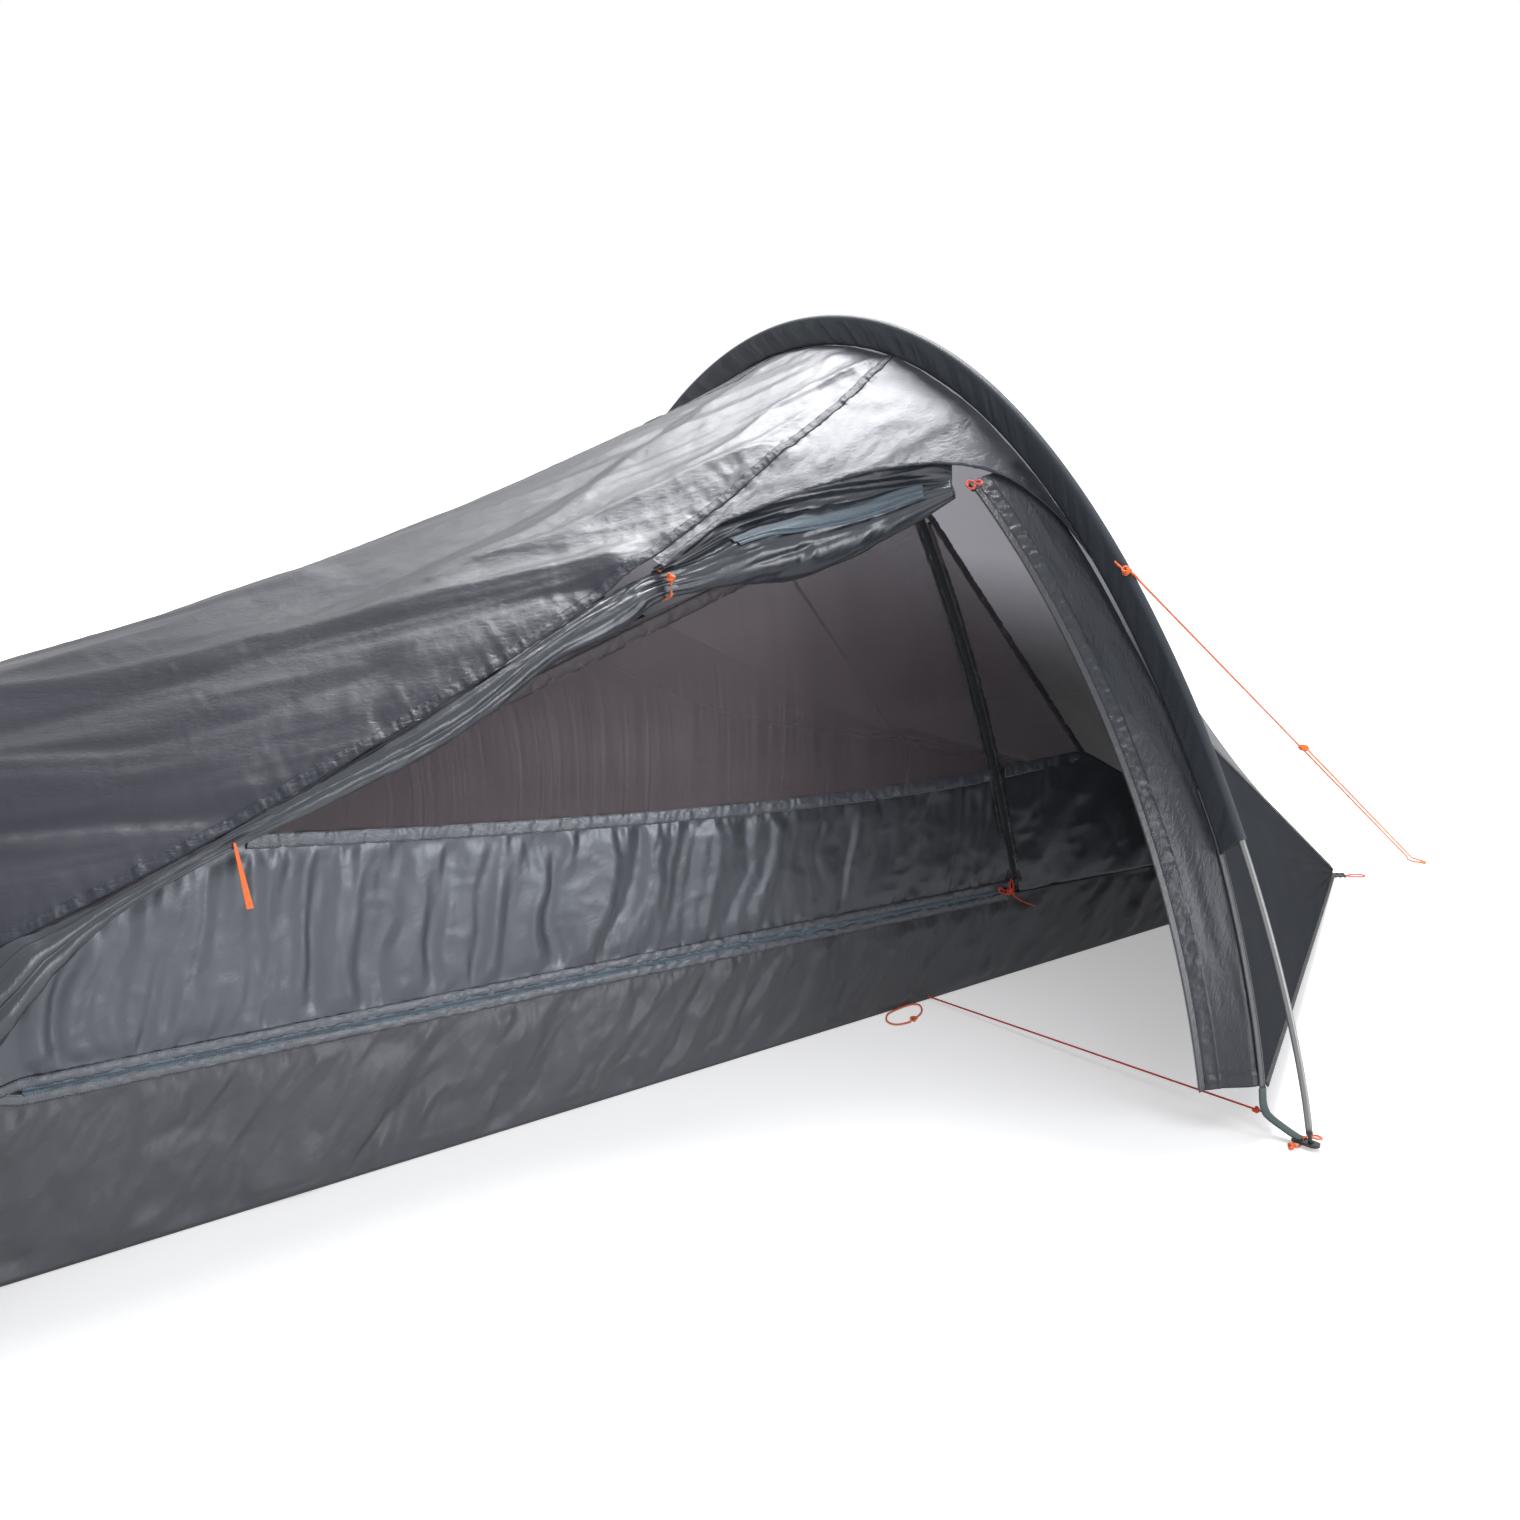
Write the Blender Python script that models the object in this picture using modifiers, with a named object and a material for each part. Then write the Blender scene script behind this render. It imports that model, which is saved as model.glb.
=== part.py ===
"""One-person hoop tent: an outer tent on a main hoop and a low foot hoop, and an inner tent hung inside.

Metres. Origin on the ground below the main hoop's top, +X to the head end, +Y to the far side, +Z up.
Cloth is drawn thicker than it is, so that every panel is a solid.
"""

import math
from collections import namedtuple

import bpy
import numpy as np
from mathutils import Matrix

# Clearances and cloth
TOUCH_GAP = 0.0004
CLOTH = 0.0010
WEBBING_THICKNESS = 0.0014
WEBBING_WIDTH = 0.0135
CORD_DIAMETER = 0.003
LOOP_CORD_DIAMETER = 0.0025

# Main hoop, measured to the middle of its pole
HOOP_HALF_WIDTH = 0.831
HOOP_HEIGHT = 0.944
HOOP_WIDTH_POWER = 2.05
HOOP_HEIGHT_POWER = 1.3

# Foot hoop
FOOT_HOOP_BEHIND = 1.75
FOOT_HOOP_CENTRE_Y = 0.15
FOOT_HOOP_HALF_WIDTH = 0.486
FOOT_HOOP_HEIGHT = 0.536

# Poles
POLE_DIAMETER = 0.0085
POLE_WALL = 0.00075
POLE_SIDES = 8
POLE_FOOT_HEIGHT = 0.020
MAIN_POLE_SECTION_COUNT = 5
FOOT_POLE_SECTION_COUNT = 2
SPAN_COUNT_PER_SECTION = 12
INSERT_CLEARANCE = 0.00025
INSERT_WALL = 0.0008
SHOCK_CORD_DIAMETER = 0.0024
TIP_PLUG_LENGTH = 0.020
TIP_PIN_DIAMETER = 0.0050
TIP_PIN_LENGTH = 0.018
TIP_SHOULDER = 0.003

# Pole sleeves
SLEEVE_DEPTH = 0.036
SLEEVE_POLE_CLEARANCE = 0.0007
SLEEVE_TAIL_HALF_WIDTH = 0.0012
SLEEVE_END_HEIGHT = 0.345
FOOT_SLEEVE_END_HEIGHT = 0.08

# Outer tent: angles run round the hoop from its near foot to its far foot
FLY_SAG = 0.080
FLY_CORNER_TUCK = 0.030
HEM_HEIGHT_AT_HOOP = 0.055
HEM_HEIGHT_AT_FOOT = 0.012
SEAM_ANGLE = 1.43
SEAM_ANGLE_PER_METRE = 0.42
BROW_HEM_ANGLE = 1.25
BROW_HEM_DROP = 0.20
BROW_HEM_DROP_LENGTH = 0.10
BROW_SLEEVE_DROP = 0.15
BROW_SLEEVE_DROP_LENGTH = 0.012
BROW_BAND_ANGLE = 0.027
BROW_LENGTH = 0.475
CREASE_ANGLE = 0.743
HEAD_REACH = 1.0
HEAD_NEAR_Y = -0.186
HEAD_FAR_Y = 0.55
HEAD_CORNER_HEIGHT = 0.014
FOOT_END_REACH = 0.19
FOOT_END_HALF_WIDTH = 0.36

# Outer door: its free zip edge from top to bottom, and the roll that ties it up
DOOR_EDGE_TOP = (-0.070, -0.333, 0.750)
DOOR_EDGE_MIDDLE = (-0.079, -0.592, 0.447)
DOOR_EDGE_BOTTOM = (-0.060, -0.722, 0.055)
JAMB_TOP_RISE = 0.025
JAMB_UNDERLAP = 0.0055
ZIP_TAPE_WIDTH = 0.010
ZIP_THICKNESS = 0.0016
# The foot hoop's distance for which the roll is drawn, then x, y, z and radius from its top to the foot
ROLL_DRAWN_BEHIND = 1.75
DOOR_ROLL = (
    (-0.092, -0.318, 0.738, 0.009),
    (-0.125, -0.275, 0.719, 0.022),
    (-0.190, -0.240, 0.692, 0.034),
    (-0.270, -0.222, 0.674, 0.038),
    (-0.360, -0.212, 0.662, 0.029),
    (-0.425, -0.208, 0.648, 0.019),
    (-0.472, -0.205, 0.640, 0.015),
    (-0.530, -0.208, 0.624, 0.015),
    (-0.633, -0.217, 0.587, 0.013),
    (-0.742, -0.225, 0.538, 0.018),
    (-0.844, -0.231, 0.499, 0.017),
    (-0.930, -0.235, 0.470, 0.014),
    (-1.048, -0.238, 0.435, 0.008),
    (-1.132, -0.239, 0.407, 0.008),
    (-1.185, -0.240, 0.388, 0.010),
    (-1.237, -0.240, 0.364, 0.018),
    (-1.290, -0.243, 0.333, 0.029),
    (-1.450, -0.270, 0.213, 0.040),
    (-1.680, -0.325, 0.050, 0.022),
)
FRONT_TIE_KNOT_INDEX = 6
BACK_TIE_KNOT_INDEX = 12

# Inner tent
INNER_FOOT_X = -1.50
INNER_HEAD_X = 0.65
INNER_NEAR_Y = -0.175
INNER_FAR_Y_AT_FOOT = 0.42
INNER_FAR_Y_AT_HOOP = 0.60
INNER_FAR_Y_AT_HEAD = 0.50
FLOOR_THICKNESS = 0.0012
INNER_PEAK_X = -0.015
INNER_PEAK_HEIGHT = 0.72
INNER_FOOT_HEIGHT = 0.28
INNER_SHOULDER_X = 0.34
INNER_HEAD_HEIGHT = 0.16
FAR_WALL_HEIGHT_AT_FOOT = 0.22
FAR_WALL_HEIGHT_AT_HOOP = 0.40
FAR_WALL_HEIGHT_AT_HEAD = 0.20
MESH_SEAM_HEIGHT = 0.318
INNER_SHOULDER_HEIGHT = MESH_SEAM_HEIGHT
MESH_SEAM_RISE = 0.105
MESH_SEAM_START_X = 0.13
MESH_SEAM_END_X = -1.01
INNER_ZIP_WIDTH = 0.012
INNER_ZIP_HEAD_X = 0.192
INNER_ZIP_HEAD_HEIGHT = 0.131
INNER_ZIP_FOOT_X = -1.257
INNER_ZIP_FOOT_HEIGHT = 0.200
UPRIGHT_ZIP_BOTTOM = (0.205, 0.118)
UPRIGHT_ZIP_MIDDLE = (0.112, 0.422)
UPRIGHT_ZIP_TOP = (-0.010, 0.690)
TUB_HEAD_HEIGHT = 0.100

# Zip sliders and pulls
SLIDER_LENGTH = 0.010
SLIDER_PLATE = 0.0016
SLIDER_WIDTH = 0.008
# Along the zip, across it, and out from the slider's face: the bunched loop of the outer slider's pull
FLY_PULL_ROUTE = (
    (-0.003, 0.000, 0.0015), (0.002, 0.004, 0.0015), (0.007, 0.008, 0.0018), (0.005, 0.015, 0.0022),
    (-0.001, 0.016, 0.0030), (-0.005, 0.011, 0.0045), (-0.001, 0.006, 0.0052), (0.005, 0.001, 0.0056),
    (0.003, -0.006, 0.0050), (-0.004, -0.006, 0.0030),
)
# Beside and above the lower inner slider, and the layer of cord from its face: the bow that pulls it
BOW_ROUTE = (
    (0.000, 0.000, 0), (-0.010, 0.003, 0), (-0.019, 0.009, 0), (-0.020, 0.003, 0), (-0.009, -0.002, 0),
    (0.003, -0.004, 1), (0.006, 0.008, 1), (0.001, 0.018, 1), (-0.005, 0.010, 2), (-0.001, 0.000, 2),
    (0.012, -0.012, 2), (0.030, -0.022, 2), (0.050, -0.031, 2),
)

# Guyline and ground fittings
GUY_ANGLE = 0.90
GUY_KNOT_ABOVE = 0.016
GUY_TAB_LENGTH = 0.014
GUY_TAB_WIDTH = 0.025
GUY_PEG = (1.180, -0.228)
GUY_STRAND_GAP = 0.008
GUY_LOOP_RADIUS = 0.012
RUNNER_SHARE = 0.50
RUNNER_THICKNESS = 0.005
CROSS_CORD_START_X = 0.024
EYELET_THICKNESS = 0.0035
EYELET_LIFT = 0.0040
EYELET_HALF_WIDTH = 0.0075
EYELET_LENGTH = 0.034
EYELET_BEYOND_PIN = 0.012
PEG_HOLE_REACH = 0.0110
PEG_HOLE_RADIUS = 0.0028
INNER_PEG_LOOP = (
    (-0.012, -0.1779), (-0.040, -0.1794), (-0.065, -0.1860), (-0.084, -0.2050), (-0.084, -0.2220),
    (-0.064, -0.2270), (-0.045, -0.2210), (-0.027, -0.2130), (-0.012, -0.2000), (-0.004, -0.1860),
)
TOGGLE_LENGTH = 0.018
TOGGLE_DIAMETER = 0.0060
TOGGLE_STAND_OFF = 0.0090
TAIL_LENGTH = 0.072
TAIL_TOP_WIDTH = 0.003
TAIL_BOTTOM_WIDTH = 0.008
TAIL_LEAN = 0.013

Hoop = namedtuple("Hoop", "x centre_y half_width height")
MAIN_HOOP = Hoop(0.0, 0.0, HOOP_HALF_WIDTH, HOOP_HEIGHT)
FOOT_HOOP = Hoop(-FOOT_HOOP_BEHIND, FOOT_HOOP_CENTRE_Y, FOOT_HOOP_HALF_WIDTH, FOOT_HOOP_HEIGHT)
Arc = namedtuple("Arc", "centre axis start side radius sweep")
PANEL_START = SLEEVE_TAIL_HALF_WIDTH + CLOTH + 2 * TOUCH_GAP


def clear_scene():
    for obj in list(bpy.data.objects):
        bpy.data.objects.remove(obj, do_unlink=True)


def new_collection(name, hidden=False):
    made = bpy.data.collections.new(name)
    made.hide_render = hidden
    bpy.context.scene.collection.children.link(made)
    return made


def material(name, colour, roughness, metallic=0.0):
    made = bpy.data.materials.new(name)
    made.use_nodes = True
    shader = made.node_tree.nodes["Principled BSDF"]
    shader.inputs["Base Color"].default_value = (*colour, 1.0)
    shader.inputs["Roughness"].default_value = roughness
    shader.inputs["Metallic"].default_value = metallic
    return made


def add_object(name, data, finish):
    data.materials.append(finish)
    obj = bpy.data.objects.new(name, data)
    TENT.objects.link(obj)
    return obj


def mesh_piece(name, points, faces, finish):
    mesh = bpy.data.meshes.new(name)
    mesh.from_pydata([tuple(float(v) for v in p) for p in points], [], faces)
    mesh.update()
    return add_object(name, mesh, finish)


def sheet(name, rows, outward, finish, thickness=CLOTH, round_rows=False):
    """An open grid made solid on the side that looks outward; round_rows joins each row's ends."""
    rows = np.asarray(rows, float)
    count, width = rows.shape[:2]
    across = width if round_rows else width - 1
    faces = []
    for i in range(count - 1):
        for j in range(across):
            k = (j + 1) % width
            faces.append((i * width + j, i * width + k, (i + 1) * width + k, (i + 1) * width + j))
    points = rows.reshape(-1, 3)
    first, second = points[faces[0][1]] - points[faces[0][0]], points[faces[0][3]] - points[faces[0][0]]
    if np.dot(np.cross(first, second), outward) < 0:
        faces = [face[::-1] for face in faces]
    obj = mesh_piece(name, points, faces, finish)
    solid = obj.modifiers.new("Thickness", "SOLIDIFY")
    solid.thickness = thickness
    solid.offset = 1.0
    solid.use_even_offset = True
    return obj


def flat_piece(name, outlines, thickness, matrix, finish):
    """A flat plate of one outline and any holes, extruded both ways from its own XY plane."""
    curve = bpy.data.curves.new(name, "CURVE")
    curve.dimensions = "2D"
    curve.fill_mode = "BOTH"
    curve.extrude = thickness / 2
    for outline in outlines:
        spline = curve.splines.new("POLY")
        spline.points.add(len(outline) - 1)
        for point, (x, y) in zip(spline.points, outline):
            point.co = (x, y, 0.0, 1.0)
        spline.use_cyclic_u = True
    obj = add_object(name, curve, finish)
    obj.matrix_world = matrix
    return obj


def tube(name, path, diameter, finish, resolution=2, radii=None, cyclic=False):
    curve = bpy.data.curves.new(name, "CURVE")
    curve.dimensions = "3D"
    curve.bevel_depth = diameter / 2
    curve.bevel_resolution = resolution
    curve.use_fill_caps = not cyclic
    spline = curve.splines.new("POLY")
    spline.points.add(len(path) - 1)
    for index, (point, place) in enumerate(zip(spline.points, path)):
        point.co = (*(float(v) for v in place), 1.0)
        point.radius = 1.0 if radii is None else float(radii[index]) / (diameter / 2)
    spline.use_cyclic_u = cyclic
    return add_object(name, curve, finish)


def turned(name, profile, steps, matrix, finish):
    """A profile of (radius, height) pairs, from its top to its bottom, turned round Z."""
    points = [(radius, 0.0, height) for radius, height in profile]
    mesh = bpy.data.meshes.new(name)
    mesh.from_pydata(points, [(i, i + 1) for i in range(len(points) - 1)], [])
    obj = add_object(name, mesh, finish)
    screw = obj.modifiers.new("Turn", "SCREW")
    screw.axis = "Z"
    screw.steps = steps
    screw.render_steps = steps
    screw.use_merge_vertices = True
    screw.merge_threshold = 0.00001
    obj.matrix_world = matrix
    return obj


def frame_matrix(origin, across, up, along):
    """A placement whose X, Y and Z axes are the three directions given."""
    matrix = Matrix.Identity(4)
    for column, axis in enumerate((across, up, along)):
        for row in range(3):
            matrix[row][column] = float(axis[row])
    for row in range(3):
        matrix[row][3] = float(origin[row])
    return matrix


def unit(vector):
    vector = np.asarray(vector, float)
    return vector / np.linalg.norm(vector)


def circle_outline(radius, count, centre=(0.0, 0.0)):
    turns = [2 * math.pi * i / count for i in range(count)]
    return [(centre[0] + radius * math.cos(a), centre[1] + radius * math.sin(a)) for a in turns]


def smooth_path(knots, per_span, cyclic=False):
    """Points on one smooth curve through the knots, which may carry a radius as a fourth value."""
    knots = np.asarray(knots, float)
    count = len(knots)
    spans = count if cyclic else count - 1
    points = []
    for i in range(spans):
        if cyclic:
            a, b, c, d = (knots[(i + k) % count] for k in (-1, 0, 1, 2))
        else:
            b, c = knots[i], knots[i + 1]
            a = knots[i - 1] if i else 2 * b - c
            d = knots[i + 2] if i + 2 < count else 2 * c - b
        for step in range(per_span):
            s = step / per_span
            square = (2 * a - 5 * b + 4 * c - d) * s**2
            cube = (3 * b - a - 3 * c + d) * s**3
            points.append(0.5 * (2 * b + (c - a) * s + square + cube))
    if not cyclic:
        points.append(knots[-1])
    return np.array(points)


def pivot(name, place, *pieces):
    """An empty on a joint's axis that carries the pieces that move with it."""
    empty = bpy.data.objects.new(name, None)
    TENT.objects.link(empty)
    empty.location = place
    for piece in pieces:
        piece.parent = empty
        piece.matrix_parent_inverse = Matrix.Translation(place).inverted()
    return empty


# Hoops


def hoop_point(hoop, angle, inset=0.0):
    """A point of the hoop's curve, moved in by inset; angle 0 is the near foot, pi the far one."""
    across = abs(math.cos(angle)) ** (2 / HOOP_WIDTH_POWER) * math.copysign(1.0, -math.cos(angle))
    up = max(math.sin(angle), 0.0) ** (2 / HOOP_HEIGHT_POWER)
    return np.array(
        (hoop.x, hoop.centre_y + (hoop.half_width - inset) * across, (hoop.height - inset) * up)
    )


def angle_at_height(hoop, height, inset=0.0):
    return math.asin((height / (hoop.height - inset)) ** (HOOP_HEIGHT_POWER / 2))


def pole_path(hoop, sections, foot_height):
    """Equally spaced points along the pole's middle, and the angle of each."""
    start = angle_at_height(hoop, foot_height)
    angles = np.linspace(start, math.pi - start, 1500)
    places = np.array([hoop_point(hoop, a) for a in angles])
    run = np.concatenate([[0.0], np.cumsum(np.linalg.norm(np.diff(places, axis=0), axis=1))])
    wanted = np.linspace(0.0, run[-1], sections * SPAN_COUNT_PER_SECTION + 1)
    found = np.interp(wanted, run, angles)
    return [hoop_point(hoop, a) for a in found], list(found)


def ring(path, position, radius):
    """One ring of a pole, square to its path, at a position counted in spans."""
    index = min(int(round(position)), len(path) - 1)
    low, high = path[max(index - 1, 0)], path[min(index + 1, len(path) - 1)]
    span = min(int(position), len(path) - 2)
    share = position - span
    place = path[span] * (1 - share) + path[span + 1] * share
    side = np.array((1.0, 0.0, 0.0))
    normal = np.cross(side, unit(high - low))
    turns = [2 * math.pi * i / POLE_SIDES for i in range(POLE_SIDES)]
    return [place + radius * (math.cos(a) * side + math.sin(a) * normal) for a in turns]


def pole_section(name, path, first, last, with_insert):
    """A hollow pole section bent along the hoop, with the thinner insert that plugs into the next one."""
    outer = POLE_DIAMETER / 2
    bore = outer - POLE_WALL
    plug = bore - INSERT_CLEARANCE
    start = first + TOUCH_GAP / float(np.linalg.norm(path[1] - path[0]))
    between = list(range(first + 1, last))
    stations = [(p, outer) for p in [start, *between, last]]
    inside = [start, *between]
    if with_insert:
        shoulder = last - 0.3
        stations += [(last, plug), (last + 1, plug), (last + 1, plug - INSERT_WALL)]
        stations += [(last, plug - INSERT_WALL), (shoulder, plug - INSERT_WALL), (shoulder, bore)]
    else:
        inside = [*inside, last]
    stations += [(p, bore) for p in reversed(inside)]
    points = [point for position, radius in stations for point in ring(path, position, radius)]
    faces = []
    for i in range(len(stations)):
        j = (i + 1) % len(stations)
        for k in range(POLE_SIDES):
            n = (k + 1) % POLE_SIDES
            faces.append((i * POLE_SIDES + n, i * POLE_SIDES + k, j * POLE_SIDES + k, j * POLE_SIDES + n))
    return mesh_piece(name, points, faces, METAL)


def pole_tip(name, end, towards):
    """The pin in the pole's foot: a plug in the bore, a shoulder and a rounded point, drawn along +Z."""
    plug = POLE_DIAMETER / 2 - POLE_WALL - 2 * INSERT_CLEARANCE
    pin = TIP_PIN_DIAMETER / 2
    neck = -TOUCH_GAP - TIP_SHOULDER
    point = -TOUCH_GAP - TIP_PIN_LENGTH
    profile = (
        (0.0, TIP_PLUG_LENGTH),
        (plug, TIP_PLUG_LENGTH),
        (plug, -TOUCH_GAP),
        (POLE_DIAMETER / 2, -TOUCH_GAP),
        (POLE_DIAMETER / 2, neck),
        (pin, neck),
        (pin, point + pin / 2),
        (pin / 2, point),
        (0.0, point),
    )
    along = unit(towards - end)
    side = np.array((1.0, 0.0, 0.0))
    return turned(name, profile, 10, frame_matrix(end, side, np.cross(along, side), along), BLACK_PLASTIC)


def pin_at(height, far=False):
    """Where the main hoop's pin passes a height above the ground."""
    path, _ = pole_path(MAIN_HOOP, MAIN_POLE_SECTION_COUNT, POLE_FOOT_HEIGHT)
    end, towards = (path[-1], path[-2]) if far else (path[0], path[1])
    along = unit(towards - end)
    return end - along * ((end[2] - height) / along[2])


def make_poles(prefix, hoop, sections):
    path, _ = pole_path(hoop, sections, POLE_FOOT_HEIGHT)
    for number in range(sections):
        first = number * SPAN_COUNT_PER_SECTION
        last = first + SPAN_COUNT_PER_SECTION
        pole_section(f"{prefix}_pole_{number + 1}", path, first, last, number + 1 < sections)
    pole_tip(f"{prefix}_pole_tip_near", path[0], path[1])
    pole_tip(f"{prefix}_pole_tip_far", path[-1], path[-2])
    return path


def shock_cord(name, path):
    """The elastic that runs through all sections, knotted at each tip's plug."""
    span = float(np.linalg.norm(path[1] - path[0]))
    reach = (TIP_PLUG_LENGTH + TOUCH_GAP) / span
    first = path[0] * (1 - reach) + path[1] * reach
    final = path[-1] * (1 - reach) + path[-2] * reach
    tube(name, [first, *path[1:-1], final], SHOCK_CORD_DIAMETER, ELASTIC, resolution=1)


def sleeve_ring(hoop, angle):
    """The sleeve's inner outline: round over the pole, narrowing to the seam where the cloth is sewn on."""
    pole = hoop_point(hoop, angle)
    seam = hoop_point(hoop, angle, SLEEVE_DEPTH)
    inward = unit(seam - pole)
    side = np.array((1.0, 0.0, 0.0))
    radius = POLE_DIAMETER / 2 + SLEEVE_POLE_CLEARANCE
    tail = float(np.linalg.norm(seam - pole)) - CLOTH - 2 * TOUCH_GAP
    outline = [(-radius * math.cos(a), radius * math.sin(a)) for a in np.radians((-90, -45, 0, 45, 90))]
    outline += [(tail, SLEEVE_TAIL_HALF_WIDTH), (tail, -SLEEVE_TAIL_HALF_WIDTH)]
    return [pole + depth * inward + across * side for depth, across in outline]


def make_sleeve(name, hoop, sections, end_height):
    _, angles = pole_path(hoop, sections, POLE_FOOT_HEIGHT)
    end = angle_at_height(hoop, end_height)
    inner = [a for a in angles if end + 0.02 < a < math.pi - end - 0.02]
    rows = [sleeve_ring(hoop, a) for a in [end, *inner, math.pi - end]]
    first = rows[0]
    outward = np.asarray(first[0]) - np.mean(first, axis=0)
    sheet(name, rows, outward, SLEEVE_CLOTH, round_rows=True)


# Outer tent


def fly_point(behind, angle, inset=0.0):
    """A point of the outer tent's cloth, behind the hoop by so much and at this angle round the section."""
    share = behind / FOOT_HOOP_BEHIND
    depth = SLEEVE_DEPTH + inset
    at_hoop = hoop_point(MAIN_HOOP, angle, depth)
    at_foot = hoop_point(FOOT_HOOP, angle, depth)
    point = at_hoop * (1 - share) + at_foot * share
    height = (MAIN_HOOP.height * (1 - share) + FOOT_HOOP.height * share) - depth
    sag = 4 * share * (1 - share) * FLY_SAG * point[2] / height
    tuck = FLY_CORNER_TUCK * max(0.0, 1 - point[2] / SLEEVE_END_HEIGHT) * (1 - max(share, 0.0))
    point[1] += math.copysign(tuck, math.cos(angle))
    point[2] -= sag
    return point


def seam_angle(behind):
    return SEAM_ANGLE - SEAM_ANGLE_PER_METRE * behind


def brow_hem_angle(behind):
    along_door = BROW_HEM_DROP * math.exp(-behind / BROW_HEM_DROP_LENGTH)
    along_sleeve = BROW_SLEEVE_DROP * math.exp(-behind / BROW_SLEEVE_DROP_LENGTH)
    return min(BROW_HEM_ANGLE - along_door - along_sleeve, seam_angle(behind) - BROW_BAND_ANGLE)


def hem_angle(behind):
    share = behind / FOOT_HOOP_BEHIND
    height = HEM_HEIGHT_AT_HOOP * (1 - share) + HEM_HEIGHT_AT_FOOT * share
    hoop = MAIN_HOOP.height * (1 - share) + FOOT_HOOP.height * share - SLEEVE_DEPTH
    return math.asin((height / hoop) ** (HOOP_HEIGHT_POWER / 2))


def brow_columns():
    """Distances behind the hoop at which the brow and the roof share points, closer where the hem turns."""
    steps = np.linspace(0.0, 1.0, 11)
    return [float(PANEL_START + (BROW_LENGTH - PANEL_START) * s**1.6) for s in steps]


def roof_columns():
    rest = np.linspace(BROW_LENGTH, FOOT_HOOP_BEHIND - PANEL_START, 8)
    return brow_columns() + [float(v) for v in rest[1:]]


def angle_gap(behind, angle):
    """The change of angle that moves a point by half the gap between two sewn panels."""
    step = 0.01
    run = np.linalg.norm(fly_point(behind, angle + step) - fly_point(behind, angle))
    return TOUCH_GAP / 2 * step / float(run)


def fly_rows(columns, low, high, count):
    """A grid of the outer tent between two edges, each a function of the distance behind the hoop."""
    rows = []
    for behind in columns:
        start, end = low(behind), high(behind)
        start, end = start + angle_gap(behind, start), end - angle_gap(behind, end)
        rows.append([fly_point(behind, start + (end - start) * k / count) for k in range(count + 1)])
    return rows


def make_roof_panels():
    columns = roof_columns()
    up = (0.0, 0.0, 1.0)
    sheet("fly_roof", fly_rows(columns, seam_angle, lambda b: math.pi - seam_angle(b), 8), up, FLY_CLOTH)
    sheet(
        "fly_far_side",
        fly_rows(columns, lambda b: math.pi - seam_angle(b), lambda b: math.pi - hem_angle(b), 7),
        (0.0, 1.0, 0.3),
        FLY_CLOTH,
    )
    sheet("fly_brow", fly_rows(brow_columns(), brow_hem_angle, seam_angle, 4), (0.0, -0.5, 1.0), FLY_CLOTH)


def blend_rows(first, second, count, sag=0.0):
    """A grid ruled between two edges of as many points, hanging a little between them."""
    rows = []
    for a, b in zip(first, second):
        row = []
        for k in range(count + 1):
            share = k / count
            point = np.asarray(a) * (1 - share) + np.asarray(b) * share
            point[2] -= 4 * share * (1 - share) * sag * min(1.0, point[2] / 0.1)
            row.append(point)
        rows.append(row)
    return rows


def make_head_panels():
    """Near, top and far panels from the hoop to the head hem, creased to the two corners."""
    start = -PANEL_START
    crease = CREASE_ANGLE
    low = hem_angle(0.0)
    count = 8
    corner_top = HEAD_CORNER_HEIGHT
    for name, corner_y, mirrored in (("near", HEAD_NEAR_Y, False), ("far", HEAD_FAR_Y, True)):
        gap = angle_gap(0.0, crease)
        angles = np.linspace(low, crease - gap, count + 1)
        if mirrored:
            angles = math.pi - angles
        hoop_edge = [fly_point(start, a) for a in angles]
        ground = WEBBING_THICKNESS
        corner = [
            (HEAD_REACH, corner_y, ground + (corner_top - TOUCH_GAP - ground) * k / count)
            for k in range(count + 1)
        ]
        side = (0.3, 1.0 if mirrored else -1.0, 0.3)
        sheet(f"fly_head_{name}", blend_rows(hoop_edge, corner, 6), side, HEAD_CLOTH)
    count = 14
    gap = angle_gap(0.0, crease)
    angles = np.linspace(crease + gap, math.pi - crease - gap, count + 1)
    hoop_edge = [fly_point(start, a) for a in angles]
    hem = [
        (HEAD_REACH, HEAD_NEAR_Y + (HEAD_FAR_Y - HEAD_NEAR_Y) * k / count, corner_top)
        for k in range(count + 1)
    ]
    sheet("fly_head_top", blend_rows(hoop_edge, hem, 6), (0.5, 0.0, 1.0), HEAD_CLOTH)


def make_foot_end():
    """The panel that closes the foot end, from the foot hoop to its hem on the ground."""
    count = 12
    low = hem_angle(FOOT_HOOP_BEHIND)
    angles = np.linspace(low, math.pi - low, count + 1)
    hoop_edge = [fly_point(FOOT_HOOP_BEHIND + PANEL_START, a) for a in angles]
    hem = [
        (
            -FOOT_HOOP_BEHIND - FOOT_END_REACH,
            FOOT_HOOP_CENTRE_Y + FOOT_END_HALF_WIDTH * (2 * k / count - 1),
            HEM_HEIGHT_AT_FOOT / 2,
        )
        for k in range(count + 1)
    ]
    sheet("fly_foot_end", blend_rows(hoop_edge, hem, 4), (-1.0, 0.0, 0.5), FLY_CLOTH)


# Zips


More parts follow.
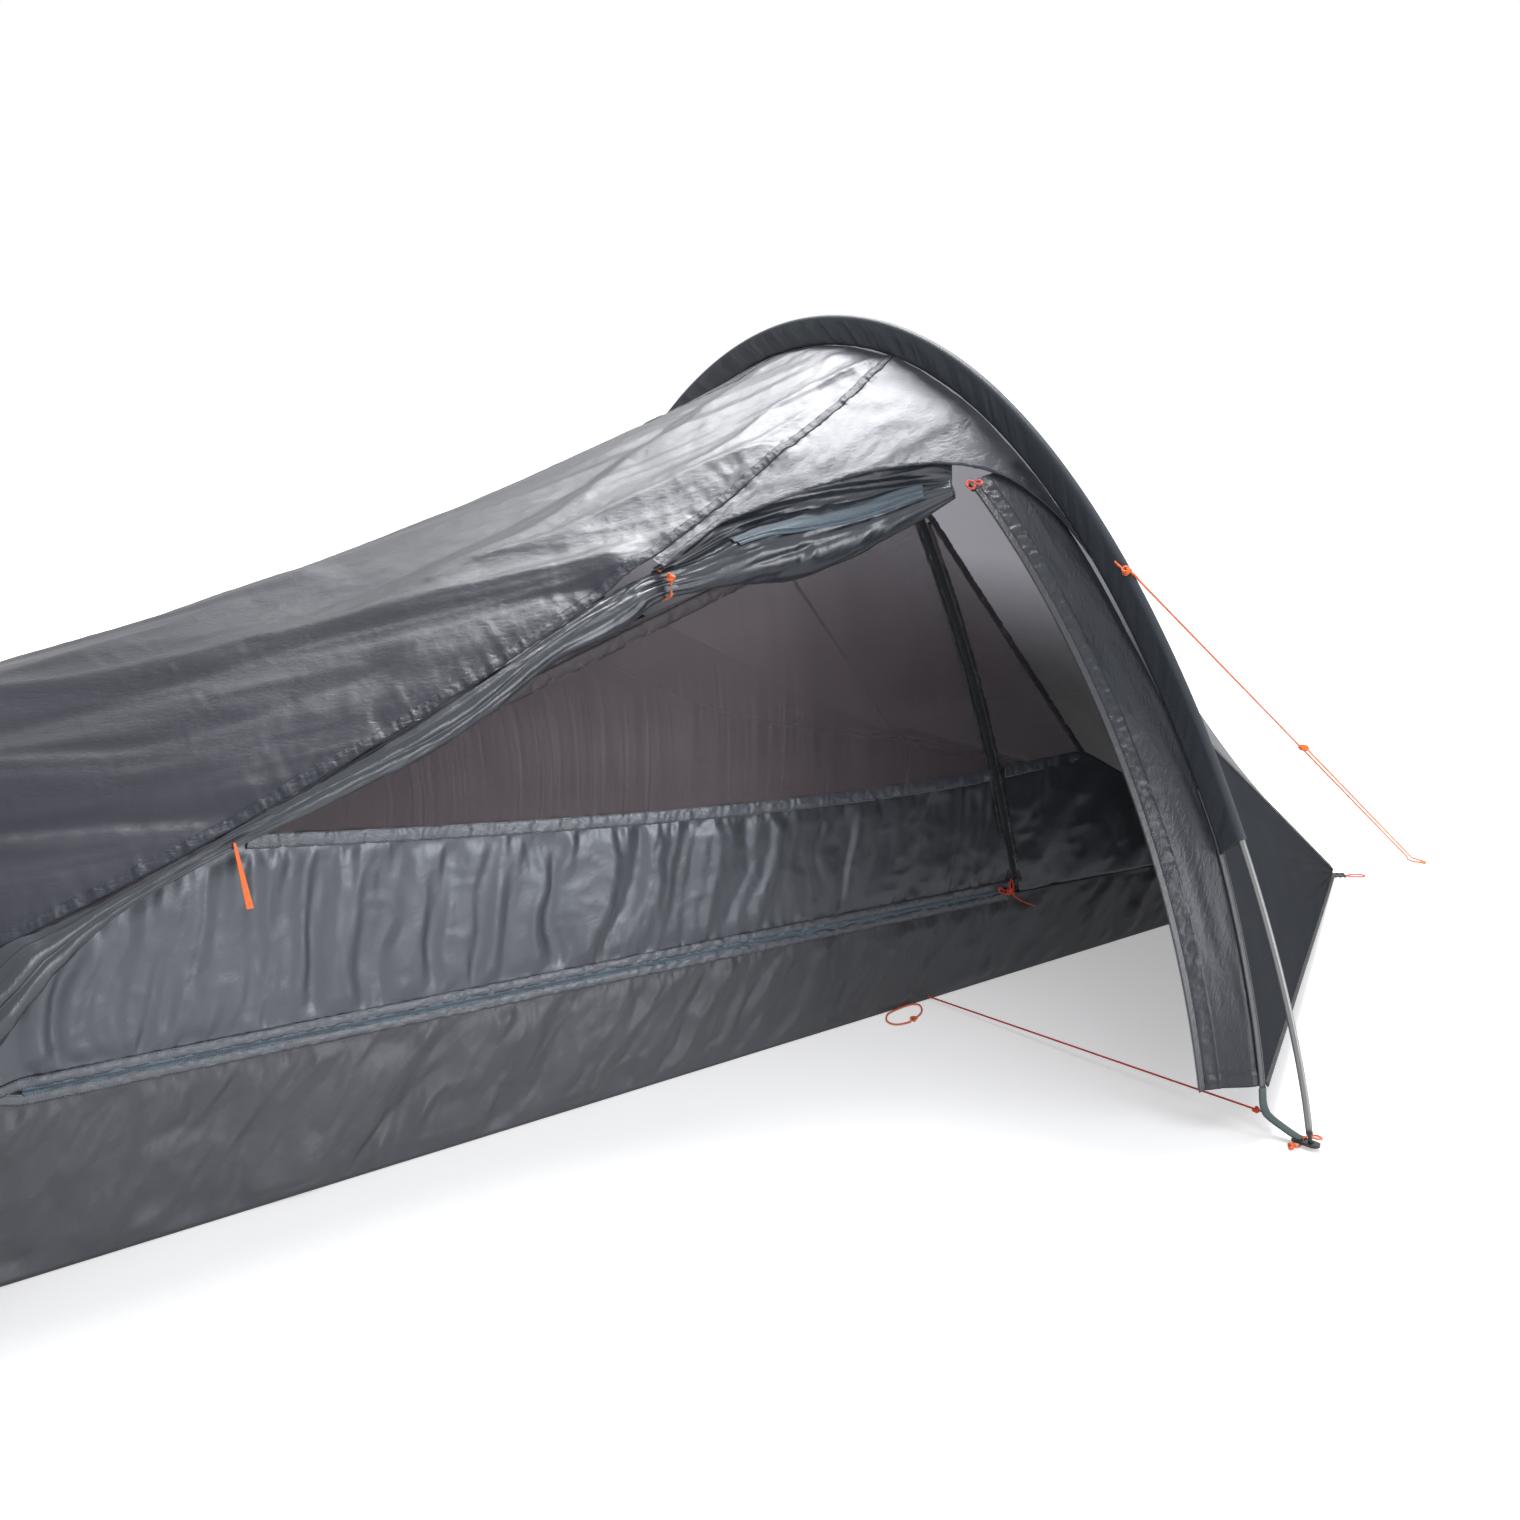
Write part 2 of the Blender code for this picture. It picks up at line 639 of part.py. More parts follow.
def arc_through(first, middle, last):
    """The circle through three points, and the angle from the first to the last."""
    a, b, c = (np.asarray(p, float) for p in (first, middle, last))
    ab, ac = b - a, c - a
    axis = np.cross(ab, ac)
    square = float(axis @ axis)
    centre = a + (float(ac @ ac) * np.cross(axis, ab) + float(ab @ ab) * np.cross(ac, axis)) / (2 * square)
    axis = unit(axis)
    start = a - centre
    radius = float(np.linalg.norm(start))
    start = start / radius
    side = np.cross(axis, start)
    end = c - centre
    sweep = math.atan2(float(end @ side), float(end @ start))
    return Arc(centre, axis, start, side, radius, sweep)


def arc_point(arc, share, out=0.0, along_axis=0.0):
    turn = arc.sweep * share
    ray = math.cos(turn) * arc.start + math.sin(turn) * arc.side
    return arc.centre + (arc.radius + out) * ray + along_axis * arc.axis


def arc_directions(arc, share):
    """The outward and the forward direction at a share of the arc."""
    turn = arc.sweep * share
    ray = math.cos(turn) * arc.start + math.sin(turn) * arc.side
    return ray, np.cross(arc.axis, ray)


def door_arc():
    return arc_through(DOOR_EDGE_TOP, DOOR_EDGE_MIDDLE, DOOR_EDGE_BOTTOM)


def foot_side(arc):
    """+1 or -1: the way along the arc's axis that leads to the foot end."""
    return -math.copysign(1.0, arc.axis[0])


def make_door_jamb():
    """The strip of the outer tent between the hoop and the door's zip."""
    arc = door_arc()
    count = 12
    rows = []
    for k in range(count + 1):
        edge = arc_point(arc, k / count)
        height = edge[2] + JAMB_TOP_RISE * edge[2] / DOOR_EDGE_TOP[2]
        under_brow = min(1.0, max(0.0, (height - 0.50) / 0.08))
        angle = angle_at_height(MAIN_HOOP, height, SLEEVE_DEPTH)
        at_hoop = fly_point(PANEL_START, angle, JAMB_UNDERLAP * under_brow)
        rows.append([at_hoop * (1 - s) + edge * s for s in (0.0, 0.33, 0.67, 1.0)])
    sheet("fly_door_jamb", rows, (0.0, 1.0, -0.4), FLY_CLOTH)
    half = ZIP_THICKNESS / 2
    way = foot_side(arc)
    rows = []
    for k in range(2 * count + 1):
        near, far = TOUCH_GAP * way, (TOUCH_GAP + ZIP_TAPE_WIDTH) * way
        rows.append([arc_point(arc, k / (2 * count), half - CLOTH / 2, along) for along in (near, far)])
    sheet("fly_door_zip", rows, -arc_directions(arc, 0.5)[0], ZIP_TAPE, thickness=ZIP_THICKNESS)


def make_fly_slider():
    """The slider hugs the free edge of the zip; a bunched cord loop is its pull."""
    arc = door_arc()
    way = foot_side(arc)
    share = SLIDER_LENGTH / (arc.radius * arc.sweep)
    out, forward = arc_directions(arc, share)
    slot = ZIP_THICKNESS / 2 + TOUCH_GAP
    plate = slot + SLIDER_PLATE
    back = TOUCH_GAP + ZIP_TAPE_WIDTH + TOUCH_GAP
    front = back - ZIP_TAPE_WIDTH / 2
    outline = (
        (plate, front), (plate, back + SLIDER_PLATE), (-plate, back + SLIDER_PLATE), (-plate, front),
        (-slot, front), (-slot, back), (slot, back), (slot, front),
    )
    origin = arc_point(arc, share, -CLOTH / 2)
    plate_matrix = frame_matrix(origin, out, way * arc.axis, forward)
    slider = flat_piece("fly_zip_slider", [outline], SLIDER_LENGTH, plate_matrix, BLACK_PLASTIC)
    knots = []
    for along, across, lift in FLY_PULL_ROUTE:
        place = origin + along * forward + (front + across) * way * arc.axis
        knots.append(place + (plate + TOUCH_GAP + lift) * out)
    path = smooth_path(knots, 4, cyclic=True)
    pull = tube("fly_zip_pull", path, LOOP_CORD_DIAMETER, ORANGE_CORD, cyclic=True)
    pivot("fly_zip_pivot", tuple(arc.centre), slider, pull)


# Rolled door


def roll_knots():
    """The roll's points, stretched lengthwise as the foot hoop moves."""
    stretch = FOOT_HOOP_BEHIND / ROLL_DRAWN_BEHIND
    return [(x * stretch, y, z, radius) for x, y, z, radius in DOOR_ROLL]


def make_door_roll():
    path = smooth_path(roll_knots(), 3)
    tube("fly_door_rolled", path[:, :3], 0.06, DOOR_CLOTH, resolution=3, radii=path[:, 3])


def make_ties():
    """A cord loop with a toggle bar at the front tie, and the loose tail of the back tie."""
    x, y, z, radius = roll_knots()[FRONT_TIE_KNOT_INDEX]
    cord = CORD_DIAMETER / 2
    ring_radius = radius + cord + 3 * TOUCH_GAP
    outer_y = y - radius - TOGGLE_STAND_OFF
    turns = np.radians((100, 60, 20, -20, -55, -85, -110))
    behind = [(x, y + ring_radius * math.cos(a), z + ring_radius * math.sin(a)) for a in turns]
    straight = TOGGLE_DIAMETER
    front = [(x, outer_y, z + k * straight) for k in (-1.6, -0.8, 0.0, 0.8, 1.6)]
    loop = smooth_path(behind + front, 3, cyclic=True)
    tube("toggle_front_cord", loop, CORD_DIAMETER, ORANGE_CORD, cyclic=True)
    place = (x, outer_y, z)
    bar = turned(
        "toggle_front",
        (
            (0.0, TOGGLE_LENGTH / 2),
            (TOGGLE_DIAMETER / 3, TOGGLE_LENGTH / 2),
            (TOGGLE_DIAMETER / 2, TOGGLE_LENGTH / 2 - TOGGLE_DIAMETER / 6),
            (TOGGLE_DIAMETER / 2, -TOGGLE_LENGTH / 2 + TOGGLE_DIAMETER / 6),
            (TOGGLE_DIAMETER / 3, -TOGGLE_LENGTH / 2),
            (0.0, -TOGGLE_LENGTH / 2),
        ),
        12,
        frame_matrix(place, (0, 1, 0), (0, 0, 1), (1, 0, 0)),
        GREY_PLASTIC,
    )
    hole = turned(
        "toggle_hole_cutter",
        (
            (0.0, TOGGLE_DIAMETER),
            (cord + 2 * TOUCH_GAP, TOGGLE_DIAMETER),
            (cord + 2 * TOUCH_GAP, -TOGGLE_DIAMETER),
            (0.0, -TOGGLE_DIAMETER),
        ),
        12,
        frame_matrix(place, (1, 0, 0), (0, 1, 0), (0, 0, 1)),
        GREY_PLASTIC,
    )
    TENT.objects.unlink(hole)
    CUTTERS.objects.link(hole)
    hole.hide_render = True
    hole.display_type = "WIRE"
    cut = bar.modifiers.new("Cord hole", "BOOLEAN")
    cut.operation = "DIFFERENCE"
    cut.object = hole
    pivot("toggle_pivot", place, bar)

    x, y, z, radius = roll_knots()[BACK_TIE_KNOT_INDEX]
    top = np.array((x, y - radius - TOUCH_GAP - CLOTH / 2, z))
    half_top, half_bottom = TAIL_TOP_WIDTH / 2, TAIL_BOTTOM_WIDTH / 2
    outline = (
        (-half_top, 0.0), (half_top, 0.0),
        (TAIL_LEAN + half_bottom, -TAIL_LENGTH), (TAIL_LEAN - half_bottom, -TAIL_LENGTH),
    )
    tail = flat_piece(
        "tie_tail", [outline], CLOTH, frame_matrix(top, (1, 0, 0), (0, 0, 1), (0, -1, 0)), ORANGE_CORD
    )
    pivot("tail_pivot", tuple(top), tail)


# Inner tent


def upright_zip():
    points = [(x, INNER_NEAR_Y, z) for x, z in (UPRIGHT_ZIP_BOTTOM, UPRIGHT_ZIP_MIDDLE, UPRIGHT_ZIP_TOP)]
    return arc_through(*points)


def upright_x(height, offset=0.0):
    """Where the upright zip's middle line, moved sideways by offset, stands at a height."""
    arc = upright_zip()
    way = math.copysign(1.0, arc.centre[0] - UPRIGHT_ZIP_MIDDLE[0])
    radius = arc.radius - way * offset
    return arc.centre[0] - way * math.sqrt(radius**2 - (height - arc.centre[2]) ** 2)


def zip_height(x):
    share = (INNER_ZIP_HEAD_X - x) / (INNER_ZIP_HEAD_X - INNER_ZIP_FOOT_X)
    return INNER_ZIP_HEAD_HEIGHT + (INNER_ZIP_FOOT_HEIGHT - INNER_ZIP_HEAD_HEIGHT) * share


def mesh_seam_height(x):
    share = max(0.0, (MESH_SEAM_START_X - x) / (MESH_SEAM_START_X - MESH_SEAM_END_X))
    return MESH_SEAM_HEIGHT + MESH_SEAM_RISE * share**1.5


def near_top(x):
    """Height of the near wall's top edge: a line to the foot, and a steeper one down to the head."""
    if x <= INNER_PEAK_X:
        share = (INNER_PEAK_X - x) / (INNER_PEAK_X - INNER_FOOT_X)
        return INNER_PEAK_HEIGHT + (INNER_FOOT_HEIGHT - INNER_PEAK_HEIGHT) * share
    if x <= INNER_SHOULDER_X:
        share = (x - INNER_PEAK_X) / (INNER_SHOULDER_X - INNER_PEAK_X)
        return INNER_PEAK_HEIGHT + (INNER_SHOULDER_HEIGHT - INNER_PEAK_HEIGHT) * share
    share = (x - INNER_SHOULDER_X) / (INNER_HEAD_X - INNER_SHOULDER_X)
    return INNER_SHOULDER_HEIGHT + (INNER_HEAD_HEIGHT - INNER_SHOULDER_HEIGHT) * share


def near_panel(name, outline, finish, thickness=CLOTH):
    """A flat piece of the near wall, drawn as x and height."""
    matrix = frame_matrix((0.0, INNER_NEAR_Y, 0.0), (1, 0, 0), (0, 0, 1), (0, -1, 0))
    return flat_piece(name, [outline], thickness, matrix, finish)


def make_near_wall():
    half = INNER_ZIP_WIDTH / 2
    edge = half + TOUCH_GAP
    ground = FLOOR_THICKNESS + TOUCH_GAP
    foot, head, zip_end = INNER_FOOT_X, INNER_HEAD_X, INNER_ZIP_FOOT_X
    door_low = zip_height(INNER_ZIP_HEAD_X) + edge
    seam = MESH_SEAM_HEIGHT + TOUCH_GAP / 2
    top = near_top_on_zip()
    below = [float(h) for h in np.linspace(zip_height(INNER_ZIP_HEAD_X) - half, MESH_SEAM_HEIGHT, 5)]
    above = [float(h) for h in np.linspace(MESH_SEAM_HEIGHT, top - TOUCH_GAP, 9)]

    corner_x = upright_x(below[0], edge)
    tub = [(foot, ground), (head, ground), (head, TUB_HEAD_HEIGHT), (corner_x, below[0] - TOUCH_GAP)]
    tub += [(INNER_ZIP_HEAD_X, below[0] - TOUCH_GAP), (zip_end - TOUCH_GAP, zip_height(zip_end) - edge)]
    tub += [(zip_end - TOUCH_GAP, zip_height(zip_end) + half), (foot, zip_height(foot) + half)]
    near_panel("inner_near_tub", tub, TUB_CLOTH)

    ends = (zip_end, INNER_ZIP_HEAD_X)
    tape = [(x, zip_height(x) - half) for x in ends] + [(x, zip_height(x) + half) for x in reversed(ends)]
    near_panel("inner_zip_bottom", tape, ZIP_TAPE, ZIP_THICKNESS)
    heights = below + above[1:]
    tape = [(upright_x(h, -half), h) for h in heights]
    tape += [(upright_x(h, half), h) for h in reversed(heights)]
    near_panel("inner_zip_upright", tape, ZIP_TAPE, ZIP_THICKNESS)

    meet = seam_meets_top()
    seam_x = [float(x) for x in np.linspace(upright_x(MESH_SEAM_HEIGHT, -edge), meet, 8)]
    door = [(foot, zip_height(foot) + edge), (upright_x(door_low, -edge), door_low)]
    door += [(upright_x(h, -edge), h) for h in below[1:-1]]
    door += [(x, mesh_seam_height(x) - TOUCH_GAP / 2) for x in seam_x]
    door += [(foot, near_top(foot))]
    near_panel("inner_door_panel", door, INNER_CLOTH)

    mesh = [(x, mesh_seam_height(x) + TOUCH_GAP / 2) for x in seam_x[:-1]]
    last_x = upright_x(above[-1], -edge) - half
    mesh += [(meet + edge, near_top(meet + edge)), (last_x, near_top(last_x))]
    mesh += [(upright_x(h, -edge), h) for h in above[:0:-1]]
    near_panel("inner_door_mesh", mesh, MESH_CLOTH)

    side = [(corner_x, below[0]), (head, TUB_HEAD_HEIGHT + TOUCH_GAP), (head, INNER_HEAD_HEIGHT)]
    side += [(INNER_SHOULDER_X, seam - TOUCH_GAP)]
    side += [(upright_x(h, edge), h) for h in [seam - TOUCH_GAP, *below[-2:0:-1]]]
    near_panel("inner_side_panel", side, INNER_CLOTH)

    inside = [h for h in above[1:] if slope_at(h) > upright_x(h, edge) + half]
    side_mesh = [(upright_x(seam, edge), seam), (slope_at(seam), seam), (slope_at(inside[-1]), inside[-1])]
    side_mesh += [(upright_x(h, edge), h) for h in reversed(inside)]
    near_panel("inner_side_mesh", side_mesh, MESH_CLOTH)


def slope_at(height):
    """Where the head slope of the near wall stands at a height."""
    share = (INNER_PEAK_HEIGHT - height) / (INNER_PEAK_HEIGHT - INNER_SHOULDER_HEIGHT)
    return INNER_PEAK_X + (INNER_SHOULDER_X - INNER_PEAK_X) * share


def near_top_on_zip():
    """Height at which the upright zip reaches the near wall's top edge."""
    low, high = UPRIGHT_ZIP_MIDDLE[1], INNER_PEAK_HEIGHT
    for _ in range(40):
        middle = (low + high) / 2
        if middle < near_top(upright_x(middle, INNER_ZIP_WIDTH / 2)):
            low = middle
        else:
            high = middle
    return low


def seam_meets_top():
    """Where the mesh seam runs into the near wall's top edge."""
    low, high = INNER_FOOT_X, INNER_PEAK_X
    for _ in range(40):
        middle = (low + high) / 2
        if mesh_seam_height(middle) + 0.002 < near_top(middle):
            high = middle
        else:
            low = middle
    return high


def far_y(x):
    if x <= 0.0:
        share = x / INNER_FOOT_X
        return INNER_FAR_Y_AT_HOOP * (1 - share) + INNER_FAR_Y_AT_FOOT * share
    share = x / INNER_HEAD_X
    return INNER_FAR_Y_AT_HOOP * (1 - share) + INNER_FAR_Y_AT_HEAD * share


def far_top(x):
    if x <= 0.0:
        share = x / INNER_FOOT_X
        return FAR_WALL_HEIGHT_AT_HOOP + (FAR_WALL_HEIGHT_AT_FOOT - FAR_WALL_HEIGHT_AT_HOOP) * share
    share = 1 - (1 - x / INNER_HEAD_X) ** 2
    return FAR_WALL_HEIGHT_AT_HOOP + (FAR_WALL_HEIGHT_AT_HEAD - FAR_WALL_HEIGHT_AT_HOOP) * share


def inner_columns():
    return [INNER_FOOT_X, -1.1, -0.7, -0.3, INNER_PEAK_X, 0.16, INNER_SHOULDER_X, 0.5, INNER_HEAD_X]


def make_inner_shell():
    """Floor, far wall, roof, and the two end walls of the inner tent."""
    foot, head, near = INNER_FOOT_X, INNER_HEAD_X, INNER_NEAR_Y
    rim = CLOTH + TOUCH_GAP
    outline = [(foot - rim, near - CLOTH), (head + rim, near - CLOTH), (head + rim, far_y(head) + rim)]
    outline += [(0.0, far_y(0.0) + rim), (foot - rim, far_y(foot) + rim)]
    middle = FLOOR_THICKNESS / 2
    flat_piece(
        "inner_floor",
        [outline],
        FLOOR_THICKNESS,
        frame_matrix((0, 0, middle), (1, 0, 0), (0, 1, 0), (0, 0, 1)),
        TUB_CLOTH,
    )
    ground = FLOOR_THICKNESS + TOUCH_GAP
    columns = sorted([*inner_columns(), 0.0])
    far = [
        [(x, far_y(x), ground + (far_top(x) - TOUCH_GAP - ground) * k / 2) for k in range(3)]
        for x in columns
    ]
    sheet("inner_far_wall", far, (0, 1, 0), INNER_CLOTH)

    first = near + CLOTH / 2 + TOUCH_GAP
    roof = []
    for x in columns:
        start = np.array((x, first, near_top(x)))
        end = np.array((x, far_y(x) + CLOTH, far_top(x)))
        roof.append([start + (end - start) * k / 5 for k in range(6)])
    sheet("inner_roof_mesh", roof, (0, 0, 1), MESH_CLOTH)

    for name, x, outward, height in (
        ("inner_head_wall", head, 1, INNER_HEAD_HEIGHT),
        ("inner_foot_wall", foot, -1, INNER_FOOT_HEIGHT),
    ):
        x += outward * TOUCH_GAP
        low_y, high_y = first, far_y(head if outward > 0 else foot) - TOUCH_GAP
        far_height = far_top(head if outward > 0 else foot)
        top = [(x, low_y, height - TOUCH_GAP), (x, high_y, far_height - TOUCH_GAP)]
        bottom = [(x, low_y, ground), (x, high_y, ground)]
        sheet(name, [bottom, top], (outward, 0, 0), INNER_CLOTH)


def make_inner_hanger():
    """The elastic that hangs the inner tent's peak from the hoop."""
    behind = -INNER_PEAK_X
    hook = fly_point(behind, seam_angle(behind), LOOP_CORD_DIAMETER / 2)
    foot = (INNER_PEAK_X, INNER_NEAR_Y + LOOP_CORD_DIAMETER, INNER_PEAK_HEIGHT + CLOTH + TOUCH_GAP)
    tube("inner_hanger", smooth_path([foot, (foot + hook) / 2, hook], 3), LOOP_CORD_DIAMETER, ELASTIC)


def make_inner_sliders():
    """The two sliders meet at the door's corner; an orange bow joins their pulls."""
    face = INNER_NEAR_Y - ZIP_THICKNESS / 2 - TOUCH_GAP
    along = unit((INNER_ZIP_FOOT_X - INNER_ZIP_HEAD_X, 0.0, INNER_ZIP_FOOT_HEIGHT - INNER_ZIP_HEAD_HEIGHT))
    x = INNER_ZIP_HEAD_X - SLIDER_LENGTH
    place = np.array((x, face - SLIDER_PLATE, zip_height(x)))
    half_long, half_wide = SLIDER_LENGTH / 2, SLIDER_WIDTH / 2
    outline = [(-half_long, -half_wide / 2), (-half_long / 2, -half_wide), (half_long, -half_wide)]
    outline += [(half_long, half_wide), (-half_long / 2, half_wide), (-half_long, half_wide / 2)]
    upward = np.cross((0.0, -1.0, 0.0), along)
    slider = flat_piece(
        "inner_slider_bottom",
        [outline],
        2 * SLIDER_PLATE,
        frame_matrix(place, along, upward, (0, -1, 0)),
        BLACK_PLASTIC,
    )
    pivot("inner_bottom_pivot", tuple(place), slider)

    arc = upright_zip()
    share = 2.4 * SLIDER_LENGTH / (arc.radius * arc.sweep)
    _, forward = arc_directions(arc, share)
    place_up = arc_point(arc, share)
    place_up[1] = face - SLIDER_PLATE
    across = np.cross(forward, (0.0, -1.0, 0.0))
    upper = flat_piece(
        "inner_slider_upright",
        [outline],
        2 * SLIDER_PLATE,
        frame_matrix(place_up, forward, -across, (0, -1, 0)),
        BLACK_PLASTIC,
    )
    pivot("inner_upright_pivot", (float(arc.centre[0]), float(place_up[1]), float(arc.centre[2])), upper)

    face = place[1] - SLIDER_PLATE - TOUCH_GAP - LOOP_CORD_DIAMETER / 2
    knots = []
    for dx, dz, layer in BOW_ROUTE:
        knots.append((place[0] + dx, face - 1.3 * layer * LOOP_CORD_DIAMETER, place[2] + dz))
    pull = tube("inner_pull_bow", smooth_path(knots, 4), LOOP_CORD_DIAMETER, ORANGE_CORD)
    pull.parent = slider.parent
    pull.matrix_parent_inverse = slider.matrix_parent_inverse


# Straps, guyline and ground fittings


def ribbon(name, path, across, width, finish, outward, thickness=WEBBING_THICKNESS):
    across = unit(across) * width / 2
    rows = [[np.asarray(p) - across, np.asarray(p) + across] for p in path]
    return sheet(name, rows, outward, finish, thickness)


def make_pole_foot(side_name, far):
    """Webbing from the cloth's corner to the eyelet that takes the pole's pin, and a peg loop."""
    pin = pin_at(EYELET_LIFT + EYELET_THICKNESS / 2, far)
    way = 1.0 if far else -1.0
    top = EYELET_LIFT + EYELET_THICKNESS
    corner = fly_point(0.0, math.pi - hem_angle(0.0) if far else hem_angle(0.0))
    corner_y = corner[1]
    strap_end = pin[1] - way * (PEG_HOLE_REACH + PEG_HOLE_RADIUS + TOUCH_GAP)
    path = [
        (0.0, corner_y, corner[2] - 2 * TOUCH_GAP),
        (0.0, corner_y + way * 0.002, 0.036),
        (0.0, corner_y + way * 0.006, 0.026),
        (0.0, corner_y + way * 0.015, 0.019),
        (0.0, strap_end - way * 0.008, top + 2 * TOUCH_GAP),
        (0.0, strap_end, top + TOUCH_GAP),
    ]
    ribbon(f"{side_name}_foot_strap", path, (1, 0, 0), WEBBING_WIDTH, WEBBING, (0, way, 0.5))

    half = EYELET_HALF_WIDTH
    inner_end = EYELET_LENGTH - EYELET_BEYOND_PIN
    arcs = np.radians(np.linspace(180, 360, 9))
    outline = [(half * math.cos(a), half - EYELET_BEYOND_PIN + half * math.sin(a)) for a in arcs]
    outline += [(half, inner_end), (-half, inner_end)]
    pin_hole = circle_outline(TIP_PIN_DIAMETER / 2 + 3 * TOUCH_GAP, 12)
    peg_hole = circle_outline(PEG_HOLE_RADIUS, 12, (0.0, PEG_HOLE_REACH))
    middle = EYELET_LIFT + EYELET_THICKNESS / 2
    plate = frame_matrix((pin[0], pin[1], middle), (-way, 0, 0), (0, -way, 0), (0, 0, 1))
    flat_piece(f"{side_name}_eyelet", [outline, pin_hole, peg_hole], EYELET_THICKNESS, plate, BLACK_PLASTIC)

    low = LOOP_CORD_DIAMETER / 2 + TOUCH_GAP
    over = top + LOOP_CORD_DIAMETER / 2 + 2 * TOUCH_GAP
    hole = PEG_HOLE_REACH
    knots = (
        (-0.019, hole + 0.002, low + 0.001), (-0.010, hole - 0.001, low), (-0.002, hole, low + 0.0008),
        (0.0, hole, middle), (0.002, hole, over), (0.010, hole - 0.001, over - 0.001),
        (0.020, hole - 0.007, low + 0.003), (0.031, hole - 0.006, low), (0.034, hole + 0.003, low),
        (0.025, hole + 0.009, low), (0.012, hole + 0.009, low), (-0.004, hole + 0.009, low),
        (-0.014, hole + 0.008, low),
    )
    places = [(pin[0] + dx, pin[1] - way * dy, z) for dx, dy, z in knots]
    loop = smooth_path(places, 4, cyclic=True)
    tube(f"{side_name}_peg_loop", loop, LOOP_CORD_DIAMETER, ORANGE_CORD, cyclic=True)


def guy_tab_points(far):
    """The root and the eye of a guy tab, which points from the sleeve's head side to its peg."""
    angle = math.pi - GUY_ANGLE if far else GUY_ANGLE
    pole, seam = hoop_point(MAIN_HOOP, angle), hoop_point(MAIN_HOOP, angle, SLEEVE_DEPTH)
    reach = POLE_DIAMETER / 2 + SLEEVE_POLE_CLEARANCE + CLOTH + 6 * TOUCH_GAP
    root = pole + (seam - pole) * 0.1 + np.array((reach, 0.0, 0.0))
    peg = np.array((GUY_PEG[0], -GUY_PEG[1] if far else GUY_PEG[1], CORD_DIAMETER / 2 + TOUCH_GAP))
    away = unit(peg - root)
    return root, root + GUY_TAB_LENGTH * away, away, unit(pole - seam)


def make_guys():
    for name, far in (("guy_tab_near", False), ("guy_tab_far", True)):
        root, eye, away, outward = guy_tab_points(far)
        across = unit(np.cross(away, outward))
        path = [root, (root + eye) / 2, eye]
        ribbon(name, path, across, GUY_TAB_WIDTH, WEBBING, outward)

    wrap = []
    reach = POLE_DIAMETER / 2 + SLEEVE_POLE_CLEARANCE + CLOTH + CORD_DIAMETER / 2 + 2 * TOUCH_GAP
    for turn, drop in ((-100, 0.0), (-90, 0.006), (-65, 0.014), (-35, 0.020), (0, 0.027), (35, 0.034)):
        angle = GUY_ANGLE + GUY_KNOT_ABOVE - drop
        pole, seam = hoop_point(MAIN_HOOP, angle), hoop_point(MAIN_HOOP, angle, SLEEVE_DEPTH)
        outward = unit(pole - seam)
        sideways = np.array((1.0, 0.0, 0.0))
        turned_by = math.radians(turn)
        wrap.append(pole + reach * (math.cos(turned_by) * outward + math.sin(turned_by) * sideways))
    start = wrap[-1]
    peg = np.array((GUY_PEG[0], GUY_PEG[1], CORD_DIAMETER / 2 + TOUCH_GAP))
    run = float(np.linalg.norm(peg - start))
    away = unit(peg - start)
    side = unit(np.cross(away, (0.0, 0.0, 1.0)))
    gap = GUY_STRAND_GAP
    middle = start + away * run * RUNNER_SHARE
    bottom = peg - away * 3 * GUY_LOOP_RADIUS
    strand = [start + (bottom - start) * k / 8 for k in range(9)]
    turn = GUY_LOOP_RADIUS
    loop = []
    flat = unit((away[0], away[1], 0.0))
    for reach, across in ((0.020, -0.4), (0.034, 0.2), (0.040, 1.0), (0.034, 1.8), (0.020, 2.1)):
        place = bottom + flat * reach + side * across * turn
        place[2] = max(peg[2], bottom[2] + away[2] * reach)
        loop.append(place)
    back_start = bottom + side * gap
    back_end = middle + away * (RUNNER_THICKNESS / 2 + TOUCH_GAP) + side * gap
    back = [back_start + (back_end - back_start) * k / 5 for k in range(6)]
    end_loop = smooth_path([strand[-1], *loop, back[0]], 4)
    route = [*smooth_path(wrap, 2)[:-1], *strand[:-1], *end_loop, *back[1:]]
    tube("guyline", route, CORD_DIAMETER, ORANGE_CORD)

    up = unit(np.cross(side, away))
    half = CORD_DIAMETER * 1.4
    arcs = np.radians(np.linspace(-90, 90, 6))
    outline = [(gap + half * math.cos(a), half * math.sin(a)) for a in arcs]
    outline += [(-half * math.cos(a), -half * math.sin(a)) for a in arcs]
    hole = circle_outline(CORD_DIAMETER / 2 + 1.5 * TOUCH_GAP, 12)
    runner = flat_piece(
        "guy_runner", [outline, hole], RUNNER_THICKNESS, frame_matrix(middle, side, up, away), BLACK_PLASTIC
    )
    pivot("runner_pivot", tuple(middle), runner)


def make_cross_cord():
    """The taut ground cord that holds the near pole foot at its distance from the floor."""
    corner = fly_point(0.0, hem_angle(0.0))
    start = (CROSS_CORD_START_X, INNER_NEAR_Y - CLOTH / 2 - 2 * TOUCH_GAP, 0.005)
    end = (0.0, corner[1] - 0.0060, 0.024)
    count = 12
    path = [[a + (b - a) * k / count for a, b in zip(start, end)] for k in range(count + 1)]
    tube("cross_cord", path, LOOP_CORD_DIAMETER, ORANGE_CORD)


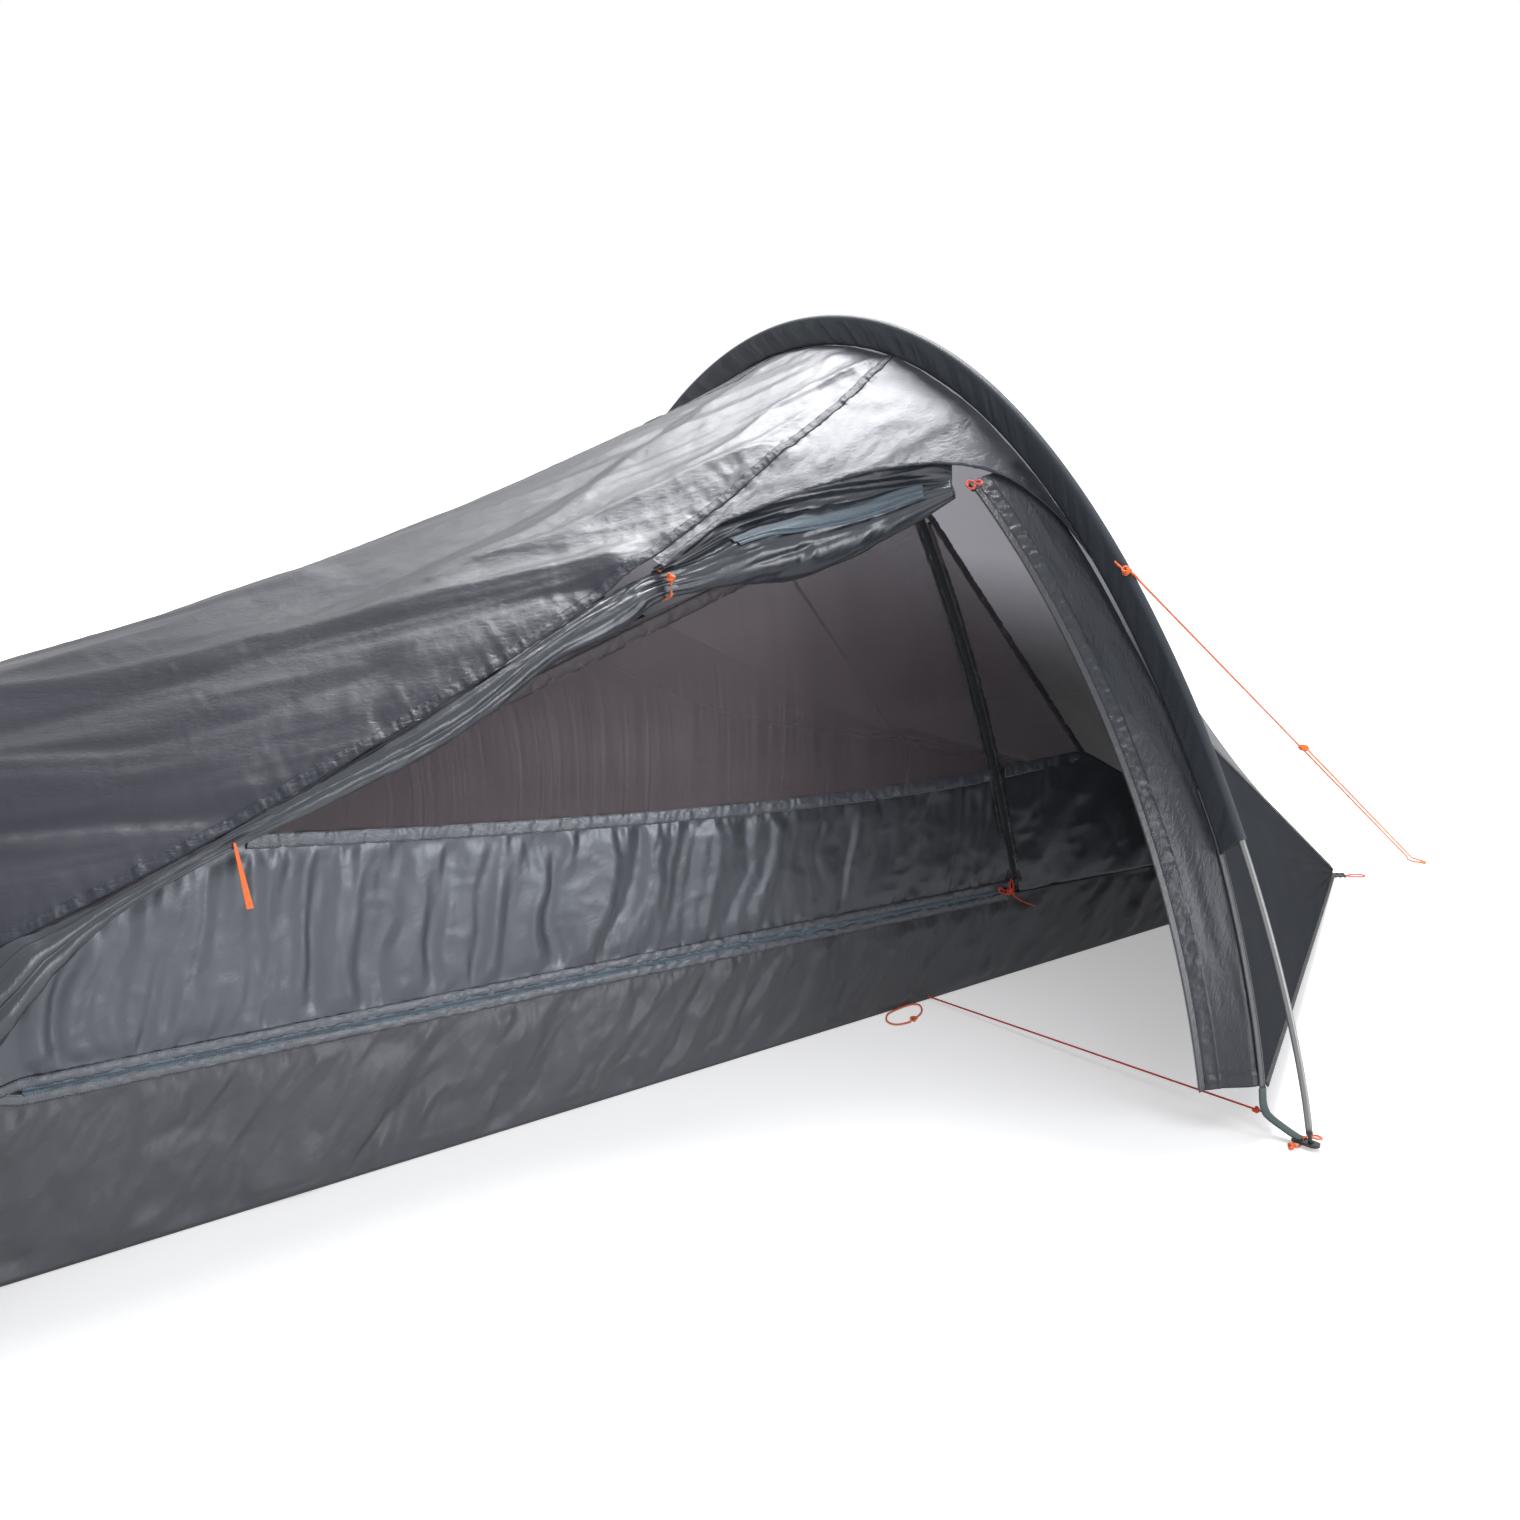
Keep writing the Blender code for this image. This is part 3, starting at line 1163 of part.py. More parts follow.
def make_head_corners():
    """A ladder buckle on each head corner, and the near corner's peg loop."""
    half_wide, half_long, bar = 0.009, 0.010, 0.0035
    outline = [(-half_long, -half_wide), (half_long, -half_wide)]
    outline += [(half_long, half_wide), (-half_long, half_wide)]
    slots = []
    for x0, x1 in ((-half_long + bar, -bar / 2), (bar / 2, half_long - bar)):
        y0, y1 = -half_wide + bar, half_wide - bar
        slots.append([(x0, y0), (x1, y0), (x1, y1), (x0, y1)])
    thick = 0.003
    from_corner = 1.4 * CLOTH
    for name, y, way in (("near", HEAD_NEAR_Y, -1.0), ("far", HEAD_FAR_Y, 1.0)):
        outward = unit((1.0, way * 0.85, 0.0))
        centre = np.array((HEAD_REACH, y, thick / 2 + WEBBING_THICKNESS))
        centre += (half_long + from_corner) * outward
        plate = frame_matrix(centre, outward, np.cross((0, 0, 1), outward), (0, 0, 1))
        flat_piece(f"head_{name}_buckle", [outline, *slots], thick, plate, BLACK_PLASTIC)
    outward = unit((1.0, -0.85, 0.0))
    reach = 2 * half_long + from_corner + LOOP_CORD_DIAMETER / 2 + TOUCH_GAP
    start = np.array((HEAD_REACH, HEAD_NEAR_Y, 0.0)) + reach * outward
    knots = [(0.0, 0.0), (0.25, 0.7), (0.6, 1.0), (0.95, 0.55), (1.0, -0.25), (0.75, -0.8), (0.3, -0.6)]
    side = np.cross((0, 0, 1), outward)
    ground_loop("head_near_loop", [start + 0.032 * a * outward + 0.009 * b * side for a, b in knots])


def ground_loop(name, knots):
    """A short closed cord lying on the ground."""
    low = LOOP_CORD_DIAMETER / 2 + TOUCH_GAP
    places = [(knot[0], knot[1], low) for knot in knots]
    tube(name, smooth_path(places, 5, cyclic=True), LOOP_CORD_DIAMETER, ORANGE_CORD, cyclic=True)


def make_inner_peg_loop():
    ground_loop("inner_peg_loop", INNER_PEG_LOOP)


clear_scene()
TENT = new_collection("one_person_tent")
CUTTERS = new_collection("cutters", hidden=True)
METAL = material("pole_alloy", (0.24, 0.245, 0.24), 0.45, 0.8)
BLACK_PLASTIC = material("black_plastic", (0.01, 0.011, 0.012), 0.5)
GREY_PLASTIC = material("grey_plastic", (0.10, 0.11, 0.12), 0.5)
SLEEVE_CLOTH = material("sleeve_cloth", (0.037, 0.05, 0.061), 0.6)
FLY_CLOTH = material("fly_cloth", (0.15, 0.145, 0.155), 0.45)
HEAD_CLOTH = material("head_cloth", (0.042, 0.048, 0.058), 0.55)
DOOR_CLOTH = material("door_cloth", (0.045, 0.058, 0.07), 0.4)
TUB_CLOTH = material("tub_cloth", (0.053, 0.058, 0.067), 0.6)
INNER_CLOTH = material("inner_cloth", (0.127, 0.127, 0.14), 0.45)
MESH_CLOTH = material("mesh_cloth", (0.10, 0.08, 0.09), 0.8)
ZIP_TAPE = material("zip_tape", (0.09, 0.14, 0.19), 0.55)
WEBBING = material("webbing", (0.06, 0.085, 0.085), 0.8)
ORANGE_CORD = material("orange_cord", (1.0, 0.17, 0.03), 0.6)
ELASTIC = material("elastic", (0.02, 0.02, 0.022), 0.7)

main_path = make_poles("main", MAIN_HOOP, MAIN_POLE_SECTION_COUNT)
shock_cord("main_pole_elastic", main_path)
make_poles("foot", FOOT_HOOP, FOOT_POLE_SECTION_COUNT)
make_sleeve("main_sleeve", MAIN_HOOP, MAIN_POLE_SECTION_COUNT, SLEEVE_END_HEIGHT)
make_sleeve("foot_sleeve", FOOT_HOOP, FOOT_POLE_SECTION_COUNT, FOOT_SLEEVE_END_HEIGHT)
make_roof_panels()
make_head_panels()
make_foot_end()
make_door_jamb()
make_fly_slider()
make_door_roll()
make_ties()
make_near_wall()
make_inner_shell()
make_inner_hanger()
make_inner_sliders()
make_pole_foot("near", far=False)
make_pole_foot("far", far=True)
make_guys()
make_cross_cord()
make_head_corners()
make_inner_peg_loop()
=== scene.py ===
"""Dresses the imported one-person tent with its cloth, seams, zips, cords, webbing and poles, and sets the stage.

Metres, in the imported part's own frame: origin below the main hoop's top, +X to the head end, +Z up.
"""

import math
from collections import namedtuple

import bmesh
import bpy
import numpy as np
from bpy.props import FloatProperty, FloatVectorProperty, IntProperty, PointerProperty
from bpy.types import Operator, Panel, PropertyGroup
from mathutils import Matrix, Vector


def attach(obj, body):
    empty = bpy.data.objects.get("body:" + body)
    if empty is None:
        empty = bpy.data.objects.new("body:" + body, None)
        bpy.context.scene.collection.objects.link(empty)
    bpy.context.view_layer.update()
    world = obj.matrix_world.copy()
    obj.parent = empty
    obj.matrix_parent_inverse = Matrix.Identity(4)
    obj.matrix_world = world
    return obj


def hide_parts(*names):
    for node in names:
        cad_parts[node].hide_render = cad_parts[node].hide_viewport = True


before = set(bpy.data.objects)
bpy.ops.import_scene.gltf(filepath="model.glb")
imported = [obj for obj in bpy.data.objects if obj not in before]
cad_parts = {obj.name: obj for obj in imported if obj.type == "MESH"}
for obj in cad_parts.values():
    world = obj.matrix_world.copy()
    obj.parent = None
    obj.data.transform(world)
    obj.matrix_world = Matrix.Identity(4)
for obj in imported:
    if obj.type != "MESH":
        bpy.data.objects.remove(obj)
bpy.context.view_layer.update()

bl_info = {
    "name": "One-person tent dressing",
    "version": (1, 0, 0),
    "blender": (4, 5, 0),
    "location": "View3D > Sidebar > Tent",
    "description": "Builds the cloth, cords and fittings of a small hoop tent round its packed frame",
    "category": "Object",
}

# Sizes shared with the part's source
CLOTH = 0.0010
TOUCH_GAP = 0.0004
HOOP_POWERS = (2 / 2.05, 2 / 1.3)
Hoop = namedtuple("Hoop", "x centre_y half_width height")
MAIN_HOOP = Hoop(0.0, 0.0, 0.831, 0.944)
FOOT_HOOP = Hoop(-1.75, 0.15, 0.486, 0.536)
HOOP_DISTANCE = 1.75
SLEEVE_DEPTH = 0.036
SLEEVE_END_HEIGHT = 0.345
FOOT_SLEEVE_END_HEIGHT = 0.08
POLE_DIAMETER = 0.0085
POLE_FOOT_HEIGHT = 0.020
FLY_SAG = 0.080
FLY_CORNER_TUCK = 0.030
HEM_HEIGHTS = (0.055, 0.012)
PANEL_START = 0.0030
BROW_LENGTH = 0.475
BROW_BAND_ANGLE = 0.027
CREASE_ANGLE = 0.743
HEAD_REACH = 1.0
HEAD_NEAR_Y = -0.186
HEAD_FAR_Y = 0.55
HEAD_CORNER_HEIGHT = 0.014
DOOR_EDGE = ((-0.070, -0.333, 0.750), (-0.079, -0.592, 0.447), (-0.060, -0.722, 0.055))
JAMB_TOP_RISE = 0.025
JAMB_UNDERLAP = 0.0055
DOOR_ROLL = (
    (-0.092, -0.318, 0.738, 0.009), (-0.125, -0.275, 0.719, 0.022), (-0.190, -0.240, 0.692, 0.034),
    (-0.270, -0.222, 0.674, 0.038), (-0.360, -0.212, 0.662, 0.029), (-0.425, -0.208, 0.648, 0.019),
    (-0.472, -0.205, 0.640, 0.015), (-0.530, -0.208, 0.624, 0.015), (-0.633, -0.217, 0.587, 0.013),
    (-0.742, -0.225, 0.538, 0.018), (-0.844, -0.231, 0.499, 0.017), (-0.930, -0.235, 0.470, 0.014),
    (-1.048, -0.238, 0.435, 0.008), (-1.132, -0.239, 0.407, 0.008), (-1.185, -0.240, 0.388, 0.010),
    (-1.237, -0.240, 0.364, 0.018), (-1.290, -0.243, 0.333, 0.029), (-1.450, -0.270, 0.213, 0.040),
    (-1.680, -0.325, 0.050, 0.022),
)
FRONT_TIE = (-0.472, -0.205, 0.640, 0.015)
BACK_TIE = (-1.048, -0.238, 0.435, 0.008)
INNER_FOOT_X = -1.50
INNER_HEAD_X = 0.65
INNER_NEAR_Y = -0.175
FAR_Y_VALUES = (0.42, 0.60, 0.50)
FAR_TOP_VALUES = (0.22, 0.40, 0.20)
FLOOR_THICKNESS = 0.0012
INNER_PEAK = (-0.015, 0.72)
INNER_FOOT_HEIGHT = 0.28
INNER_HEAD_HEIGHT = 0.16
SHOULDER_X = 0.34
MESH_SEAM_HEIGHT = 0.318
MESH_SEAM_RISE = 0.105
MESH_SEAM_SPAN = (0.13, -1.01)
ZIP_WIDTH = 0.012
ZIP_HEAD = (0.192, 0.131)
ZIP_FOOT = (-1.257, 0.200)
UPRIGHT_ZIP = ((0.205, 0.118), (0.112, 0.422), (-0.010, 0.690))
TUB_HEAD_HEIGHT = 0.100
LOOP_CORD = 0.0025
GUY_CORD = 0.0030
SLEEVE_RADIUS = POLE_DIAMETER / 2 + 0.0007 + CLOTH
FOOT_PANEL_REACH = 0.19
FOOT_HEM_HALF_WIDTH = 0.36
DOOR_ZIP_WIDTH = 0.010
SLIDER_PLATE = 0.0016
ZIP_FACE_Y = INNER_NEAR_Y - 0.0008
ZIP_EDGE = ZIP_WIDTH / 2 + TOUCH_GAP
GROUND = FLOOR_THICKNESS + TOUCH_GAP
PIN_HEIGHT = 0.004 + 0.0035 / 2
EYELET_HOLE = 0.0110
EYELET_TOP = 0.0075
GUY_ANGLE = 0.90
GUY_PEG = (1.180, -0.228, GUY_CORD / 2 + TOUCH_GAP)

# Sizes of the dressing
SHEET = 0.0006
BAND_COLUMNS = 9
STITCH_COLUMNS = (1, 7)
STITCH = (0.0013, 0.0004, 0.00035)
DOOR_EDGE_LENGTH = 0.79
ROLL_STEPS = 26
ROLL_SIDES = 72
OUT = np.array((0.0, -1.0, 0.0))
WEAVE = 1600.0
RIPSTOP = 0.0055
WHITE = (1.0, 1.0, 1.0, 1.0)
WHITE_RAYS = ("Is Camera Ray", "Is Glossy Ray", "Is Transmission Ray")

# Folds of the roof as the cloth hangs: height, reach below and above, then distance behind the hoop and angle
ROOF_FOLDS = (
    (0.0110, 0.045, 0.028, ((0.494, 1.249), (0.533, 1.266), (0.610, 1.293), (0.701, 1.321), (0.800, 1.348),
                            (0.913, 1.391), (1.010, 1.416), (1.103, 1.443), (1.161, 1.458), (1.680, 1.560))),
    (0.0090, 0.040, 0.060, ((0.760, 1.590), (0.866, 1.583), (0.932, 1.551), (1.053, 1.545), (1.146, 1.528),
                            (1.700, 1.640))),
    (0.0080, 0.030, 0.022, ((0.235, 1.357), (0.261, 1.369), (0.327, 1.384), (0.393, 1.382), (0.472, 1.378),
                            (0.548, 1.369), (0.643, 1.386), (0.713, 1.372), (0.800, 1.361))),
    (0.0080, 0.045, 0.045, ((0.015, 1.600), (0.086, 1.621), (0.185, 1.585), (0.284, 1.543), (0.362, 1.530),
                            (0.467, 1.454), (0.558, 1.418), (0.655, 1.403), (0.763, 1.390))),
    (0.0045, 0.016, 0.012, ((0.147, 1.403), (0.193, 1.395), (0.249, 1.384), (0.290, 1.384))),
    (0.0050, 0.018, 0.014, ((0.040, 1.447), (0.114, 1.465), (0.170, 1.458), (0.253, 1.422), (0.339, 1.403))),
    (-0.0080, 0.040, 0.040, ((0.540, 1.214), (0.630, 1.247), (0.705, 1.274), (0.793, 1.302), (0.876, 1.330),
                             (0.979, 1.345), (1.089, 1.345), (1.250, 1.340), (1.600, 1.380))),
    (-0.0080, 0.045, 0.040, ((0.065, 1.700), (0.185, 1.640), (0.344, 1.560), (0.490, 1.500), (0.624, 1.470),
                             (0.752, 1.440), (0.851, 1.430), (0.971, 1.450), (1.200, 1.480))),
    (-0.0120, 0.014, 0.030, ((1.040, 1.030), (1.103, 1.052), (1.146, 1.063), (1.194, 1.080), (1.237, 1.097),
                             (1.500, 1.180))),
    (-0.0060, 0.030, 0.030, ((0.802, 1.205), (0.884, 1.200), (0.961, 1.198), (1.047, 1.200), (1.124, 1.217),
                             (1.204, 1.262), (1.500, 1.300))),
)


def length_setting(name, description, default):
    return FloatProperty(name=name, description=description, default=default, unit="LENGTH")


def colour_setting(name, description, *default):
    return FloatVectorProperty(name=name, description=description, subtype="COLOR", size=3, default=default)


class TentShape(PropertyGroup):
    """How deep the cloth folds and how the sewing is spaced."""

    fold_scale: FloatProperty(name="Folds", description="Height of the long folds against the drawn ones", default=1.0)
    gather_height: length_setting("Gathers", "Height of the short puckers at a seam", 0.0010)
    crumple_height: length_setting("Crumple", "Height of the creases in slack cloth", 0.0022)
    stitch_length: length_setting("Stitch", "Length of one stitch and its gap", 0.0036)
    tooth_pitch: length_setting("Tooth pitch", "From one zip tooth to the next", 0.0016)
    cord_sides: IntProperty(name="Cord sides", description="Faces round a cord", default=10)


class TentColours(PropertyGroup):
    """Colours of the cloths and fittings."""

    outer: colour_setting("Outer tent", "Roof cloth", 0.033, 0.036, 0.048)
    sleeve: colour_setting("Sleeve", "Pole sleeve", 0.034, 0.040, 0.050)
    head: colour_setting("Head end", "Head panels", 0.038, 0.041, 0.046)
    door: colour_setting("Door", "Inner face of the rolled door", 0.036, 0.042, 0.053)
    tub: colour_setting("Tub", "Floor and its raised edge", 0.078, 0.081, 0.092)
    panel: colour_setting("Inner panel", "Cloth of the inner tent", 0.092, 0.100, 0.117)
    net: colour_setting("Net", "Insect net", 0.135, 0.108, 0.120)
    tape: colour_setting("Zip tape", "Zip tape and coil", 0.085, 0.115, 0.142)
    webbing: colour_setting("Webbing", "Straps and tabs", 0.055, 0.078, 0.078)
    cord: colour_setting("Cord", "Guyline and loops", 1.0, 0.17, 0.03)
    pull: colour_setting("Pull cord", "Darker cord of pulls and corner loop", 0.75, 0.06, 0.02)
    alloy: colour_setting("Pole", "Anodised poles", 0.20, 0.205, 0.205)
    plastic: colour_setting("Plastic", "Moulded fittings", 0.012, 0.013, 0.014)


# Shader building


class Value:
    """A shader socket on which arithmetic adds Math nodes."""

    def __init__(self, nodes, socket):
        self.nodes, self.socket = nodes, socket

    def maths(self, operation, *others):
        return self.nodes.node("ShaderNodeMath", {"operation": operation}, dict(enumerate((self, *others))))

    def __add__(self, other):
        return self.maths("ADD", other)

    def __mul__(self, other):
        return self.maths("MULTIPLY", other)

    def __sub__(self, other):
        return self.maths("SUBTRACT", other)

    def __truediv__(self, other):
        return self.maths("DIVIDE", other)

    def __pow__(self, other):
        return self.maths("POWER", other)

    def __rsub__(self, other):
        return self.nodes.node("ShaderNodeMath", {"operation": "SUBTRACT"}, {0: other, 1: self})

    __radd__ = __add__
    __rmul__ = __mul__

    def sine(self):
        return self.maths("SINE")

    def size(self):
        return self.maths("ABSOLUTE")


class Nodes:
    """A node tree and the one method that adds a node to it."""

    def __init__(self, tree):
        self.tree = tree

    def node(self, kind, settings=None, inputs=None, output=0):
        made = self.tree.nodes.new(kind)
        for key, value in (settings or {}).items():
            if key == "stops":
                for index, (place, shade) in enumerate(value):
                    stop = made.color_ramp.elements[index] if index < 2 else made.color_ramp.elements.new(place)
                    stop.position, stop.color = place, shade
            else:
                setattr(made, key, value)
        for key, value in (inputs or {}).items():
            self.join(made.inputs[key], value)
        return Value(self, made.outputs[output])

    def join(self, socket, value):
        if isinstance(value, Value):
            self.tree.links.new(value.socket, socket)
        else:
            socket.default_value = value


class Finish(Nodes):
    """One material with its Principled shader and the nodes that vary it."""

    def __init__(self, name, **constants):
        self.material = bpy.data.materials.new(name)
        self.material.use_nodes = True
        super().__init__(self.material.node_tree)
        self.shader = self.tree.nodes["Principled BSDF"]
        for key, value in constants.items():
            self.shader.inputs[key.replace("_", " ")].default_value = value

    def feed(self, **values):
        for key, value in values.items():
            self.join(self.shader.inputs[key.replace("_", " ")], value)

    def flat(self, stretch=(1.0, 1.0, 1.0), turn=0.0):
        """The piece's own flat coordinates, in metres along and across its cloth."""
        place = self.node("ShaderNodeUVMap", {"uv_map": "cloth"})
        settings = {"vector_type": "TEXTURE"}
        return self.node("ShaderNodeMapping", settings, {0: place, 2: (0, 0, turn), 3: tuple(1 / s for s in stretch)})

    def along_across(self):
        """Metres along the cloth and across it, as two values."""
        place = self.flat()
        return [self.node("ShaderNodeSeparateXYZ", None, {0: place}, output) for output in (0, 1)]

    def place(self):
        """The object's own coordinates."""
        return self.node("ShaderNodeTexCoord", None, None, 3)

    def noise(self, place, scale=1.0, detail=2.0, roughness=0.5):
        inputs = {"Vector": place, "Scale": scale, "Detail": detail, "Roughness": roughness}
        return self.node("ShaderNodeTexNoise", None, inputs)

    def mix(self, share, first, second):
        return self.node("ShaderNodeMix", {"data_type": "RGBA"}, {0: share, 6: first, 7: second}, 2)

    def tinted(self, share, colour, low, high):
        """The colour, from darkened by low to lightened by high as the share grows."""
        return self.mix(share, shade(colour, low), shade(colour, high))

    def bump(self, height, strength, distance):
        return self.node("ShaderNodeBump", None, {"Strength": strength, "Distance": distance, "Height": height})

    def glow_through(self, colour, share):
        """Cloth that lets some light through."""
        through = self.node("ShaderNodeBsdfTranslucent", None, {"Color": (*colour, 1.0)})
        solid = Value(self, self.shader.outputs[0])
        both = self.node("ShaderNodeMixShader", None, {0: share, 1: solid, 2: through})
        self.tree.links.new(both.socket, self.tree.nodes["Material Output"].inputs["Surface"])


def shade(colour, factor):
    return (*(min(1.0, c * factor) for c in colour), 1.0)


def cloth_finish(name, colour, roughness=0.45, metallic=0.0, crinkle=0.5, through=0.0, streak=1.0, specular=0.5,
                 glow=(0.6, 0.58, 0.62), lay=(45.0, 110.0), painted_shade_fade=0.0):
    """Coated nylon: thread by thread weave, small crinkles, and shade and gloss that vary over the cloth.

    Through is the share of light that it lets pass, glow the colour of that light, and lay the number of long creases
    in a metre along and across. The last setting makes the light that passes grow with height: painted shade that
    darkens the cloth lower down.
    """
    finish = Finish(name, Metallic=metallic, Specular_IOR_Level=specular)
    broad = finish.noise(finish.flat((7.0, 7.0, 7.0)), 1.0, 3.0)
    grain = finish.noise(finish.flat((WEAVE * streak, WEAVE, 1.0)), 1.0, 1.0)
    long_crease = finish.noise(finish.flat((*lay, 1.0), 0.5), 1.0, 3.0, 0.6)
    small_crease = finish.noise(finish.flat((120.0, 120.0, 1.0)), 1.0, 3.0, 0.6)
    crease = (long_crease - 0.5).size() * -2.4 + small_crease * 0.5
    along, across = ((way * (2 * math.pi / RIPSTOP)).sine() ** 40.0 for way in finish.along_across())
    tint = finish.mix(grain * 0.35, finish.tinted(broad, colour, 0.80, 1.20), shade(colour, 0.72))
    finish.feed(Base_Color=tint, Roughness=broad * 0.10 + grain * 0.06 + (roughness - 0.08))
    height = crease * crinkle + grain * 0.10 + (along + across) * 0.03
    finish.feed(Normal=finish.bump(height, 0.55, 0.0016))
    # Painted shade: the share of light that passes shrinks lower down, so the lower cloth looks shaded.
    if painted_shade_fade:
        above = finish.node("ShaderNodeSeparateXYZ", None, {0: finish.place()}, 2) - 0.28
        through = (above * painted_shade_fade).maths("MAXIMUM", 0.03).maths("MINIMUM", through)
    if through:
        finish.glow_through(glow, through)
    return finish.material


def net_finish(name, colour):
    """Fine insect net, half open, with the threads lying across."""
    finish = Finish(name, Roughness=0.7, Sheen_Weight=0.15, Sheen_Roughness=0.5)
    threads = finish.noise(finish.flat((260.0, 5.0, 1.0)), 1.0, 0.0)
    slack = finish.noise(finish.flat((2.0, 9.0, 1.0)))
    finish.feed(Base_Color=finish.tinted(threads * 0.4 + slack * 0.6, colour, 0.75, 1.3))
    finish.feed(Alpha=threads * 0.16 + slack * 0.16 + 0.36)
    finish.feed(Normal=finish.bump(threads, 0.05, 0.0002))
    return finish.material


def ribbed_finish(name, colour, pitch, roughness=0.75, strength=0.8):
    """Woven tape or webbing with ribs across its length."""
    finish = Finish(name, Roughness=roughness, Sheen_Weight=0.1, Sheen_Roughness=0.4)
    along, across = finish.along_across()
    ribs = (along * (2 * math.pi / pitch)).sine() * 0.5 + 0.5
    lanes = (across * (2 * math.pi / (pitch * 2.2))).sine() * 0.5 + 0.5
    fuzz = finish.noise(finish.flat((900.0, 900.0, 1.0)))
    finish.feed(Base_Color=finish.tinted(ribs * 0.6 + fuzz * 0.4, colour, 0.62, 1.25))
    finish.feed(Normal=finish.bump(ribs * 0.7 + lanes * 0.3 + fuzz * 0.3, strength, 0.0005))
    return finish.material


def braid_finish(name, colour):
    """Braided cord: strands that cross in two directions, with a little fluff."""
    finish = Finish(name, Roughness=0.62, Sheen_Weight=0.2, Sheen_Roughness=0.5)
    along, around = finish.along_across()
    one = (along * 2600.0 + around * 2600.0).sine()
    two = (along * 2600.0 - around * 2600.0).sine()
    strands = one * two * 0.5 + 0.5
    fluff = finish.noise(finish.flat((1500.0, 1500.0, 1.0)))
    finish.feed(Base_Color=finish.tinted(strands * 0.7 + fluff * 0.3, colour, 0.62, 1.08))
    finish.feed(Normal=finish.bump(strands + fluff * 0.4, 0.7, 0.0004))
    return finish.material


def alloy_finish(name, colour):
    """Matte anodised tube with fine lines drawn lengthwise and rubbed patches."""
    finish = Finish(name, Metallic=0.85)
    lines = finish.noise(finish.flat((9.0, 3500.0, 1.0)), 1.0, 3.0)
    rubbed = finish.noise(finish.flat((60.0, 200.0, 1.0)), 1.0, 3.0)
    finish.feed(Base_Color=finish.tinted(lines * 0.6 + rubbed * 0.4, colour, 0.7, 1.2))
    finish.feed(Roughness=lines * 0.12 + rubbed * 0.12 + 0.30)
    finish.feed(Normal=finish.bump(lines, 0.25, 0.0003))
    return finish.material


def plastic_finish(name, colour, roughness=0.42):
    """Moulded plastic with a fine spark texture, duller where it is handled."""
    finish = Finish(name)
    place = finish.place()
    spark = finish.noise(place, 1800.0)
    worn = finish.noise(place, 120.0, 3.0)
    finish.feed(Base_Color=finish.tinted(worn, colour, 0.7, 1.6))
    finish.feed(Roughness=worn * 0.25 + spark * 0.08 + (roughness - 0.14))
    finish.feed(Normal=finish.bump(spark + worn * 0.6, 0.3, 0.0003))
    return finish.material


def floor_finish(name):
    """Pale studio floor that shows white to the camera, mirrors and glass, and keeps the tent's shadow."""
    finish = Finish(name, Roughness=0.85, Emission_Strength=1.0)
    place = finish.place()
    marks = finish.noise(place, 3.0, 5.0, 0.6)
    finish.feed(Base_Color=finish.mix(marks, (0.80, 0.80, 0.81, 1.0), (0.86, 0.86, 0.865, 1.0)))
    camera, glossy, passing = (finish.node("ShaderNodeLightPath", output=kind) for kind in WHITE_RAYS)
    away = finish.node("ShaderNodeVectorMath", {"operation": "LENGTH"}, {0: place}, 1)
    far = finish.node("ShaderNodeMapRange", None, {"Value": away, "From Min": 1.6, "From Max": 3.6, "To Min": 0.36})
    finish.feed(Emission_Color=finish.mix((camera + glossy + passing) * far, (0.0, 0.0, 0.0, 1.0), WHITE))
    return finish.material


# Noise and curves


def noise(x, y, seed=0):
    """Smooth noise from -1 to 1."""
    x, y = np.broadcast_arrays(np.asarray(x, float), np.asarray(y, float))
    column, row = np.floor(x).astype(np.int64), np.floor(y).astype(np.int64)
    fx, fy = x - column, y - row
    fx, fy = fx**3 * (fx * (fx * 6 - 15) + 10), fy**3 * (fy * (fy * 6 - 15) + 10)

    def corner(i, j):
        mixed = (i * 374761393 + j * 668265263 + seed * 1442695041) & 0xFFFFFFFF
        mixed = ((mixed ^ (mixed >> 13)) * 1274126177) & 0xFFFFFFFF
        return ((mixed ^ (mixed >> 16)) & 0xFFFFFF) / 0x7FFFFF - 1.0

    low = corner(column, row) * (1 - fx) + corner(column + 1, row) * fx
    high = corner(column, row + 1) * (1 - fx) + corner(column + 1, row + 1) * fx
    return low * (1 - fy) + high * fy


def layered(x, y, seed=0):
    """Smooth noise in three sizes, each half as large and half as high as the one before."""
    total, weight = 0.0, 1.0
    for layer in range(3):
        total = total + weight * noise(x * 2**layer, y * 2**layer, seed + 17 * layer)
        weight *= 0.5
    return total / 1.75


def faceted(x, y, seed=0):
    """Noise of flat facets that meet in creases, as in crumpled nylon."""
    total, weight = 0.0, 1.0
    x, y = np.broadcast_arrays(np.asarray(x, float), np.asarray(y, float))
    for layer in range(2):
        size = 2.1**layer
        u = size * (x + 0.5 * y) + 0.45 * noise(size * x * 0.8, size * y * 0.8, seed + 5)
        v = size * 0.87 * y + 0.45 * noise(size * x * 0.8, size * y * 0.8, seed + 9)
        column, row = np.floor(u), np.floor(v)
        fu, fv = u - column, v - row
        near, far = noise(column, row, seed + 13 * layer), noise(column + 1, row + 1, seed + 13 * layer)
        over, up = noise(column + 1, row, seed + 13 * layer), noise(column, row + 1, seed + 13 * layer)
        low = near + fu * (over - near) + fv * (far - over)
        high = near + fv * (up - near) + fu * (far - up)
        total = total + weight * np.where(fu > fv, low, high)
        weight *= 0.5
    return total / 1.5


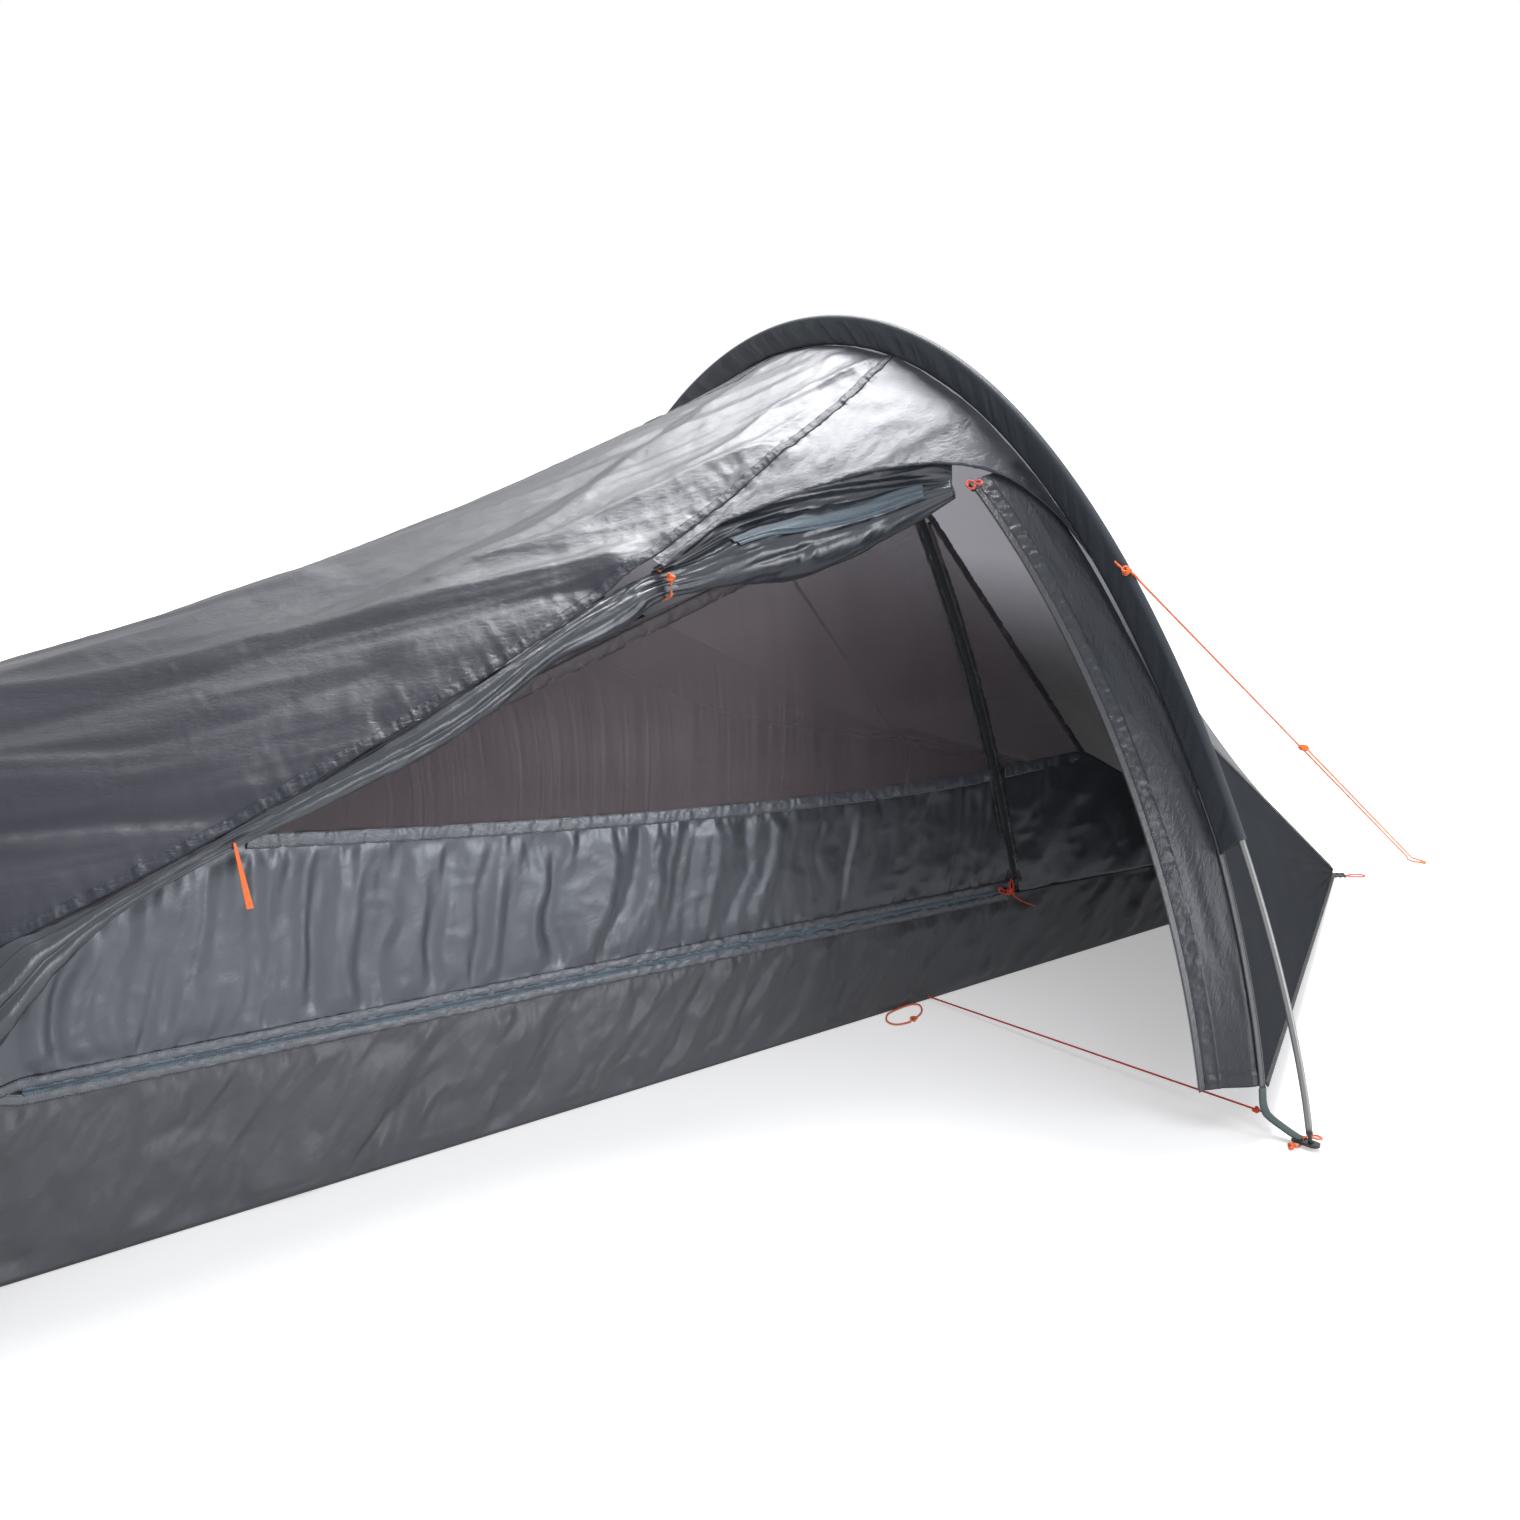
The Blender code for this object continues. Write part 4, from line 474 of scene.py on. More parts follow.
def creased(x, y, seed=0, layers=3):
    """Noise with sharp crests, as in cloth that was folded small."""
    total, weight = 0.0, 1.0
    bend_x = x + 0.5 * noise(x * 0.7, y * 0.7, seed + 5)
    bend_y = y + 0.5 * noise(x * 0.7, y * 0.7, seed + 9)
    for layer in range(layers):
        crest = 1 - 2 * np.abs(noise(bend_x * 1.9**layer, bend_y * 1.9**layer, seed + 31 * layer))
        total = total + weight * crest
        weight *= 0.5
    return total / 1.75


def gather(along, away, height, seed=0, reach=0.010):
    """Puckers where cloth is sewn to something shorter: fine at the seam, longer and softer away from it."""
    away = np.abs(away)
    fine = noise(along / 0.0042, away / 0.02, seed) * np.exp(-away / reach)
    middle = noise(along / 0.011, away / 0.05, seed + 3) * np.exp(-away / (3.0 * reach))
    return height * (fine + 1.3 * middle)


def ease(value):
    value = np.clip(value, 0.0, 1.0)
    return value * value * (3 - 2 * value)


def unit(vector):
    vector = np.asarray(vector, float)
    return vector / np.maximum(np.linalg.norm(vector, axis=-1, keepdims=True), 1e-12)


def smooth_path(knots, per_span, cyclic=False):
    """Points on one smooth curve through the knots, as in the part's source."""
    knots = np.asarray(knots, float)
    count = len(knots)
    points = []
    for i in range(count if cyclic else count - 1):
        if cyclic:
            a, b, c, d = (knots[(i + k) % count] for k in (-1, 0, 1, 2))
        else:
            b, c = knots[i], knots[i + 1]
            a = knots[i - 1] if i else 2 * b - c
            d = knots[i + 2] if i + 2 < count else 2 * c - b
        for step in range(per_span):
            s = step / per_span
            square = (2 * a - 5 * b + 4 * c - d) * s**2
            cube = (3 * b - a - 3 * c + d) * s**3
            points.append(0.5 * (2 * b + (c - a) * s + square + cube))
    if not cyclic:
        points.append(knots[-1])
    return np.array(points)


def run_along(path):
    """How far along the path each of its points lies."""
    path = np.asarray(path, float)
    return np.concatenate([[0.0], np.cumsum(np.linalg.norm(np.diff(path, axis=0), axis=1))])


def at_runs(wanted, run, field):
    """A path's values at these distances along it."""
    return np.stack([np.interp(wanted, run, field[:, k]) for k in range(field.shape[1])], axis=1)


def evenly(path, count):
    """The path as a number of evenly spread points."""
    path = np.asarray(path, float)
    run = run_along(path)
    return at_runs(np.linspace(0.0, run[-1], count), run, path)


def spaced(path, spacing):
    """The path with its points a set distance apart."""
    return evenly(path, max(2, int(round(run_along(path)[-1] / spacing)) + 1))


def frames_of(path):
    """Forward, side and up along a path, turning as little as they can."""
    forward = unit(np.gradient(path, axis=0))
    seed = np.array((0.0, 0.0, 1.0)) if abs(forward[0][2]) < 0.9 else np.array((1.0, 0.0, 0.0))
    side = np.empty_like(forward)
    side[0] = unit(np.cross(seed, forward[0]))
    for i in range(1, len(path)):
        leaning = side[i - 1] - forward[i] * (side[i - 1] @ forward[i])
        side[i] = unit(leaning)
    return forward, side, np.cross(forward, side)


def points_of(*values):
    """Points from numbers or arrays of their x, y and z, or of x and height."""
    return np.stack(np.broadcast_arrays(*values), axis=-1)


def between(first, last, shares):
    """Rows of points from each point of one line to its partner on another."""
    shares = shares[None, :, None]
    return first[:, None] * (1 - shares) + last[:, None] * shares


def over_grid(along, across):
    return np.broadcast_arrays(along[:, None], across[None, :])


def inside(value, start, stop=None, end=1.0):
    """Grows from 0 to 1 over the start of a scale and falls back to 0 over its stop."""
    return ease(value / start) * ease((end - value) / (stop or start))


def add_layers(lift, layers):
    """Adds relief to a lift: where it lies, its height, the kind of noise, and that noise's places and seed."""
    for where, height, kind, *places in layers:
        lift = lift + where * height * kind(*places)
    return lift


# Meshes


def put_mesh(name, points, faces, finish, flat=None):
    """A smooth mesh object in the part's frame; flat holds metres along and across for each point."""
    points = np.asarray(points, float).reshape(-1, 3)
    faces = np.asarray(faces)
    mesh = bpy.data.meshes.new(name)
    mesh.vertices.add(len(points))
    mesh.vertices.foreach_set("co", points.astype(np.float32).ravel())
    sides = faces.shape[1]
    mesh.loops.add(faces.size)
    mesh.loops.foreach_set("vertex_index", faces.astype(np.int32).ravel())
    mesh.polygons.add(len(faces))
    mesh.polygons.foreach_set("loop_start", np.arange(0, faces.size, sides, dtype=np.int32))
    mesh.polygons.foreach_set("use_smooth", np.ones(len(faces), bool))
    mesh.update(calc_edges=True)
    if flat is not None:
        layer = mesh.uv_layers.new(name="cloth")
        layer.data.foreach_set("uv", np.asarray(flat, np.float32).reshape(-1, 2)[faces.ravel()].ravel())
    mesh.validate()
    mesh.materials.append(finish)
    obj = bpy.data.objects.new(name, mesh)
    bpy.context.scene.collection.objects.link(obj)
    return obj


def flat_lengths(rows):
    """Metres along and across a grid of points, measured on the grid."""
    along = np.cumsum(np.pad(np.linalg.norm(np.diff(rows, axis=0), axis=2), ((1, 0), (0, 0))), axis=0)
    across = np.cumsum(np.pad(np.linalg.norm(np.diff(rows, axis=1), axis=2), ((0, 0), (1, 0))), axis=1)
    return np.stack([along, across], axis=2)


def grid_faces(count, width, closed=False):
    i = np.arange(count - 1)[:, None] * width
    j = np.arange(width if closed else width - 1)[None, :]
    k = (j + 1) % width
    return np.stack([i + j, i + width + j, i + width + k, i + k], axis=-1).reshape(-1, 4)


def normals_of(rows, outward):
    """Unit normals of a grid, turned to the side of the outward hint."""
    cross = np.cross(np.gradient(rows, axis=0), np.gradient(rows, axis=1))
    cross = unit(cross)
    middle = cross[cross.shape[0] // 2, cross.shape[1] // 2]
    return cross if middle @ np.asarray(outward, float) > 0 else -cross


def thicken(obj, thickness, offset=-1.0):
    solid = obj.modifiers.new("Thickness", "SOLIDIFY")
    solid.thickness, solid.offset = thickness, offset


def grid_piece(name, rows, outward, finish, lift=None, thickness=SHEET, flat=None):
    """A sheet from a grid of points, raised by lift along its normals and made as thick as cloth."""
    rows = np.asarray(rows, float)
    normals = normals_of(rows, outward)
    flat = flat_lengths(rows) if flat is None else flat
    raised = rows if lift is None else rows + normals * np.asarray(lift)[..., None]
    faces = grid_faces(rows.shape[0], rows.shape[1])
    middle = faces[len(faces) // 2]
    first = raised.reshape(-1, 3)[middle]
    turn = np.cross(first[1] - first[0], first[3] - first[0])
    if turn @ normals.reshape(-1, 3)[middle[0]] < 0:
        faces = faces[:, ::-1]
    obj = put_mesh(name, raised, faces, finish, flat)
    if thickness:
        thicken(obj, thickness)
    return obj


def declare_sheet(rows):
    rows = np.asarray(rows, float)


def sheet_piece(name, rows, outward, finish, lift, replaces, thickness=SHEET):
    """A sheet of cloth that rides on the tent."""
    piece = grid_piece(name, rows, outward, finish, lift, thickness)
    carried(piece, replaces=replaces)
    declare_sheet(rows)


def carried(obj, body="tent", replaces=()):
    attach(obj, body)
    if replaces:
        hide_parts(*replaces)
    return obj


def tube_points(path, radius, sides):
    """Rings round a path; radius is one number or one for each point."""
    path = np.asarray(path, float)
    _, side, up = frames_of(path)
    turns = 2 * math.pi * np.arange(sides) / sides
    radius = np.broadcast_to(np.asarray(radius, float), (len(path),))
    ring = np.cos(turns)[None, :, None] * side[:, None] + np.sin(turns)[None, :, None] * up[:, None]
    return path[:, None] + ring * radius[:, None, None]


def tube_piece(name, path, radius, finish, sides=10, rounded=True):
    """A closed round bar along a path, with metres along and round it for its finish."""
    path = np.asarray(path, float)
    radius = np.broadcast_to(np.asarray(radius, float), (len(path),)).copy()
    if rounded:
        forward, _, _ = frames_of(path)
        caps = []
        for index, way in ((0, -1.0), (-1, 1.0)):
            caps.append([(path[index] + way * forward[index] * radius[index] * k, radius[index] * r)
                         for k, r in ((0.45, 0.85), (0.75, 0.45))])
        path = np.array([caps[0][1][0], caps[0][0][0], *path, caps[1][0][0], caps[1][1][0]])
        radius = np.array([caps[0][1][1], caps[0][0][1], *radius, caps[1][0][1], caps[1][1][1]])
    rings = tube_points(path, radius, sides)
    along = run_along(path)
    around = 2 * math.pi * float(radius.max()) * np.arange(sides) / sides
    flat = np.stack(np.broadcast_arrays(along[:, None], around[None, :]), axis=2)
    obj = put_mesh(name, rings, grid_faces(len(path), sides, closed=True), finish, flat)
    cap_ends(obj, len(path), sides)
    return obj


def cap_ends(obj, count, sides):
    """Closes the two ends of a tube's mesh."""
    mesh = bmesh.new()
    mesh.from_mesh(obj.data)
    mesh.verts.ensure_lookup_table()
    for ring in (range(sides), range((count - 1) * sides, count * sides)):
        mesh.faces.new([mesh.verts[i] for i in ring])
    bmesh.ops.recalc_face_normals(mesh, faces=mesh.faces)
    mesh.to_mesh(obj.data)
    mesh.free()


def beads(name, places, long_way, wide_way, up_way, finish, sizes, slot):
    """Many small pointed beads in one mesh: stitches along a seam or teeth along a zip."""
    places = np.asarray(places, float)
    long, wide, up = (way * size for way, size in zip((long_way, wide_way, up_way), sizes))
    points = np.stack([places + corner for corner in (long, wide, -long, -wide, up, -up)], axis=1)
    pattern = np.array([(0, 1, 4), (1, 2, 4), (2, 3, 4), (3, 0, 4), (1, 0, 5), (2, 1, 5), (3, 2, 5), (0, 3, 5)])
    faces = (np.arange(len(places))[:, None, None] * 6 + pattern[None]).reshape(-1, 3)
    flat = [(0.0, 0.0), (0.001, 0.0), (0.002, 0.0), (0.001, 0.001), (0.0, 0.001), (0.002, 0.002)]
    carried(put_mesh(name, points, faces, finish, np.tile(flat, (len(places), 1))))


class Sewing:
    """Stitch rows that are gathered, then made as one mesh."""

    def __init__(self, pitch):
        self.pitch = pitch
        self.rows = []

    def row(self, path, normals):
        path = np.asarray(path, float)
        run = run_along(path)
        wanted = np.arange(self.pitch / 2, run[-1], self.pitch)
        if len(wanted) < 2:
            return
        normals = np.broadcast_to(np.asarray(normals, float), path.shape)
        places, forward, up = (at_runs(wanted, run, field) for field in (path, np.gradient(path, axis=0), normals))
        forward, up = unit(forward), unit(up)
        self.rows.append((places, forward, unit(np.cross(forward, up)), up))

    def make(self, name, finishes, slot, sizes=STITCH):
        beads(name, *(np.concatenate(part) for part in zip(*self.rows)), finishes["thread"], sizes, slot)


# Outer tent


def hoop_points(hoop, angle, inset=0.0):
    angle = np.asarray(angle, float)
    across = np.abs(np.cos(angle)) ** HOOP_POWERS[0] * np.sign(-np.cos(angle))
    up = np.maximum(np.sin(angle), 0.0) ** HOOP_POWERS[1]
    return points_of(hoop.x, hoop.centre_y + (hoop.half_width - inset) * across, (hoop.height - inset) * up)


def angle_at_height(hoop, height, inset=0.0):
    return np.arcsin((np.asarray(height) / (hoop.height - inset)) ** (1 / HOOP_POWERS[1]))


def pole_and_seam(hoop, angle):
    """A hoop's middle line and its sleeve's seam line, at these angles."""
    return hoop_points(hoop, angle), hoop_points(hoop, angle, SLEEVE_DEPTH)


def fly_points(behind, angle, inset=0.0):
    """The outer tent's plain cloth, as in the part's source, on its outer face."""
    behind, angle = np.broadcast_arrays(np.asarray(behind, float), np.asarray(angle, float))
    share = behind / HOOP_DISTANCE
    depth = SLEEVE_DEPTH + inset
    point = hoop_points(MAIN_HOOP, angle, depth) * (1 - share)[..., None]
    point = point + hoop_points(FOOT_HOOP, angle, depth) * share[..., None]
    height = MAIN_HOOP.height * (1 - share) + FOOT_HOOP.height * share - depth
    sag = 4 * share * (1 - share) * FLY_SAG * point[..., 2] / height
    tuck = FLY_CORNER_TUCK * np.maximum(0.0, 1 - point[..., 2] / SLEEVE_END_HEIGHT) * (1 - np.maximum(share, 0.0))
    point[..., 1] += np.copysign(tuck, np.cos(angle))
    point[..., 2] -= sag
    return point


def seam_angle(behind):
    return 1.43 - 0.42 * behind


def brow_hem_angle(behind):
    drop = 0.20 * np.exp(-behind / 0.10) + 0.15 * np.exp(-behind / 0.012)
    return np.minimum(1.25 - drop, seam_angle(behind) - BROW_BAND_ANGLE)


def low_edge_angle(behind):
    """The cloth's lower edge: the brow's hem beside the door, then the seam that carries the rolled door."""
    return np.where(behind <= BROW_LENGTH, brow_hem_angle(behind), seam_angle(behind))


def far_hem_angle(behind):
    share = behind / HOOP_DISTANCE
    height = HEM_HEIGHTS[0] * (1 - share) + HEM_HEIGHTS[1] * share
    hoop = MAIN_HOOP.height * (1 - share) + FOOT_HOOP.height * share - SLEEVE_DEPTH
    return math.pi - np.arcsin((height / hoop) ** (1 / HOOP_POWERS[1]))


def section_radius(behind):
    share = behind / HOOP_DISTANCE
    return 0.86 * (1 - share) + 0.47 * share


def fold_profile(away, below, above):
    """A rounded ridge with a narrow crest, longer on one side."""
    reach = np.where(away < 0, below, above)
    return np.exp(-(np.sqrt(away**2 + 0.002**2) - 0.002) / reach)


def outer_lift(behind, angle, shape):
    """How far the hanging cloth stands off its plain surface."""
    radius = section_radius(behind)
    above = (angle - seam_angle(behind)) * radius
    lift = np.zeros(np.broadcast(behind, angle).shape)
    for height, low, high, route in ROOF_FOLDS:
        xs = np.array([p[0] for p in route])
        ys = np.array([(p[1] - seam_angle(p[0])) * section_radius(p[0]) for p in route])
        bent = np.interp(behind, xs, ys) + 0.004 * noise(behind / 0.09, 0.0 * behind, 7)
        ends = ease((behind - xs[0] + 0.03) / 0.06) * ease((xs[-1] + 0.06 - behind) / 0.16)
        lift = lift + shape.fold_scale * height * ends * fold_profile(above - bent, low, high)
    held = inside(behind, 0.05, 0.08, HOOP_DISTANCE)
    on_roof = ease((above + 0.01) / 0.05)
    calm = 0.35 + 0.65 * on_roof
    seam_side = np.exp(-np.maximum(above, 0.0) / 0.06) * on_roof
    brow = (1 - on_roof) * ease((BROW_LENGTH - behind) / 0.1)
    at_hoop = np.exp(-behind / 0.045) * ease(behind / 0.008)
    run, slant, slant_run = above - 0.38 * behind, above + 0.35 * behind, behind - 0.3 * above
    lift = add_layers(lift, (
        (held * calm, 0.0060, layered, run / 0.085, behind / 0.60, 11),
        (held * calm, 0.0024, creased, run / 0.050, behind / 0.32, 23),
        (held * on_roof * np.exp(-behind / 0.5), 0.0012, faceted,
         (above + 0.3 * behind) / 0.034, (behind - 0.5 * above) / 0.060, 37),
        (calm, 0.0004, creased, above / 0.018, behind / 0.030, 41, 2),
        (held * seam_side, 0.0020, faceted, (behind + 0.6 * above) / 0.030, above / 0.055, 43),
        (brow, 0.0034, layered, (above - 0.9 * behind) / 0.11, (behind + above) / 0.30, 49),
        (brow, 0.0006, creased, slant / 0.014, slant_run / 0.060, 51),
        (brow, 0.0007, faceted, slant / 0.009, slant_run / 0.034, 53),
        (at_hoop, 0.0018, noise, angle * radius / 0.030 - behind / 0.05, behind / 0.10, 61),
    ))
    lift = lift + gather(behind, above, shape.gather_height, 71, 0.011) * np.where(above < 0, 0.35, 1.0)
    far_seam = (math.pi - seam_angle(behind) - angle) * radius
    return lift + gather(behind, far_seam, shape.gather_height * 0.7, 77)


def outer_surface(behind, angle, shape, extra=0.0):
    """The dressed cloth at these places, and its outward normals."""
    behind, angle = np.broadcast_arrays(np.asarray(behind, float), np.asarray(angle, float))
    plain = fly_points(behind, angle, -CLOTH)
    step = 0.002
    along = fly_points(behind + step, angle, -CLOTH) - plain
    across = fly_points(behind, angle + step, -CLOTH) - plain
    normal = unit(np.cross(across, along))
    normal = normal * np.sign(normal[..., 2:3] * np.sin(angle)[..., None] - normal[..., 1:2] * np.cos(angle)[..., None])
    lift = outer_lift(behind, angle, shape) + extra
    return plain + normal * lift[..., None], normal


def make_outer_cloth(shape, finishes):
    """One sheet from the brow's hem over the roof to the far hem, with its sewn bands and hems."""
    foot_end = HOOP_DISTANCE - PANEL_START
    behind = np.linspace(PANEL_START, foot_end, 560)[:, None]
    low, seam, hem = low_edge_angle(behind), seam_angle(behind), far_hem_angle(behind)
    far_seam = math.pi - seam
    brow, roof, side = np.linspace(0, 1, 44)[:-1], np.linspace(0, 1, 120)[:-1] ** 1.45, np.linspace(0, 1, 46)
    angle = np.concatenate(
        [low + (seam - low) * brow, seam + (far_seam - seam) * roof, far_seam + (hem - far_seam) * side], axis=1
    )
    b = np.broadcast_to(behind, angle.shape)
    points, _ = outer_surface(b, angle, shape)
    flat = points_of(b, (angle - seam) * section_radius(b))
    cloth = grid_piece("outer_roof_cloth", points, (0, 0, 1), finishes["outer"], thickness=0.0, flat=flat)
    carried(cloth, replaces=("fly_roof", "fly_brow", "fly_far_side"))
    declare_sheet(fly_points(b, angle, -CLOTH))

    sewing = Sewing(shape.stitch_length)
    for name, reach, count, edge, start, end in (
        ("outer_seam_band", foot_end, 1100, seam_angle, 0.0006, 0.0145),
        ("outer_brow_hem", BROW_LENGTH, 260, low_edge_angle, -0.0002, 0.0085),
        ("outer_far_seam_band", foot_end, 300, lambda b: math.pi - seam_angle(b), -0.006, 0.006),
        ("outer_far_hem", foot_end, 300, far_hem_angle, -0.012, 0.0),
    ):
        make_band(shape, finishes["outer_band"], sewing, name, np.linspace(PANEL_START, reach, count), edge, start, end)
    sewing.make("outer_stitching", finishes, "fly_cloth", (0.0013, 0.00034, 0.00028))


def make_band(shape, finish, sewing, name, behind, edge, start, end):
    """A folded and sewn strip lying on the outer cloth, between two distances from an edge."""
    across = np.linspace(start, end, BAND_COLUMNS)[None, :]
    b = np.broadcast_to(behind[:, None], (len(behind), BAND_COLUMNS))
    puff = 0.0005 + 0.0009 * np.sin(np.linspace(0, math.pi, BAND_COLUMNS))[None, :]
    lift = add_layers(puff, (
        (1.0, 0.0004, noise, b / 0.0052, across / 0.007, 83),
        (1.0, 0.0003, noise, b / 0.0028, across / 0.004, 87),
    ))
    points, normal = outer_surface(b, edge(b) + across / section_radius(b), shape, lift)
    band = grid_piece(name, points, normal[len(behind) // 2, BAND_COLUMNS // 2], finish, thickness=0.0007)
    carried(band)
    for column in STITCH_COLUMNS:
        sewing.row(points[:, column] + normal[:, column] * 0.0004, normal[:, column])


def make_foot_end(shape, finishes):
    """The closing panel behind the foot hoop, hanging in soft folds to its hem."""
    low = float(angle_at_height(FOOT_HOOP, HEM_HEIGHTS[1], SLEEVE_DEPTH))
    share, down = np.linspace(0, 1, 200), np.linspace(0, 1, 60)
    top = fly_points(HOOP_DISTANCE + PANEL_START, np.linspace(low, math.pi - low, 200), -CLOTH)
    hem_y = FOOT_HOOP.centre_y + FOOT_HEM_HALF_WIDTH * (2 * share - 1)
    rows = between(top, points_of(-HOOP_DISTANCE - FOOT_PANEL_REACH - CLOTH, hem_y, 0.0066), down)
    s, d = over_grid(share * 0.95, down)
    held = inside(d, 0.08, 0.05) * inside(s, 0.05, end=0.95)
    lift = add_layers(gather(s, d * 0.5, shape.gather_height, 107) * ease(d / 0.01), (
        (held, 0.0060, layered, s / 0.09, d * 0.8, 101),
        (held, 0.0022, creased, s / 0.05, d / 0.3, 103),
    ))
    sheet_piece("outer_foot_end", rows, (-1, 0, 0.5), finishes["outer"], lift, ("fly_foot_end",))


def sleeve_rows(hoop, end_height, count):
    """The sleeve's outer face as rings: round over the pole, then both sides down to the seam."""
    turns = np.radians(np.linspace(-90, 90, 13))
    tail = SLEEVE_DEPTH - CLOTH - 2 * TOUCH_GAP
    sides = np.linspace(0, 1, 10)[1:]
    half = SLEEVE_RADIUS + (0.0022 - SLEEVE_RADIUS) * sides
    depth = np.concatenate([-SLEEVE_RADIUS * np.cos(turns), tail * sides, tail * sides[::-1]])
    across = np.concatenate([SLEEVE_RADIUS * np.sin(turns), half, -half[::-1]])
    slanted_end = end_height + 0.004 - 0.30 * np.clip(depth, 0, tail)
    low = angle_at_height(hoop, slanted_end)[None, :]
    angles = low + (math.pi - low - low) * np.linspace(0, 1, count)[:, None]
    pole, seam = pole_and_seam(hoop, angles)
    points = pole + unit(seam - pole) * depth[None, :, None]
    points[..., 0] += across[None, :]
    return points, angles, depth[None, :], across[None, :]


def make_sleeves(shape, finishes):
    """Both pole sleeves, with the slanting gathers that the curve of the pole pulls into them."""
    for name, hoop, end, count in (
        ("main_sleeve", MAIN_HOOP, SLEEVE_END_HEIGHT, 900), ("foot_sleeve", FOOT_HOOP, FOOT_SLEEVE_END_HEIGHT, 240)
    ):
        rows, angles, depth, across = sleeve_rows(hoop, end, count)
        run = angles * (hoop.height * 0.9)
        side = np.sign(across)
        slanted = run + 0.9 * np.clip(depth, 0, 1) + 0.03 * side
        strength = np.exp(-((angles - 1.75) / 0.55) ** 2) + 0.25
        free = np.clip(depth / 0.008, 0, 1) * np.clip((0.036 - depth) / 0.010, 0, 1)
        lift = add_layers(0.0, (
            (strength * free, 0.0034, creased, slanted / 0.019, side * 3.0 + run / 0.3, 131, 2),
            (free, 0.0009, layered, run / 0.06, depth / 0.02, 137),
        ))
        outward = rows - hoop_points(hoop, angles, 0.015)
        normals = normals_of(rows, outward[len(rows) // 2, rows.shape[1] // 2])
        flat = points_of(run, depth * side)
        faces = grid_faces(rows.shape[0], rows.shape[1], closed=True)
        piece = put_mesh("dressed_" + name, rows + normals * lift[..., None], faces, finishes["sleeve"], flat)
        thicken(piece, SHEET, 0.0)
        carried(piece, replaces=(name,))
        declare_sheet(np.concatenate([rows, rows[:, :1]], axis=1))
    sewing = Sewing(shape.stitch_length)
    pole, seam = pole_and_seam(MAIN_HOOP, np.linspace(0.55, math.pi - 0.55, 500))
    for depth in (0.026, 0.030):
        for side in (-1.0, 1.0):
            path = pole + unit(seam - pole) * depth
            path[:, 0] += side * (0.0062 - 0.0037 * depth / 0.034)
            sewing.row(path, (side, 0.0, 0.0))
    sewing.make("sleeve_stitching", finishes, "sleeve_cloth")


def make_head_panels(shape, finishes):
    """Near, top and far panels between the hoop and the head hem, with bound edges."""
    low = float(angle_at_height(MAIN_HOOP, HEM_HEIGHTS[0], SLEEVE_DEPTH))
    across = np.linspace(0, 1, 90)
    panels = {}
    for name, first, last, count, finish, slot, outward in (
        ("near", low, CREASE_ANGLE, 90, "head", "head_cloth", (0.3, -1.0, 0.3)),
        ("top", CREASE_ANGLE, math.pi - CREASE_ANGLE, 160, "head_top", "fly_cloth", (0.5, 0.0, 1.0)),
        ("far", math.pi - CREASE_ANGLE, math.pi - low, 90, "head", "head_cloth", (0.3, 1.0, 0.3)),
    ):
        share = np.linspace(0, 1, count)
        edge = fly_points(-PANEL_START, first + (last - first) * share, -CLOTH)
        if name == "top":
            hem_y, hem_z = HEAD_NEAR_Y + (HEAD_FAR_Y - HEAD_NEAR_Y) * share, HEAD_CORNER_HEIGHT + CLOTH
        else:
            hem_y, rise = (HEAD_NEAR_Y, share) if name == "near" else (HEAD_FAR_Y, 1 - share)
            hem_z = 0.0016 + (HEAD_CORNER_HEIGHT - 0.0012) * rise
        rows = between(edge, points_of(HEAD_REACH, hem_y, hem_z), across)
        s, a = over_grid(share, across)
        held = inside(s, 0.08) * inside(a, 0.06, 0.12)
        lift = add_layers(gather(s * 0.6, a, shape.gather_height, 161, 0.012) * inside(a, 0.01, 0.1), (
            (held, 0.0040, layered, s * 5, a * 1.6, 151),
            (held, 0.0016, creased, s * 9, a * 3.5, 157),
        ))
        sheet_piece(f"head_{name}_cloth", rows, outward, finishes[finish], lift, (f"fly_head_{name}",))
        panels[name] = rows
    for name, line in (
        ("near_low", panels["near"][0]), ("near_crease", panels["near"][-1]), ("far_low", panels["far"][-1]),
        ("far_crease", panels["far"][0]), ("top_hem", panels["top"][:, -1]),
    ):
        path = spaced(line, 0.01)[1:-1]
        path[:, 2] = np.maximum(path[:, 2], 0.0048)
        upward = (0.2, -0.6 if "near" in name else 0.6, 0.6)
        strap_piece(f"head_binding_{name}", path, upward, 0.010, 0.0016, finishes["head_binding"])


def make_hoop_seams(finishes):
    """The seam that joins the panels on both sides of a hoop, from its sleeve's end down to the hem."""
    for name, hoop, behind, heights in (
        ("main", MAIN_HOOP, 0.0, (HEM_HEIGHTS[0], 0.40)), ("foot", FOOT_HOOP, HOOP_DISTANCE, (HEM_HEIGHTS[1], 0.11))
    ):
        angles = np.linspace(*angle_at_height(hoop, heights, SLEEVE_DEPTH), 70)
        for side_name, way, turned in (("near", -1.0, angles), ("far", 1.0, math.pi - angles)):
            strap_piece(f"{name}_seam_{side_name}", fly_points(behind, turned, -0.4 * CLOTH), (0.0, way, 0.35),
                        0.0105, 0.0018, finishes["jamb_band"], bulge=0.12)


